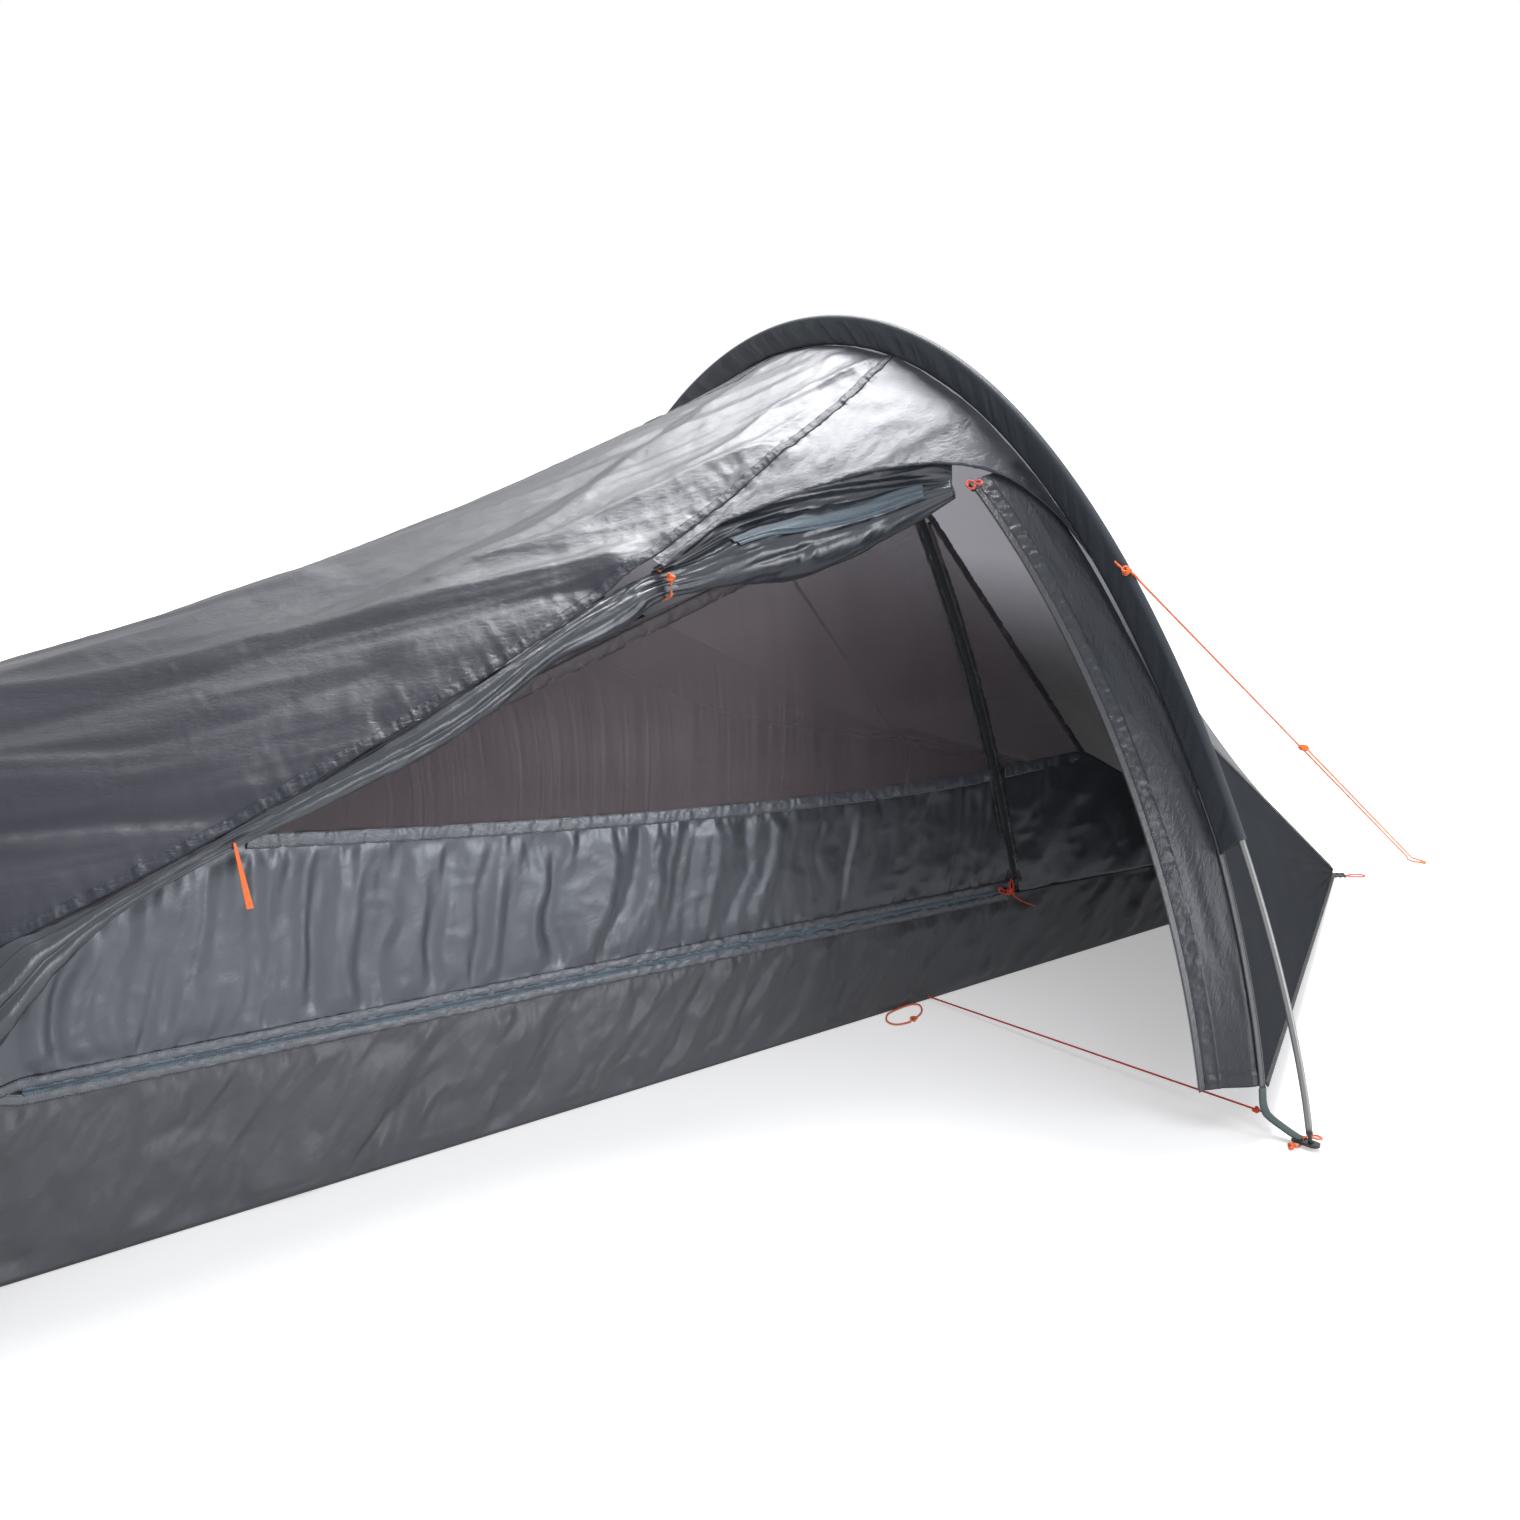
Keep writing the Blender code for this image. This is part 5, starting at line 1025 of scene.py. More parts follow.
def strap_piece(name, path, outward, width, thickness, finish, replaces=(), bulge=0.0):
    """A flat strip along a path, standing up along outward, with a rounded section."""
    path = np.asarray(path, float)
    forward = unit(np.gradient(path, axis=0))
    side = unit(np.cross(forward, np.asarray(outward, float)))
    up = np.cross(side, forward)
    crown = 0.5 + bulge
    section = ((-0.5, 0.0), (-0.48, 0.5), (-0.25, crown), (0.0, crown), (0.25, crown), (0.48, 0.5),
               (0.5, 0.0), (0.48, -0.5), (0.25, -0.5), (0.0, -0.5), (-0.25, -0.5), (-0.48, -0.5))
    rings = np.stack([path + side * width * a + up * thickness * b for a, b in section], axis=1)
    flat = points_of(run_along(path)[:, None], np.array([a for a, _ in section])[None, :] * width)
    obj = put_mesh(name, rings, grid_faces(len(path), len(section), closed=True), finish, flat)
    cap_ends(obj, len(path), len(section))
    carried(obj, replaces=replaces)


def circle_through(first, middle, last):
    """Centre, axis, start, side, radius and sweep of the arc through three points."""
    a, b, c = (np.asarray(p, float) for p in (first, middle, last))
    ab, ac = b - a, c - a
    axis = np.cross(ab, ac)
    double = 2 * float(axis @ axis)
    centre = a + (float(ac @ ac) * np.cross(axis, ab) + float(ab @ ab) * np.cross(ac, axis)) / double
    axis = unit(axis)
    radius = float(np.linalg.norm(a - centre))
    start, end = (a - centre) / radius, c - centre
    side = np.cross(axis, start)
    return centre, axis, start, side, radius, math.atan2(float(end @ side), float(end @ start))


def door_edge(shares, out=0.0, along_axis=0.0):
    """Points of the door's free zip edge from its top to its bottom, the way out from its arc, and the arc's axis."""
    centre, axis, start, side, radius, sweep = circle_through(*DOOR_EDGE)
    turn = sweep * np.asarray(shares, float)
    ray = np.cos(turn)[..., None] * start + np.sin(turn)[..., None] * side
    out, along_axis = np.asarray(out, float)[..., None], np.asarray(along_axis, float)[..., None]
    return centre + (radius + out) * ray + along_axis * axis, ray, axis


def make_jamb(shape, finishes):
    """The strip of outer cloth between hoop and door, its broad hem, and the door's half of the zip."""
    count, columns = 340, 64
    shares = np.linspace(0, 1, count)
    edge, ray, axis = door_edge(shares)
    height = edge[:, 2] + JAMB_TOP_RISE * edge[:, 2] / DOOR_EDGE[0][2]
    under = np.clip((height - 0.50) / 0.08, 0, 1)
    at_hoop = fly_points(PANEL_START, angle_at_height(MAIN_HOOP, height, SLEEVE_DEPTH), JAMB_UNDERLAP * under)
    across = np.linspace(0, 1, columns)
    rows = between(at_hoop, edge, across)
    run, a = over_grid(shares * DOOR_EDGE_LENGTH, across)
    width = np.linalg.norm(edge - at_hoop, axis=1)[:, None]
    away, from_edge = a * width, (1 - a) * width
    held = ease(a / 0.15) * ease(from_edge / 0.02)
    lift = add_layers(0.0, (
        (held, 0.0050, layered, away / 0.060 + run, run / 0.30, 171),
        (held, 0.0018, faceted, away / 0.035, run / 0.11, 173),
        (held, 0.0003, faceted, away / 0.014, run / 0.022, 175),
        (np.exp(-np.abs(from_edge - 0.021) / 0.012), 0.0009, noise, run / 0.016, from_edge / 0.06, 179),
    ))
    hem, low_hem = ease((0.0205 - from_edge) / 0.0015), ease((run - DOOR_EDGE_LENGTH + 0.016) / 0.0015)
    lift = add_layers(np.clip(lift, -0.003, 0.006) + hem * 0.0010 + low_hem * 0.0008, (
        (hem, 0.0007, noise, run / 0.0060, from_edge / 0.012, 181),
        (hem, 0.0004, noise, run / 0.0032, from_edge / 0.006, 183),
    ))
    outward = (-0.6, -0.8, 0.1)
    sheet_piece("door_jamb_cloth", rows, outward, finishes["jamb"], lift, ("fly_door_jamb",))

    sewing = Sewing(shape.stitch_length)
    normals = normals_of(rows, outward)
    raised = rows + normals * lift[..., None]
    index, low_row = np.arange(count), -9
    for reach in (0.0025, 0.0175):
        column = np.clip(np.rint((1 - reach / width[:, 0]) * (columns - 1)).astype(int), 0, columns - 1)
        sewing.row(raised[index, column] + normals[index, column] * 0.0003, normals[index, column])
    sewing.row(raised[low_row] + normals[low_row] * 0.0003, normals[low_row])
    sewing.make("jamb_stitching", finishes, "fly_cloth", (0.0014, 0.0004, 0.00035))

    way = -math.copysign(1.0, axis[0])
    tape = np.stack([door_edge(shares, 0.0008 - CLOTH / 2, along * way)[0]
                     for along in np.linspace(TOUCH_GAP, TOUCH_GAP + DOOR_ZIP_WIDTH, 6)], axis=1)
    strip = grid_piece("door_zip_tape", tape, -ray[count // 2], finishes["jamb_band"], thickness=0.0012)
    carried(strip, replaces=("fly_door_zip",))
    teeth_shares = np.linspace(0.003, 0.997, int(DOOR_EDGE_LENGTH / shape.tooth_pitch))
    line, rays, _ = door_edge(teeth_shares, -0.0012, (TOUCH_GAP + 0.0085) * way)
    beads("door_zip_teeth", line, axis * way, unit(np.gradient(line, axis=0)), -rays, finishes["dark_coil"],
          (0.0022, 0.0007, 0.0009), "zip_tape")


# Rolled door


def make_rolled_door(shape, finishes):
    """The door cloth wound into a slack roll, pinched at its two ties and spread towards the foot."""
    path = smooth_path(DOOR_ROLL, ROLL_STEPS)
    centre, radius = path[:, :3], path[:, 3]
    run = run_along(centre)
    forward = unit(np.gradient(centre, axis=0))
    side = unit(np.cross(forward, (0.0, 0.0, 1.0)))
    up = np.cross(side, forward)
    a = np.linspace(0, 2 * math.pi, ROLL_SIDES, endpoint=False)[None, :]
    r = run[:, None]
    ties = [run[DOOR_ROLL.index(tie) * ROLL_STEPS] for tie in (FRONT_TIE, BACK_TIE)]
    pinch = sum(np.exp(-np.abs(r - tie) / 0.035) for tie in ties)
    folds = 0.0
    # Lengthwise folds: place round the roll, depth, width and sway
    for number, (place, depth, width, sway) in enumerate((
        (0.4, 0.34, 0.16, 0.35), (1.2, 0.22, 0.11, 0.50), (2.0, 0.36, 0.14, 0.30), (2.55, 0.20, 0.09, 0.45),
        (3.1, 0.38, 0.16, 0.35), (3.7, 0.22, 0.10, 0.40), (4.3, 0.30, 0.14, 0.50), (5.3, 0.30, 0.18, 0.40),
    )):
        where = place + sway * noise(r / 0.19, 0 * r + number, 203) + 0.3 * np.sin(2.2 * r / run[-1] + number)
        gap = np.abs((a - where + math.pi) % (2 * math.pi) - math.pi)
        share = 0.55 + 0.45 * noise(r / 0.13, 0 * r + number, 207)
        folds = folds - 0.85 * depth * share * np.exp(-gap / (1.3 * width))
    billow = add_layers(0.0, (
        (1.0, 0.12, layered, r / 0.09, np.cos(a) * 1.1 + 3.0, 211),
        (1.0, 0.05, creased, r / 0.045, np.sin(a) * 1.4, 213, 2),
        (1.0, 0.22, faceted, r / 0.085 + 0.5 * np.sin(a), 1.5 * np.cos(a) + 5.0, 217),
    ))
    slack = np.exp(-((r - ties[0] - 0.10) / 0.07) ** 2) * np.clip(-np.sin(a) + 0.3, 0, 1)
    tight = pinch * 0.14 * np.sin(13 * a + 3 * noise(r / 0.05, 0 * r, 215))
    scale = 1.10 + folds + billow * (1 - 0.5 * pinch) + tight
    distance = radius[:, None] * (np.clip(scale, 0.52, 1.16) + 0.75 * slack)
    ways = np.cos(a)[..., None] * side[:, None] + np.sin(a)[..., None] * up[:, None]
    faces = grid_faces(len(path), ROLL_SIDES, closed=True)
    points = centre[:, None] + distance[..., None] * ways
    roll = put_mesh("rolled_door_cloth", points, faces, finishes["door"], points_of(r, a * 0.02))
    cap_ends(roll, len(path), ROLL_SIDES)
    smooth = roll.modifiers.new("Smooth", "SUBSURF")
    smooth.levels = smooth.render_levels = 1
    carried(roll, replaces=("fly_door_rolled",))
    lay_rolled_zip(shape, finishes, run, centre, side, up, radius, distance)
    hang_door_pleats(shape, finishes, centre, centre + up * (radius * 0.80)[:, None])


def lay_rolled_zip(shape, finishes, run, centre, side, up, radius, distance):
    """The roll's half of the door zip, lying on its upper side near the hoop."""
    rows = []
    for value in np.linspace(0.03, 0.32, 100):
        index = int(np.clip(np.searchsorted(run, value), 1, len(run) - 2))
        line = []
        for share in np.linspace(-1, 1, 9):
            turn = math.radians(128 + 12 * math.sin(value * 14)) + share * 0.0105 / max(radius[index], 0.010)
            reach = distance[index, int(turn / (2 * math.pi) * ROLL_SIDES) % ROLL_SIDES] + 0.0030
            line.append(centre[index] + reach * (math.cos(turn) * side[index] + math.sin(turn) * up[index]))
        rows.append(line)
    padded = np.pad(np.array(rows), ((4, 4), (0, 0), (0, 0)), mode="edge")
    rows = np.apply_along_axis(np.convolve, 0, padded, np.ones(9) / 9, "valid")
    outward = (-0.3, -1.0, 0.4)
    carried(grid_piece("rolled_zip_tape", rows, outward, finishes["tape"], thickness=0.0010))
    line = spaced(rows[:, 6], shape.tooth_pitch)
    normals = normals_of(rows, outward)[:, 6]
    normals = normals[np.linspace(0, len(normals) - 1, len(line)).astype(int)]
    forward = unit(np.gradient(line, axis=0))
    out = unit(normals - forward * (normals * forward).sum(axis=1, keepdims=True))
    beads("rolled_zip_teeth", line + out * 0.0007, unit(np.cross(forward, out)), forward, out, finishes["coil"],
          (0.0024, 0.0007, 0.0009), "zip_tape")


def hang_door_pleats(shape, finishes, centre, upper_side):
    """The door cloth between the brow and the roll, pulled into pleats that fan out from the front tie."""
    behind = np.linspace(0.078, 0.480, 160)
    top, _ = outer_surface(behind, brow_hem_angle(behind) + 0.016, shape, -0.0050)
    order = np.argsort(-centre[:, 0])
    low = at_runs(behind, -centre[order, 0], upper_side[order])
    share = np.linspace(0, 1, 34)
    rows = between(top, low, share)
    b, s = over_grid(behind, share)
    fan = (0.49 - b) / (0.03 + s * 0.06)
    free = inside(s, 0.25, 0.15)
    lift = add_layers(0.0, (
        (free, 0.0045, noise, s * 5.0 + b * 14.0, b / 0.16, 221),
        (free, 0.0025, creased, s * 4.0 + fan * 0.2, b / 0.10, 223, 2),
    ))
    sheet_piece("door_cloth_pleats", rows, (-0.3, -1.0, 0.1), finishes["door"], np.clip(lift, -0.004, 0.006),
                ())


# Inner tent


def upright_x(height, offset=0.0):
    """Where the upright zip stands at a height, or a line beside it."""
    points = [(x, INNER_NEAR_Y, z) for x, z in UPRIGHT_ZIP]
    centre, _, _, _, radius, _ = circle_through(*points)
    way = math.copysign(1.0, centre[0] - UPRIGHT_ZIP[1][0])
    return centre[0] - way * np.sqrt((radius - way * offset) ** 2 - (np.asarray(height) - centre[2]) ** 2)


def zip_height(x):
    share = (ZIP_HEAD[0] - np.asarray(x)) / (ZIP_HEAD[0] - ZIP_FOOT[0])
    return ZIP_HEAD[1] + (ZIP_FOOT[1] - ZIP_HEAD[1]) * share


def mesh_seam_height(x):
    share = np.maximum(0.0, (MESH_SEAM_SPAN[0] - np.asarray(x)) / (MESH_SEAM_SPAN[0] - MESH_SEAM_SPAN[1]))
    return MESH_SEAM_HEIGHT + MESH_SEAM_RISE * share**1.5


def near_top(x):
    knots_x = (INNER_FOOT_X, INNER_PEAK[0], SHOULDER_X, INNER_HEAD_X)
    return np.interp(x, knots_x, (INNER_FOOT_HEIGHT, INNER_PEAK[1], MESH_SEAM_HEIGHT, INNER_HEAD_HEIGHT))


def far_y(x):
    return np.interp(x, (INNER_FOOT_X, 0.0, INNER_HEAD_X), FAR_Y_VALUES)


def far_top(x):
    x = np.asarray(x, float)
    back = FAR_TOP_VALUES[1] + (FAR_TOP_VALUES[0] - FAR_TOP_VALUES[1]) * x / INNER_FOOT_X
    share = 1 - (1 - x / INNER_HEAD_X) ** 2
    ahead = FAR_TOP_VALUES[1] + (FAR_TOP_VALUES[2] - FAR_TOP_VALUES[1]) * share
    return np.where(x <= 0, back, ahead)


def near_rows(bottom, top, left, right):
    """A grid of the near wall filled in between four edges of x and height; bottom and top run along it."""
    bottom, top, left, right = (np.asarray(e, float) for e in (bottom, top, left, right))
    u = np.linspace(0, 1, len(bottom))[:, None, None]
    v = np.linspace(0, 1, len(left))[None, :, None]
    ruled = bottom[:, None] * (1 - v) + top[:, None] * v + left[None] * (1 - u) + right[None] * u
    corners = bottom[0] * (1 - u) * (1 - v) + bottom[-1] * u * (1 - v) + top[0] * (1 - u) * v + top[-1] * u * v
    flat = ruled - corners
    return points_of(flat[..., 0], INNER_NEAR_Y - CLOTH / 2, flat[..., 1])


def upright_edge(x, low, high, count):
    """A straight edge of a wall, from one height to another."""
    return points_of(x, np.linspace(low, high, count))


def zip_side(low, high, offset, count):
    """A wall's edge beside the upright zip."""
    heights = np.linspace(low, high, count)
    return points_of(upright_x(heights, offset), heights)


def zip_gap(x):
    """How far the cloth keeps from the bottom zip's middle: nothing past the zip's foot end."""
    return TOUCH_GAP + (ZIP_EDGE - TOUCH_GAP) * ease((x - ZIP_FOOT[0]) / 0.014)


def seam_meets_top():
    """Where the net's seam runs into the near wall's top."""
    low, high = INNER_FOOT_X, INNER_PEAK[0]
    for _ in range(40):
        middle = (low + high) / 2
        if mesh_seam_height(middle) + 0.002 < near_top(middle):
            high = middle
        else:
            low = middle
    return high


def wall_piece(name, rows, finish, lift, node, thickness=SHEET):
    sheet_piece(name, rows, OUT, finish, lift, (node,), thickness=thickness)


def make_tub_wall(shape, finishes):
    """The crumpled near wall of the tub, below the bottom zip."""
    zip_x, side_x = np.linspace(INNER_FOOT_X, ZIP_HEAD[0], 620), np.linspace(0.205, INNER_HEAD_X, 80)
    side_height = np.interp(side_x, (0.205, INNER_HEAD_X), (0.1245, TUB_HEAD_HEIGHT))
    top = np.concatenate([points_of(zip_x, zip_height(zip_x) - zip_gap(zip_x)), points_of(side_x, side_height)])
    rows = near_rows(points_of(top[:, 0], GROUND), top, upright_edge(INNER_FOOT_X, GROUND, top[0, 1], 44),
                     upright_edge(INNER_HEAD_X, GROUND, top[-1, 1], 44))
    x, z = rows[..., 0], rows[..., 2]
    below = zip_height(x) - ZIP_EDGE - z
    held = ease((z - GROUND) / 0.02) * ease((below - 0.006) / 0.022)
    slant, length = x - 0.9 * z, x + 0.9 * z
    lift = add_layers(gather(x, below - 0.009, shape.gather_height, 311, 0.012) * ease((below - 0.003) / 0.008), (
        (held, 0.0050, layered, slant / 0.10, length / 0.34, 301),
        (held, 3.2 * shape.crumple_height, faceted, slant / 0.044, length / 0.085, 303),
        (held, 1.5 * shape.crumple_height, creased, slant / 0.060, length / 0.21, 305, 2),
        (held, 0.0005, faceted, x / 0.020, z / 0.018, 307),
    ))
    lift = np.clip(lift + 0.001 * held, -0.007, 0.017)
    wall_piece("inner_tub_wall", rows, finishes["tub"], lift, "inner_near_tub")


def make_door_panel(shape, finishes):
    """The puckered lower panel of the inner door, between the bottom zip and the net's seam."""
    right = zip_side(zip_height(ZIP_HEAD[0]) + ZIP_EDGE, MESH_SEAM_HEIGHT - TOUCH_GAP / 2, -ZIP_EDGE, 48)
    low_x, top_x = np.linspace(INNER_FOOT_X, right[0, 0], 460), np.linspace(INNER_FOOT_X, right[-1, 0], 460)
    bottom = points_of(low_x, zip_height(low_x) + zip_gap(low_x))
    top = points_of(top_x, np.minimum(mesh_seam_height(top_x), near_top(top_x)) - TOUCH_GAP / 2)
    rows = near_rows(bottom, top, upright_edge(INNER_FOOT_X, bottom[0, 1], top[0, 1], 48), right)
    x, z = rows[..., 0], rows[..., 2]
    up_from, down_from = z - zip_height(x) - ZIP_EDGE, np.minimum(mesh_seam_height(x), near_top(x)) - z
    middle = ease(up_from / 0.05) * ease(down_from / 0.05)
    slope = x - 0.18 * (z - 0.25) + 0.016 * noise(x / 0.10, z / 0.09, 321) + 0.006 * noise(x / 0.03, z / 0.05, 322)
    free, by_seam = (ease((up_from - 0.006) / reach) * ease((down_from - 0.014) / reach) for reach in (0.024, 0.010))
    pucker = shape.gather_height
    low_gather = gather(x, up_from - 0.010, pucker, 331, 0.010) * ease((up_from - 0.004) / 0.008)
    high_gather = gather(x + 3, down_from - 0.017, pucker, 333, 0.010) * ease((down_from - 0.012) / 0.008)
    lift = add_layers(low_gather + high_gather, (
        (free, 0.0034, noise, slope / 0.040, z / 0.22, 323),
        (free, 0.0036, noise, slope / 0.021, z / 0.13, 325),
        (free, 0.0016, creased, slope / 0.034, (z + 0.3 * x) / 0.16, 326, 2),
        ((1 - 0.6 * middle) * by_seam, 0.0024, noise, slope / 0.012, z / 0.12, 327),
        (middle, 0.0010, creased, x / 0.030, z / 0.030, 329, 2),
    ))
    lift = np.clip(lift + 0.002 * free, -0.003, 0.011) * ease((up_from + down_from) / 0.02)
    wall_piece("inner_door_cloth", rows, finishes["panel"], lift, "inner_door_panel")


def make_door_net(shape, finishes):
    """The net of the inner door, above its seam."""
    right = zip_side(MESH_SEAM_HEIGHT + TOUCH_GAP / 2, 0.688, -ZIP_EDGE, 70)
    meet = seam_meets_top()
    low_x, high_x = np.linspace(meet, right[0, 0], 240), np.linspace(meet, right[-1, 0], 240)
    bottom = points_of(low_x, mesh_seam_height(low_x) + TOUCH_GAP / 2)
    top = points_of(high_x, near_top(high_x))
    right[-1] = top[-1]
    rows = near_rows(bottom, top, upright_edge(meet, bottom[0, 1], top[0, 1], 70), right)
    x, z = rows[..., 0], rows[..., 2]
    up_from, down_from = z - mesh_seam_height(x), near_top(x) - z
    sway = ease(up_from / 0.04) * ease(down_from / 0.06)
    lift = add_layers(0.001 + gather(x, up_from, shape.gather_height * 0.8, 345, 0.02), (
        (sway, 0.004, noise, (x + 0.25 * z) / 0.05, z / 0.5, 341),
        (sway, 0.005, layered, x / 0.3, z / 0.3, 343),
    ))
    wall_piece("inner_door_net", rows, finishes["net"], lift, "inner_door_mesh", thickness=0.0)


def make_side_wall(shape, finishes):
    """The lower cloth panel and the net on the head side of the upright zip."""
    left = zip_side(0.1252, MESH_SEAM_HEIGHT - TOUCH_GAP / 2, ZIP_EDGE, 40)
    low_corner, high_corner = (INNER_HEAD_X, TUB_HEAD_HEIGHT + TOUCH_GAP), (INNER_HEAD_X, INNER_HEAD_HEIGHT)
    bottom = evenly([left[0], low_corner], 110)
    top = evenly([left[-1], (SHOULDER_X, MESH_SEAM_HEIGHT - TOUCH_GAP), high_corner], 110)
    rows = near_rows(bottom, top, left, evenly([low_corner, high_corner], 40))
    x, z = rows[..., 0], rows[..., 2]
    from_zip = x - upright_x(z)
    held = ease(from_zip / 0.02)
    lift = add_layers(0.001 + gather(z, from_zip, shape.gather_height, 355, 0.013), (
        (held, 0.0045, layered, x / 0.09 - z / 0.10, z / 0.16, 351),
        (held, 0.0018, creased, x / 0.05, z / 0.06, 353),
    ))
    lift = np.clip(lift, -0.003, 0.008)
    wall_piece("inner_side_cloth", rows, finishes["panel"], lift, "inner_side_panel")

    heights = np.linspace(MESH_SEAM_HEIGHT + TOUCH_GAP / 2, 0.676, 90)
    start = upright_x(heights, ZIP_EDGE)
    fall = (INNER_PEAK[1] - heights) / (INNER_PEAK[1] - MESH_SEAM_HEIGHT)
    slope = INNER_PEAK[0] + (SHOULDER_X - INNER_PEAK[0]) * fall
    share = np.linspace(0, 1, 40)
    x = start[:, None] + np.maximum(slope - start, 0.001)[:, None] * share[None, :]
    rows = points_of(x, INNER_NEAR_Y - CLOTH / 2, heights[:, None])
    lift = 0.001 + 0.004 * layered(x / 0.10, rows[..., 2] / 0.3, 361) * inside(share, 0.1)[None, :]
    wall_piece("inner_side_net", rows, finishes["net"], lift, "inner_side_mesh", thickness=0.0)


def seam_strip(name, path, width, finish, sewing, seed, lift=0.0012):
    """A gathered and doubly stitched strip lying on the near wall."""
    forward = unit(np.gradient(path, axis=0))
    side = unit(np.cross(forward, OUT))
    run = run_along(path)
    columns = []
    for share in np.linspace(-0.5, 0.5, BAND_COLUMNS):
        rise = add_layers(lift + 0.0010 * math.cos(share * math.pi), (
            (1.0, 0.0010, noise, run / 0.0046, share * 2.0 + 0 * run, seed),
            (1.0, 0.0010, noise, run / 0.0105, share + 0 * run, seed + 1),
        ))
        columns.append(path + side * width * share + OUT * rise[:, None])
    rows = np.stack(columns, axis=1)
    carried(grid_piece(name, rows, OUT, finish))
    for column in STITCH_COLUMNS:
        sewing.row(rows[:, column] + OUT * 0.0005, OUT)


def make_inner_zips(shape, finishes):
    """Both runs of the inner zip with coil teeth, and the gathered strips that hold them and the net."""
    sewing = Sewing(shape.stitch_length)
    half = ZIP_WIDTH / 2
    x, z = np.linspace(ZIP_HEAD[0], ZIP_FOOT[0], 420), np.linspace(0.128, 0.688, 200)
    # The bottom zip takes the lightened copy of the tape's finish: painted light on its tape.
    for name, path, weave, coil in (
        ("bottom", points_of(x, ZIP_FACE_Y, zip_height(x)), "inner_tape", "coil"),
        ("upright", points_of(upright_x(z), ZIP_FACE_Y, z), "dark_tape", "dark_coil"),
    ):
        side = unit(np.cross(unit(np.gradient(path, axis=0)), OUT))
        columns = [path + side * half * share + OUT * (0.0010 + 0.0006 * (1 - abs(share)))
                   for share in np.linspace(-1, 1, 7)]
        tape = grid_piece(f"inner_zip_tape_{name}", np.stack(columns, axis=1), OUT, finishes[weave], thickness=0.0010)
        carried(tape, replaces=(f"inner_zip_{name}",))
        line = spaced(path, shape.tooth_pitch)
        ahead = unit(np.gradient(line, axis=0))
        beads(f"inner_zip_teeth_{name}", line + OUT * 0.0022, unit(np.cross(ahead, OUT)), ahead, OUT, finishes[coil],
              (0.0021, 0.0007, 0.0008), "zip_tape")

    def strip(name, x, z, width, seed, finish="strip", lift=0.0012):
        seam_strip(name, points_of(x, ZIP_FACE_Y, z), width, finishes[finish], sewing, seed, lift)

    x = np.linspace(ZIP_HEAD[0] - 0.004, ZIP_FOOT[0] - 0.03, 420)
    beside = (half + 0.0025) * (1 - 0.55 * ease((ZIP_FOOT[0] + 0.004 - x) / 0.03))
    strip("inner_zip_strip_upper", x, zip_height(x) + beside, 0.012, 401)
    strip("inner_zip_strip_lower", x, zip_height(x) - beside, 0.012, 403)
    x = np.linspace(0.148, seam_meets_top() + 0.01, 420)
    strip("inner_net_seam", x, mesh_seam_height(x) - 0.008, 0.017, 407)
    strip("inner_side_seam", np.linspace(0.17, 0.335, 80), MESH_SEAM_HEIGHT - 0.008, 0.017, 409)
    low, high = seam_meets_top() + 0.01, INNER_PEAK[0]
    x = np.linspace(low, high, 260)
    height = near_top(x) - 0.005 + 0.005 * ease((x - low) / 0.1) * ease((high - x) / 0.2)
    strip("inner_net_edge_foot", x, height, 0.0185, 415, "net_hem", 0.0006)
    x = np.linspace(INNER_PEAK[0], SHOULDER_X, 260)
    strip("inner_net_edge_head", x, near_top(x) - 0.005, 0.0105, 417, "net_hem", 0.0006)
    knots = ((-0.012, 0.095, 0.605), (0.016, 0.113, 0.575), (0.088, 0.129, 0.502), (0.172, 0.152, 0.421),
             (0.249, 0.180, 0.351), (0.314, 0.207, 0.298), (0.45, 0.26, 0.222), (0.63, 0.33, 0.176))
    path = spaced(smooth_path(knots, 10), 0.004) + np.array((0.0, 0.0, 0.0022))
    strap_piece("inner_roof_seam", path, (0.3, 0.4, 0.86), 0.0060, 0.0012, finishes["net_hem"])
    z = np.linspace(0.14, 0.680, 200)
    for name, way, seed in (("head", 1, 411), ("foot", -1, 413)):
        strip(f"inner_upright_strip_{name}", upright_x(z, way * (half + 0.004)), z, 0.007, seed, "dark_strip", 0.0008)
    sewing.make("inner_stitching", finishes, "inner_cloth")


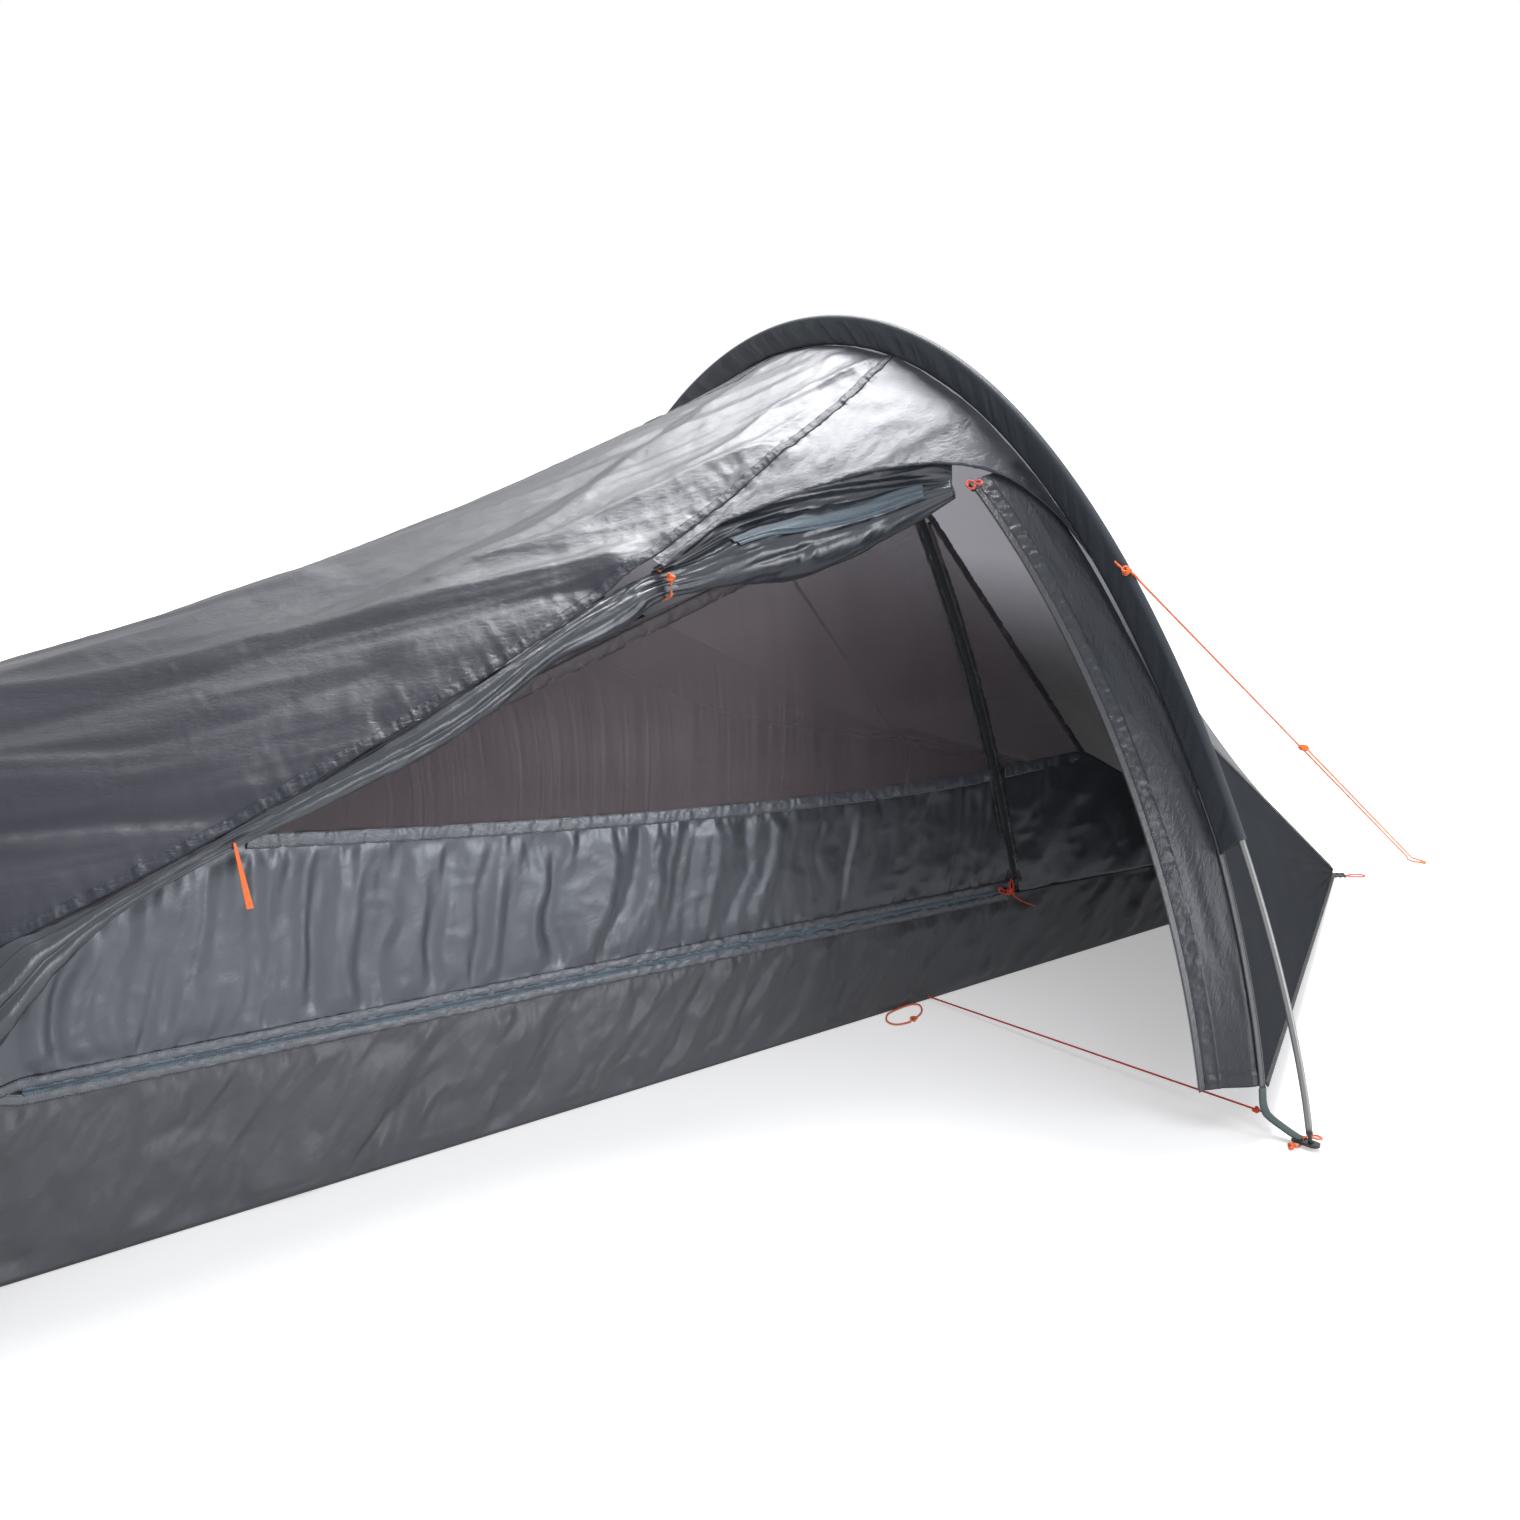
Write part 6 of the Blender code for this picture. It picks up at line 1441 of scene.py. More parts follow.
def make_inner_shell(finishes):
    """Floor, far wall, net roof and end walls of the inner tent."""
    x = np.linspace(INNER_FOOT_X, INNER_HEAD_X, 260)[:, None]
    share = np.linspace(0, 1, 70)[None, :]
    y = INNER_NEAR_Y + (far_y(x) - INNER_NEAR_Y) * share
    rows = points_of(x, y, FLOOR_THICKNESS)
    lift = np.clip(0.0016 * creased(x / 0.10, y / 0.08, 421) + 0.0008 * creased(x / 0.03, y / 0.03, 423), 0, 0.004)
    sheet_piece("inner_floor_cloth", rows, (0, 0, 1), finishes["tub"], inside(share, 0.05) * lift,
                ("inner_floor",), 0.0010)

    rise = np.linspace(0, 1, 60)[None, :]
    z = GROUND + (far_top(x) - FLOOR_THICKNESS) * rise
    held = inside(rise, 0.1)
    lift = add_layers(gather(x, (1 - rise) * 0.3, 0.001, 435), (
        (held, 0.006, layered, x / 0.14, z / 0.2, 431),
        (held, 0.002, creased, x / 0.06, z / 0.06, 433),
    ))
    sheet_piece("inner_far_cloth", points_of(x, far_y(x) + CLOTH, z), (0, 1, 0), finishes["panel"], lift,
                ("inner_far_wall",))

    top_near = near_top(x)
    z = top_near + (far_top(x) - top_near) * share
    held = inside(share, 0.06)
    lift = add_layers(-0.001, (
        (held, 0.007, layered, x / 0.30, y / 0.16, 441),
        (held, 0.002, creased, x / 0.12, y / 0.08, 443),
    ))
    sheet_piece("inner_roof_net", points_of(x, y, z + CLOTH), (0, 0, 1), finishes["net"], lift,
                ("inner_roof_mesh",), 0.0)

    rise = np.linspace(0, 1, 30)[None, :]
    held = inside(rise, 0.15)
    for name, end_x, way, height in (
        ("head", INNER_HEAD_X, 1.0, INNER_HEAD_HEIGHT), ("foot", INNER_FOOT_X, -1.0, INNER_FOOT_HEIGHT)
    ):
        y = np.linspace(INNER_NEAR_Y, float(far_y(end_x)), 120)[:, None]
        top = np.interp(y, (y[0, 0], y[-1, 0]), (height, float(far_top(end_x)))) - TOUCH_GAP
        z = GROUND + (top - FLOOR_THICKNESS) * rise
        lift = add_layers(0.0, (
            (held, 0.0040, layered, y / 0.1, z / 0.1, 451),
            (held, 0.0015, creased, y / 0.05, z / 0.05, 453),
        ))
        sheet_piece(f"inner_{name}_cloth", points_of(end_x + way * (TOUCH_GAP + CLOTH), y, z), (way, 0, 0),
                    finishes["panel"], lift, (f"inner_{name}_wall",))


# Poles, straps and fittings


def pole_line(hoop):
    """A pole's middle line from foot to foot."""
    start = float(angle_at_height(hoop, POLE_FOOT_HEIGHT))
    return spaced(hoop_points(hoop, np.linspace(start, math.pi - start, 3000)), 0.012)


def make_poles(finishes):
    """Smooth alloy sections, drawn in a little at each joint."""
    for prefix, hoop, sections in (("main", MAIN_HOOP, 5), ("foot", FOOT_HOOP, 2)):
        line = pole_line(hoop)
        run = run_along(line)
        for number in range(sections):
            low, high = run[-1] * number / sections, run[-1] * (number + 1) / sections
            path = at_runs(np.linspace(low + (TOUCH_GAP if number else 0.0), high - TOUCH_GAP, 60), run, line)
            radius = np.full(60, POLE_DIAMETER / 2)
            radius[[0, -1]] *= 0.93
            name = f"{prefix}_pole_{number + 1}"
            pole = tube_piece(f"dressed_{name}", path, radius, finishes["alloy"], 20, rounded=False)
            carried(pole, replaces=(name,))


def fly_corner(far):
    """The corner of the outer cloth at a hoop foot."""
    low = float(angle_at_height(MAIN_HOOP, HEM_HEIGHTS[0], SLEEVE_DEPTH))
    return fly_points(0.0, math.pi - low if far else low)


def pin_place(far):
    """The middle of the pin under a foot of the main pole."""
    line = pole_line(MAIN_HOOP)
    end, towards = (line[-1], line[-2]) if far else (line[0], line[1])
    along = unit(towards - end)
    return end - along * ((end[2] - PIN_HEIGHT) / along[2])


SIDES = (("near", False, -1.0), ("far", True, 1.0))
FITTINGS = {
    "plastic": ("near_eyelet", "far_eyelet", "head_near_buckle", "head_far_buckle", "inner_slider_bottom",
                "inner_slider_upright", "fly_zip_slider", "main_pole_tip_near", "main_pole_tip_far",
                "foot_pole_tip_near", "foot_pole_tip_far"),
    "orange_plastic": ("guy_runner",),
    "grey_plastic": ("toggle_front",),
    "pull_tape": ("tie_tail",),
}


def make_straps(finishes):
    """Ribbed webbing from each cloth corner to its eyelet, and the two guy tabs."""
    for side_name, far, way in SIDES:
        corner = fly_corner(far)
        end = pin_place(far)[1] - way * (EYELET_HOLE + 0.0028 + TOUCH_GAP)
        knots = ((0.0, corner[1], corner[2] - 0.0008), (0.0, corner[1] + way * 0.002, 0.036),
                 (0.0, corner[1] + way * 0.006, 0.026), (0.0, corner[1] + way * 0.015, 0.019),
                 (0.0, end - way * 0.008, EYELET_TOP + 0.0008), (0.0, end + way * 0.004, EYELET_TOP + TOUCH_GAP))
        path = smooth_path(knots, 8)
        out = unit(np.cross((1.0, 0.0, 0.0), np.gradient(path, axis=0)))
        out = out * np.sign(out[:, 2:3] + 0.3 * way * out[:, 1:2])
        strap_piece(f"{side_name}_strap_webbing", path + out * 0.0008, out, 0.0135, 0.0016, finishes["webbing"],
                    (f"{side_name}_foot_strap",), 0.1)
        root, eye, outward = guy_tab(far)
        line = spaced(np.array([root, (root + eye) / 2, eye]), 0.002)
        strap_piece(f"{side_name}_tab_webbing", line, outward, 0.025, 0.0016, finishes["webbing"],
                    (f"guy_tab_{side_name}",), 0.1)


def finish_fittings(finishes):
    """Gives the moulded fittings and the tie's tail their finish and soft edges."""
    for finish, names in FITTINGS.items():
        for name in names:
            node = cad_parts[name]
            node.data.materials.clear()
            node.data.materials.append(finishes[finish])
            bevel = node.modifiers.new("Soft edges", "BEVEL")
            bevel.width, bevel.segments, bevel.limit_method = 0.0003, 2, "ANGLE"
            bevel.angle_limit = math.radians(40)


def guy_tab(far):
    """Root, eye and outward way of the webbing tab that takes the guyline."""
    pole, seam = pole_and_seam(MAIN_HOOP, math.pi - GUY_ANGLE if far else GUY_ANGLE)
    root = pole + (seam - pole) * 0.1 + np.array((SLEEVE_RADIUS + 6 * TOUCH_GAP, 0.0, 0.0))
    peg = np.array((GUY_PEG[0], -GUY_PEG[1] if far else GUY_PEG[1], GUY_PEG[2]))
    return root, root + 0.014 * unit(peg - root), unit(pole - seam)


# Cords


def cord_piece(name, path, diameter, finish, node, body="tent", spacing=None, sides=10):
    """A braided cord along the part's own route."""
    path = spaced(path, spacing or max(diameter * 0.8, 0.002))
    cord = tube_piece(name, path, diameter / 2, finish, sides)
    carried(cord, body, (node,))


def knot_piece(name, place, forward, size, finish, body="tent"):
    """A small overhand knot: a cord wound round itself."""
    forward = unit(forward)
    side = unit(np.cross(forward, (0.3, 0.2, 0.9)))
    up = np.cross(forward, side)
    turns = np.linspace(0, 4 * math.pi, 40)
    radius = size * (0.42 + 0.10 * np.cos(turns * 1.5))
    path = np.asarray(place) + forward * (np.linspace(-0.45, 0.45, 40) * size)[:, None]
    path = path + side * (np.cos(turns) * radius)[:, None] + up * (np.sin(turns) * radius)[:, None]
    path[:, 2] = np.maximum(path[:, 2], size * 0.25)
    carried(tube_piece(name, path, size * 0.24, finish, 8), body)


def guy_route():
    """The guyline's line: round the sleeve, down to its peg loop and back to the runner."""
    wrap = []
    reach = SLEEVE_RADIUS + GUY_CORD / 2 + 2 * TOUCH_GAP
    for turn, drop in ((-100, 0.0), (-90, 0.006), (-65, 0.014), (-35, 0.020), (0, 0.027), (35, 0.034)):
        pole, seam = pole_and_seam(MAIN_HOOP, GUY_ANGLE + 0.016 - drop)
        turn = math.radians(turn)
        wrap.append(pole + reach * (math.cos(turn) * unit(pole - seam) + math.sin(turn) * np.array((1.0, 0.0, 0.0))))
    start, peg = wrap[-1], np.array(GUY_PEG)
    away = unit(peg - start)
    side = unit(np.cross(away, (0.0, 0.0, 1.0)))
    flat = unit((away[0], away[1], 0.0))
    width, gap = 0.012, 0.008
    bottom = peg - away * 3 * width
    strand = [start + (bottom - start) * k / 8 for k in range(9)]
    loop = []
    for reach, across in ((0.020, -0.4), (0.034, 0.2), (0.040, 1.0), (0.034, 1.8), (0.020, 2.1)):
        place = bottom + flat * reach + side * across * width
        place[2] = max(peg[2], bottom[2] + away[2] * reach)
        loop.append(place)
    middle = start + away * float(np.linalg.norm(peg - start)) * 0.50
    back_start, back_end = bottom + side * gap, middle + away * (0.005 / 2 + TOUCH_GAP) + side * gap
    back = [back_start + (back_end - back_start) * k / 5 for k in range(6)]
    end_loop = smooth_path([strand[-1], *loop, back[0]], 4)
    return np.array([*smooth_path(wrap, 2)[:-1], *strand[:-1], *end_loop, *back[1:]])


def ground_knots(knots):
    """A closed loop on the ground."""
    return smooth_path([(knot[0], knot[1], LOOP_CORD / 2 + TOUCH_GAP) for knot in knots], 5, cyclic=True)


def open_loop(path):
    """A closed route as an open one whose ends stop beside each other, at a knot."""
    run = run_along(path)
    return np.asarray(path)[run < run[-1] - 0.0015]


def lay_ground_cords(sides, orange, dark):
    """Guyline, ground tie, and the loops that lie on the ground."""
    route = guy_route()
    cord_piece("guyline_cord", route, GUY_CORD, orange, "guyline", sides=sides)
    place = route[5] + (route[6] - route[5]) * 0.2 + (-0.004, -0.003, 0.0)
    knot_piece("guyline_knot", place, route[12] - route[11], 0.0085, orange)

    start = np.array((0.024, INNER_NEAR_Y - CLOTH / 2 - 2 * TOUCH_GAP, 0.005))
    end = np.array((0.0, fly_corner(False)[1] - 0.0060, 0.024))
    path = np.array([start + (end - start) * k / 12 for k in range(13)])
    cord_piece("ground_tie_cord", path, LOOP_CORD, dark, "cross_cord", sides=sides)
    knot_piece("ground_tie_knot", end + (0.0, 0.012, -0.0002), end - start, 0.0062, dark)

    low, over, hole = LOOP_CORD / 2 + TOUCH_GAP, EYELET_TOP + LOOP_CORD / 2 + 2 * TOUCH_GAP, EYELET_HOLE
    knots = (
        (-0.019, hole + 0.002, low + 0.001), (-0.010, hole - 0.001, low), (-0.002, hole, low + 0.0008),
        (0.0, hole, PIN_HEIGHT), (0.002, hole, over), (0.010, hole - 0.001, over - 0.001),
        (0.020, hole - 0.007, low + 0.003), (0.031, hole - 0.006, low), (0.034, hole + 0.003, low),
        (0.025, hole + 0.009, low), (0.012, hole + 0.009, low), (-0.004, hole + 0.009, low),
        (-0.014, hole + 0.008, low),
    )
    for side_name, far, way in SIDES:
        pin = pin_place(far)
        path = open_loop(smooth_path([(pin[0] + dx, pin[1] - way * dy, z) for dx, dy, z in knots], 4, cyclic=True))
        cord_piece(f"{side_name}_peg_cord", path, LOOP_CORD, orange, f"{side_name}_peg_loop", sides=sides)
        knot_piece(f"{side_name}_peg_knot", path[0] + (0, 0, 0.001), (1, way * 0.3, 0), 0.0068, orange)
    knots = ((-0.012, -0.1779), (-0.040, -0.1794), (-0.065, -0.1860), (-0.084, -0.2050), (-0.084, -0.2220),
             (-0.064, -0.2270), (-0.045, -0.2210), (-0.027, -0.2130), (-0.012, -0.2000), (-0.004, -0.1860))
    path = open_loop(np.roll(ground_knots(knots), -28, axis=0))
    cord_piece("inner_peg_cord", path, LOOP_CORD, orange, "inner_peg_loop", sides=sides)
    knot_piece("inner_peg_knot", path[0] + (0, 0, 0.001), (1, 0.3, 0), 0.0066, orange)

    outward = unit((1.0, -0.85, 0.0))
    reach = 2 * 0.010 + 1.4 * CLOTH + LOOP_CORD / 2 + TOUCH_GAP
    begin = np.array((HEAD_REACH, HEAD_NEAR_Y, 0.0)) + reach * outward
    across = np.cross((0, 0, 1), outward)
    knots = ((0.0, 0.0), (0.25, 0.7), (0.6, 1.0), (0.95, 0.55), (1.0, -0.25), (0.75, -0.8), (0.3, -0.6))
    path = open_loop(ground_knots([begin + 0.032 * a * outward + 0.009 * b * across for a, b in knots]))
    cord_piece("head_corner_cord", path, LOOP_CORD, dark, "head_near_loop", sides=sides)


def lay_hanging_cords(sides, orange, elastic):
    """The front tie with its toggle loop, the elastic at the inner peak, and the pole's shock cord."""
    x, y, z, radius = FRONT_TIE
    ring_radius = radius + GUY_CORD / 2 + 3 * TOUCH_GAP
    outer_y = y - radius - 0.0090
    turns = np.radians((100, 60, 20, -20, -55, -85, -110))
    behind = [(x, y + ring_radius * math.cos(a), z + ring_radius * math.sin(a)) for a in turns]
    front = [(x, outer_y, z + k * 0.0060) for k in (-1.6, -0.8, 0.0, 0.8, 1.6)]
    path = open_loop(smooth_path(behind + front, 3, cyclic=True))
    cord_piece("front_tie_cord", path, GUY_CORD, orange, "toggle_front_cord", sides=sides)
    knot_piece("front_tie_knot", np.array((x, outer_y, z + 0.0125)), (0.3, 0.0, 1.0), 0.0075, orange)

    peak = np.array((INNER_PEAK[0], INNER_NEAR_Y + LOOP_CORD, INNER_PEAK[1] + CLOTH + TOUCH_GAP))
    hook = fly_points(-INNER_PEAK[0], seam_angle(-INNER_PEAK[0]), LOOP_CORD / 2)
    path = smooth_path([peak, (peak + hook) / 2, hook], 3)
    cord_piece("inner_hanger_cord", path, LOOP_CORD, elastic, "inner_hanger", sides=sides)
    path = spaced(pole_line(MAIN_HOOP), 0.02)[1:-1]
    cord_piece("main_elastic_cord", path, 0.0024, elastic, "main_pole_elastic", spacing=0.02, sides=8)


def lay_pulls(sides, dark):
    """The bow on the inner slider and the bunched pull on the outer door's slider."""
    x = ZIP_HEAD[0] - 0.010
    height = float(zip_height(x))
    face = ZIP_FACE_Y - 2 * (TOUCH_GAP + SLIDER_PLATE) - LOOP_CORD / 2
    # The bow's knots: ahead, up, and the layer that each lies in
    bow = (
        (0.000, 0.000, 0), (-0.010, 0.003, 0), (-0.019, 0.009, 0), (-0.020, 0.003, 0), (-0.009, -0.002, 0),
        (0.003, -0.004, 1), (0.006, 0.008, 1), (0.001, 0.018, 1), (-0.005, 0.010, 2), (-0.001, 0.000, 2),
        (0.012, -0.012, 2), (0.030, -0.022, 2), (0.050, -0.031, 2),
    )
    path = smooth_path([(x + dx, face - 1.3 * layer * LOOP_CORD, height + dz) for dx, dz, layer in bow], 4)
    slider = "inner_bottom_slider"
    cord_piece("inner_bow_cord", path, LOOP_CORD, dark, "inner_pull_bow", body=slider, sides=sides)
    place = np.array((x - 0.001, face - 0.004, height + 0.001))
    knot_piece("inner_bow_knot", place, (0.4, 0.0, -0.9), 0.0080, dark, slider)

    centre, axis, start, side, arc_radius, _ = circle_through(*DOOR_EDGE)
    way = -math.copysign(1.0, axis[0])
    turn = 0.010 / arc_radius
    ray = math.cos(turn) * start + math.sin(turn) * side
    ahead = np.cross(axis, ray)
    origin = centre + (arc_radius - CLOTH / 2) * ray
    plate = 0.0008 + TOUCH_GAP + SLIDER_PLATE
    front = TOUCH_GAP + DOOR_ZIP_WIDTH + TOUCH_GAP - 0.005
    # The pull's knots: ahead, out from the zip's face, and off the slider's plate
    pull = (
        (-0.003, 0.000, 0.0015), (0.002, 0.004, 0.0015), (0.007, 0.008, 0.0018), (0.005, 0.015, 0.0022),
        (-0.001, 0.016, 0.0030), (-0.005, 0.011, 0.0045), (-0.001, 0.006, 0.0052), (0.005, 0.001, 0.0056),
        (0.003, -0.006, 0.0050), (-0.004, -0.006, 0.0030),
    )
    knots = [origin + a * ahead + (front + b) * way * axis + (plate + TOUCH_GAP + c) * ray for a, b, c in pull]
    path = open_loop(smooth_path(knots, 4, cyclic=True))
    cord_piece("door_pull_cord", path, LOOP_CORD, dark, "fly_zip_pull", body="fly_slider", sides=sides)


# Stage


def make_stage():
    """Pale floor, white surroundings, two broad lamps overhead, three softer fills and the photo's camera."""
    size, depth = 14.0, -0.0006
    corners = [(-size, -size, depth), (size, -size, depth), (size, size, depth), (-size, size, depth)]
    put_mesh("studio_floor", corners, [(0, 1, 2, 3)], floor_finish("studio_floor"))
    world = bpy.data.worlds.new("studio")
    world.use_nodes = True
    nodes = Nodes(world.node_tree)
    nodes.tree.nodes.remove(nodes.tree.nodes["Background"])
    seen, glossy, passing = (nodes.node("ShaderNodeLightPath", output=kind) for kind in WHITE_RAYS)
    white = nodes.node("ShaderNodeBackground", None, {"Color": WHITE, "Strength": 1.0})
    light = nodes.node("ShaderNodeBackground", None, {"Color": (0.92, 0.95, 1.0, 1.0), "Strength": 0.30})
    seen_by = (seen + glossy + passing).maths("MINIMUM", 1.0)
    shown = nodes.node("ShaderNodeMixShader", None, {0: seen_by, 1: light, 2: white})
    nodes.join(nodes.tree.nodes["World Output"].inputs["Surface"], shown)
    scene = bpy.context.scene
    scene.world = world
    for name, place, aim, width, power in (
        ("key_over_brow", (0.72, 0.70, 2.75), (0.72, 0.6999, 0.0), (1.0, 1.7), 145.0),
        ("key_behind", (0.90, 2.20, 2.80), (0.80, 2.1999, 0.0), (2.0, 2.0), 46.0),
        ("front_ceiling", (-1.1, -1.7, 3.0), (-0.5, -0.2, 0.3), (2.4, 2.4), 46.0),
        ("low_front", (0.9, -2.9, 0.75), (-0.6, -0.2, 0.3), (1.3, 1.3), 40.0),
        ("left_fill", (-3.4, -1.6, 1.0), (-0.6, -0.1, 0.3), (1.3, 1.3), 12.0),
    ):
        data = bpy.data.lights.new(name, "AREA")
        data.shape = "RECTANGLE"
        (data.size, data.size_y), data.energy = width, power
        lamp = bpy.data.objects.new(name, data)
        lamp.visible_glossy = name != "front_ceiling"
        lamp.location = place
        lamp.rotation_mode = "QUATERNION"
        lamp.rotation_quaternion = Vector(np.subtract(aim, place)).to_track_quat("-Z", "Y")
        scene.collection.objects.link(lamp)
    camera = bpy.data.objects.new("photo_camera", bpy.data.cameras.new("photo_camera"))
    camera.location = (-1.917, -2.085, 0.97)
    camera.rotation_euler = (math.radians(77.17), 0.0, math.radians(-40.45))
    camera.data.lens, camera.data.sensor_width, camera.data.sensor_fit = 47.63, 36.0, "HORIZONTAL"
    camera.data.shift_y = -2 / 1520
    camera.data.clip_end = 60.0
    scene.collection.objects.link(camera)
    scene.camera = camera
    scene.view_settings.view_transform = "Standard"


def all_finishes(colours):
    """Every finish of the tent by its plain name."""

    def of(key, factor=1.0):
        return tuple(c * factor for c in getattr(colours, key))

    return {
        "outer": cloth_finish("coated_outer_cloth", of("outer"), 0.36, 0.15, through=0.17, crinkle=0.6, specular=0.36,
                              glow=(0.74, 0.72, 0.77), lay=(60.0, 160.0)),
        "outer_band": cloth_finish("folded_seam_cloth", of("outer", 1.1), 0.50, 0.1, crinkle=0.8, specular=0.25),
        "jamb": cloth_finish("jamb_cloth", (0.032, 0.036, 0.045), 0.35, 0.25, through=0.05, crinkle=0.8,
                             specular=0.45),
        "sleeve": cloth_finish("sleeve_weave", of("sleeve"), 0.55, crinkle=0.25, specular=0.35),
        "head": cloth_finish("head_panel_cloth", of("head"), 0.52, through=0.05, crinkle=0.4, specular=0.0),
        "head_binding": ribbed_finish("bound_edge", of("head", 0.35), 0.0012, 0.7, 0.4),
        "door": cloth_finish("door_inner_face", of("door"), 0.28, 0.30, crinkle=0.35, specular=0.8),
        "tub": cloth_finish("tub_cloth_coated", of("tub"), 0.44, 0.3, crinkle=0.35, specular=0.4),
        "panel": cloth_finish("inner_panel_cloth", of("panel", 1.05), 0.33, 0.5, crinkle=0.25, through=0.06,
                              streak=0.2, specular=0.6),
        # The head's top panel lets less light through lower down: painted shade on its lower part.
        "head_top": cloth_finish("head_top_cloth", of("outer"), 0.40, 0.15, through=0.38, specular=0.4,
                                 glow=(0.74, 0.73, 0.77), painted_shade_fade=1.25),
        "jamb_band": cloth_finish("jamb_hem_cloth", (0.045, 0.047, 0.054), 0.40, 0.3, crinkle=0.9, specular=0.7),
        "net_hem": cloth_finish("net_binding", (0.030, 0.022, 0.027), 0.55, crinkle=0.4),
        "dark_coil": plastic_finish("jamb_zip_coil", (0.02, 0.025, 0.03), 0.4),
        "strip": cloth_finish("gathered_strip", of("panel", 1.15), 0.38, 0.35, crinkle=0.8, specular=0.8),
        "dark_tape": ribbed_finish("dark_zip_tape_weave", (0.024, 0.028, 0.036), 0.0014, 0.6, 0.5),
        "dark_strip": cloth_finish("upright_binding", (0.022, 0.024, 0.028), 0.5, crinkle=0.4),
        "net": net_finish("insect_net", of("net")),
        "tape": ribbed_finish("zip_tape_weave", of("tape"), 0.0014, 0.6, 0.5),
        # The bottom inner zip's tape: the zip tape's colour half again as light, painted light that keeps it from
        # showing dim.
        "inner_tape": ribbed_finish("inner_zip_tape_weave", of("tape", 1.5), 0.0014, 0.6, 0.5),
        "coil": plastic_finish("zip_coil", (0.10, 0.145, 0.18), 0.4),
        "thread": plastic_finish("sewing_thread", (0.040, 0.042, 0.050), 0.6),
        "webbing": ribbed_finish("ribbed_webbing", of("webbing"), 0.0018),
        "cord": braid_finish("orange_braid", of("cord")),
        "pull": braid_finish("red_braid", of("pull")),
        "pull_tape": ribbed_finish("orange_tape", of("cord"), 0.0012, 0.6, 0.4),
        "elastic": braid_finish("covered_elastic", (0.025, 0.026, 0.03)),
        "alloy": alloy_finish("anodised_pole", of("alloy")),
        "plastic": plastic_finish("moulded_plastic", of("plastic")),
        "orange_plastic": plastic_finish("runner_plastic", (0.85, 0.16, 0.035)),
        "grey_plastic": plastic_finish("toggle_plastic", (0.12, 0.13, 0.15)),
    }


FINISHES = {}


def finishes_for(context):
    """The finishes, made at the first call."""
    if not FINISHES:
        FINISHES.update(all_finishes(context.scene.tent_colours))
    return FINISHES


class TENT_OT_stage(Operator):
    """Set up the pale floor, the lamps and the camera."""

    bl_idname = "tent.stage"
    bl_label = "Stage"

    def execute(self, context):
        make_stage()
        return {"FINISHED"}


class TENT_OT_cords(Operator):
    """Lay the guyline, the ground tie, the peg loops and the pulls."""

    bl_idname = "tent.cords"
    bl_label = "Cords"

    def execute(self, context):
        sides, finishes = context.scene.tent_shape.cord_sides, finishes_for(context)
        lay_ground_cords(sides, finishes["cord"], finishes["pull"])
        lay_hanging_cords(sides, finishes["cord"], finishes["elastic"])
        lay_pulls(sides, finishes["pull"])
        return {"FINISHED"}


class TENT_OT_outer_cloth(Operator):
    """Hang the roof sheet with its folds, seam bands, hems and stitches."""

    bl_idname = "tent.outer_cloth"
    bl_label = "Outer cloth"

    def execute(self, context):
        make_outer_cloth(context.scene.tent_shape, finishes_for(context))
        return {"FINISHED"}


class TENT_OT_ends(Operator):
    """Close the head end and the foot end."""

    bl_idname = "tent.ends"
    bl_label = "Head and foot ends"

    def execute(self, context):
        make_head_panels(context.scene.tent_shape, finishes_for(context))
        make_foot_end(context.scene.tent_shape, finishes_for(context))
        make_hoop_seams(finishes_for(context))
        return {"FINISHED"}


class TENT_OT_sleeves(Operator):
    """Sew the pole sleeves."""

    bl_idname = "tent.sleeves"
    bl_label = "Pole sleeves"

    def execute(self, context):
        make_sleeves(context.scene.tent_shape, finishes_for(context))
        return {"FINISHED"}


class TENT_OT_jamb(Operator):
    """Make the strip beside the door and the door's zip."""

    bl_idname = "tent.jamb"
    bl_label = "Door jamb"

    def execute(self, context):
        make_jamb(context.scene.tent_shape, finishes_for(context))
        return {"FINISHED"}


class TENT_OT_rolled_door(Operator):
    """Roll up the door and lay its zip tape on the roll."""

    bl_idname = "tent.rolled_door"
    bl_label = "Rolled door"

    def execute(self, context):
        make_rolled_door(context.scene.tent_shape, finishes_for(context))
        return {"FINISHED"}


class TENT_OT_inner_wall(Operator):
    """Make the inner tent's near wall of tub, panels and net."""

    bl_idname = "tent.inner_wall"
    bl_label = "Inner near wall"

    def execute(self, context):
        for make in (make_tub_wall, make_door_panel, make_door_net, make_side_wall):
            make(context.scene.tent_shape, finishes_for(context))
        return {"FINISHED"}


class TENT_OT_inner_zips(Operator):
    """Sew in the inner zips and the gathered strips."""

    bl_idname = "tent.inner_zips"
    bl_label = "Inner zips"

    def execute(self, context):
        make_inner_zips(context.scene.tent_shape, finishes_for(context))
        return {"FINISHED"}


class TENT_OT_inner_shell(Operator):
    """Make the inner tent's floor, far wall, ends and net roof."""

    bl_idname = "tent.inner_shell"
    bl_label = "Inner shell"

    def execute(self, context):
        make_inner_shell(finishes_for(context))
        return {"FINISHED"}


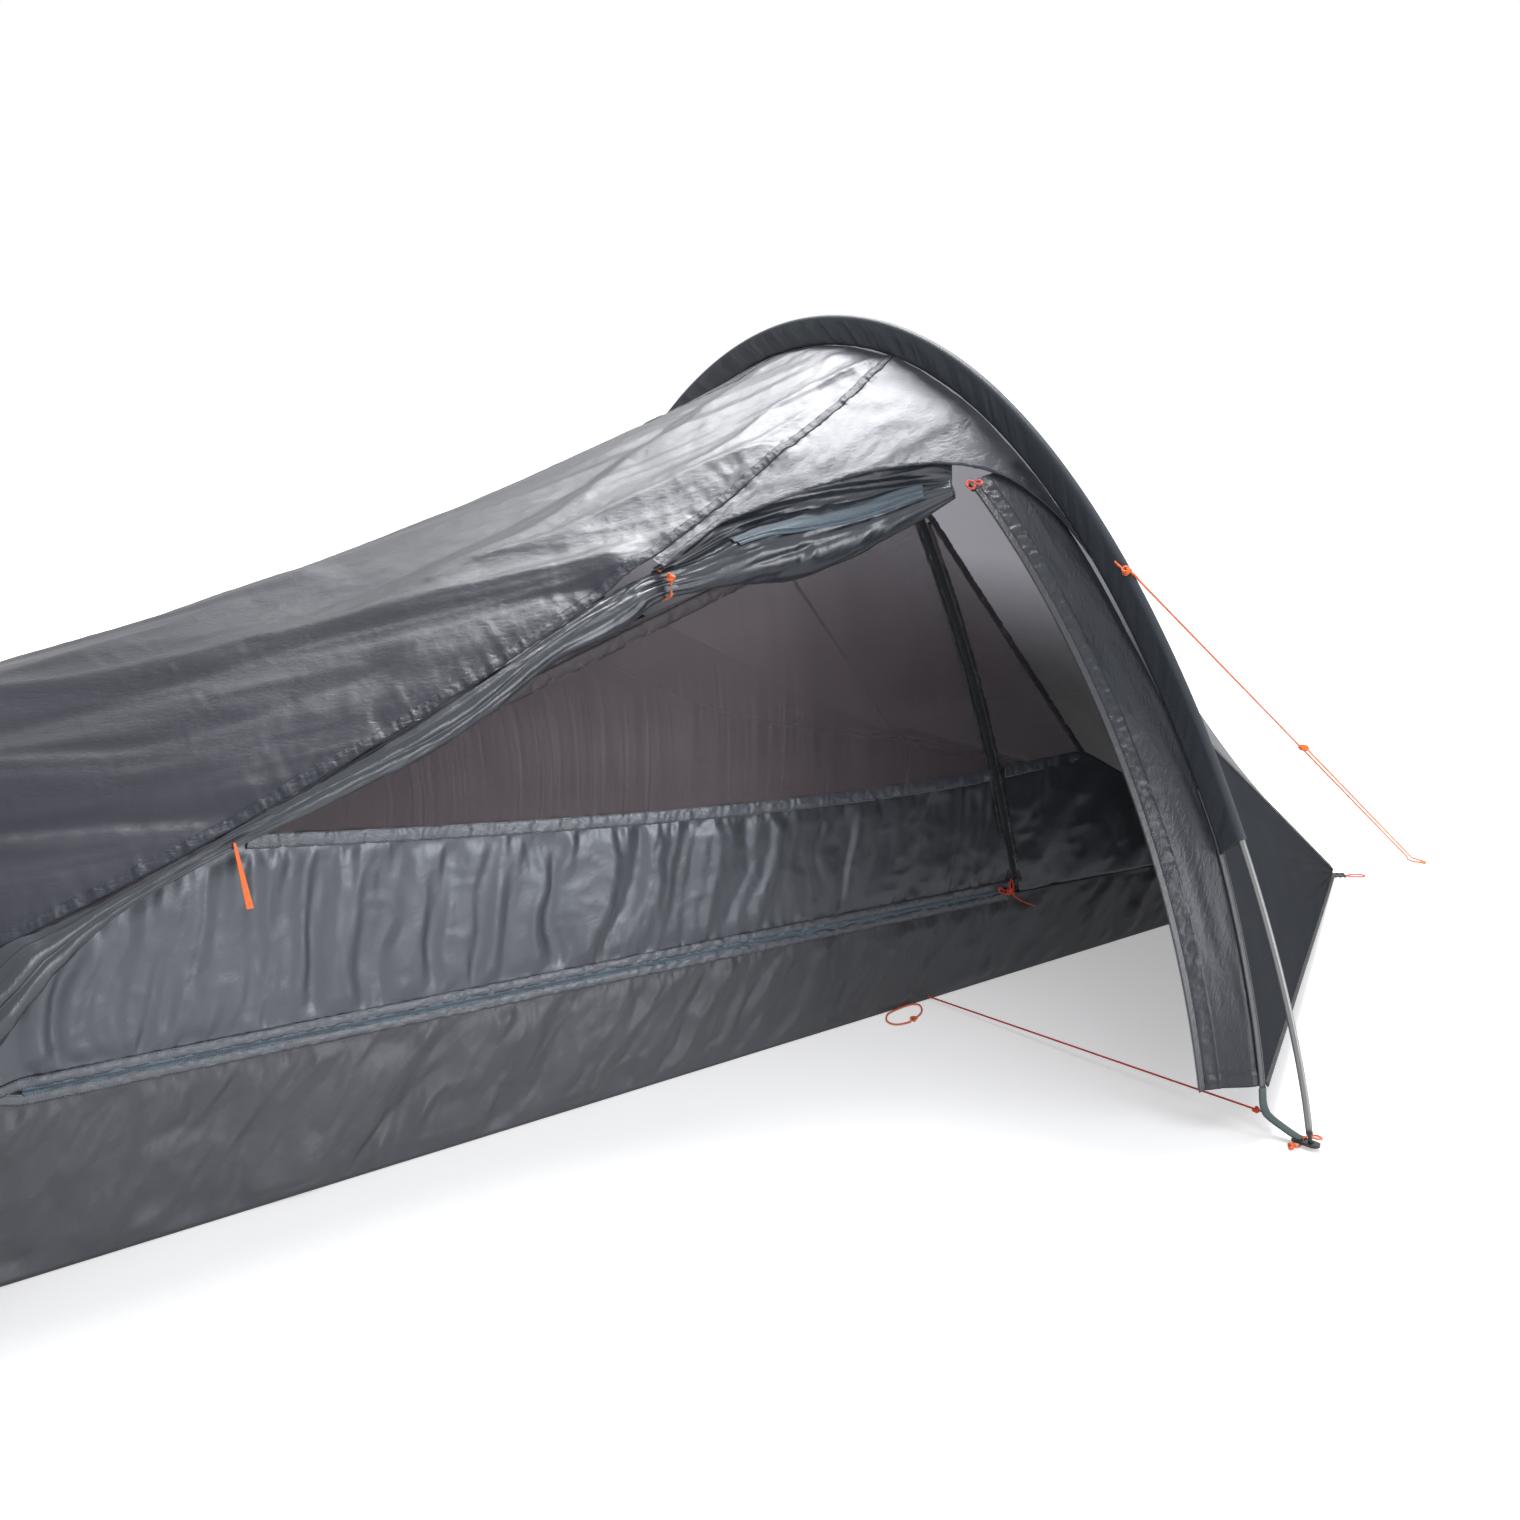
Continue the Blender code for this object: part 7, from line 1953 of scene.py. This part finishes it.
class TENT_OT_poles(Operator):
    """Make the alloy pole sections."""

    bl_idname = "tent.poles"
    bl_label = "Poles"

    def execute(self, context):
        make_poles(finishes_for(context))
        return {"FINISHED"}


class TENT_OT_fittings(Operator):
    """Make the webbing and finish the moulded fittings."""

    bl_idname = "tent.fittings"
    bl_label = "Straps and fittings"

    def execute(self, context):
        make_straps(finishes_for(context))
        finish_fittings(finishes_for(context))
        return {"FINISHED"}


OPERATORS = (
    TENT_OT_stage, TENT_OT_cords, TENT_OT_outer_cloth, TENT_OT_ends, TENT_OT_sleeves, TENT_OT_jamb, TENT_OT_rolled_door,
    TENT_OT_inner_wall, TENT_OT_inner_zips, TENT_OT_inner_shell, TENT_OT_poles, TENT_OT_fittings,
)


class TENT_PT_sidebar(Panel):
    """Lists the tent's sizes, colours and pieces."""

    bl_idname = "TENT_PT_sidebar"
    bl_label = "One-person tent"
    bl_space_type = "VIEW_3D"
    bl_region_type = "UI"
    bl_category = "Tent"

    def draw(self, context):
        for group in (context.scene.tent_shape, context.scene.tent_colours):
            box = self.layout.box()
            for key in group.__annotations__:
                box.prop(group, key)
        for made in OPERATORS:
            self.layout.operator(made.bl_idname)


CLASSES = (TentShape, TentColours, *OPERATORS, TENT_PT_sidebar)


def register():
    for made in CLASSES:
        bpy.utils.register_class(made)
    bpy.types.Scene.tent_shape = PointerProperty(type=TentShape)
    bpy.types.Scene.tent_colours = PointerProperty(type=TentColours)


def unregister():
    del bpy.types.Scene.tent_colours
    del bpy.types.Scene.tent_shape
    for made in reversed(CLASSES):
        bpy.utils.unregister_class(made)


def main():
    register()
    bpy.ops.tent.stage()
    bpy.ops.tent.cords()
    bpy.ops.tent.outer_cloth()
    bpy.ops.tent.ends()
    bpy.ops.tent.sleeves()
    bpy.ops.tent.jamb()
    bpy.ops.tent.rolled_door()
    bpy.ops.tent.inner_wall()
    bpy.ops.tent.inner_zips()
    bpy.ops.tent.inner_shell()
    bpy.ops.tent.poles()
    bpy.ops.tent.fittings()


if __name__ == "__main__":
    main()
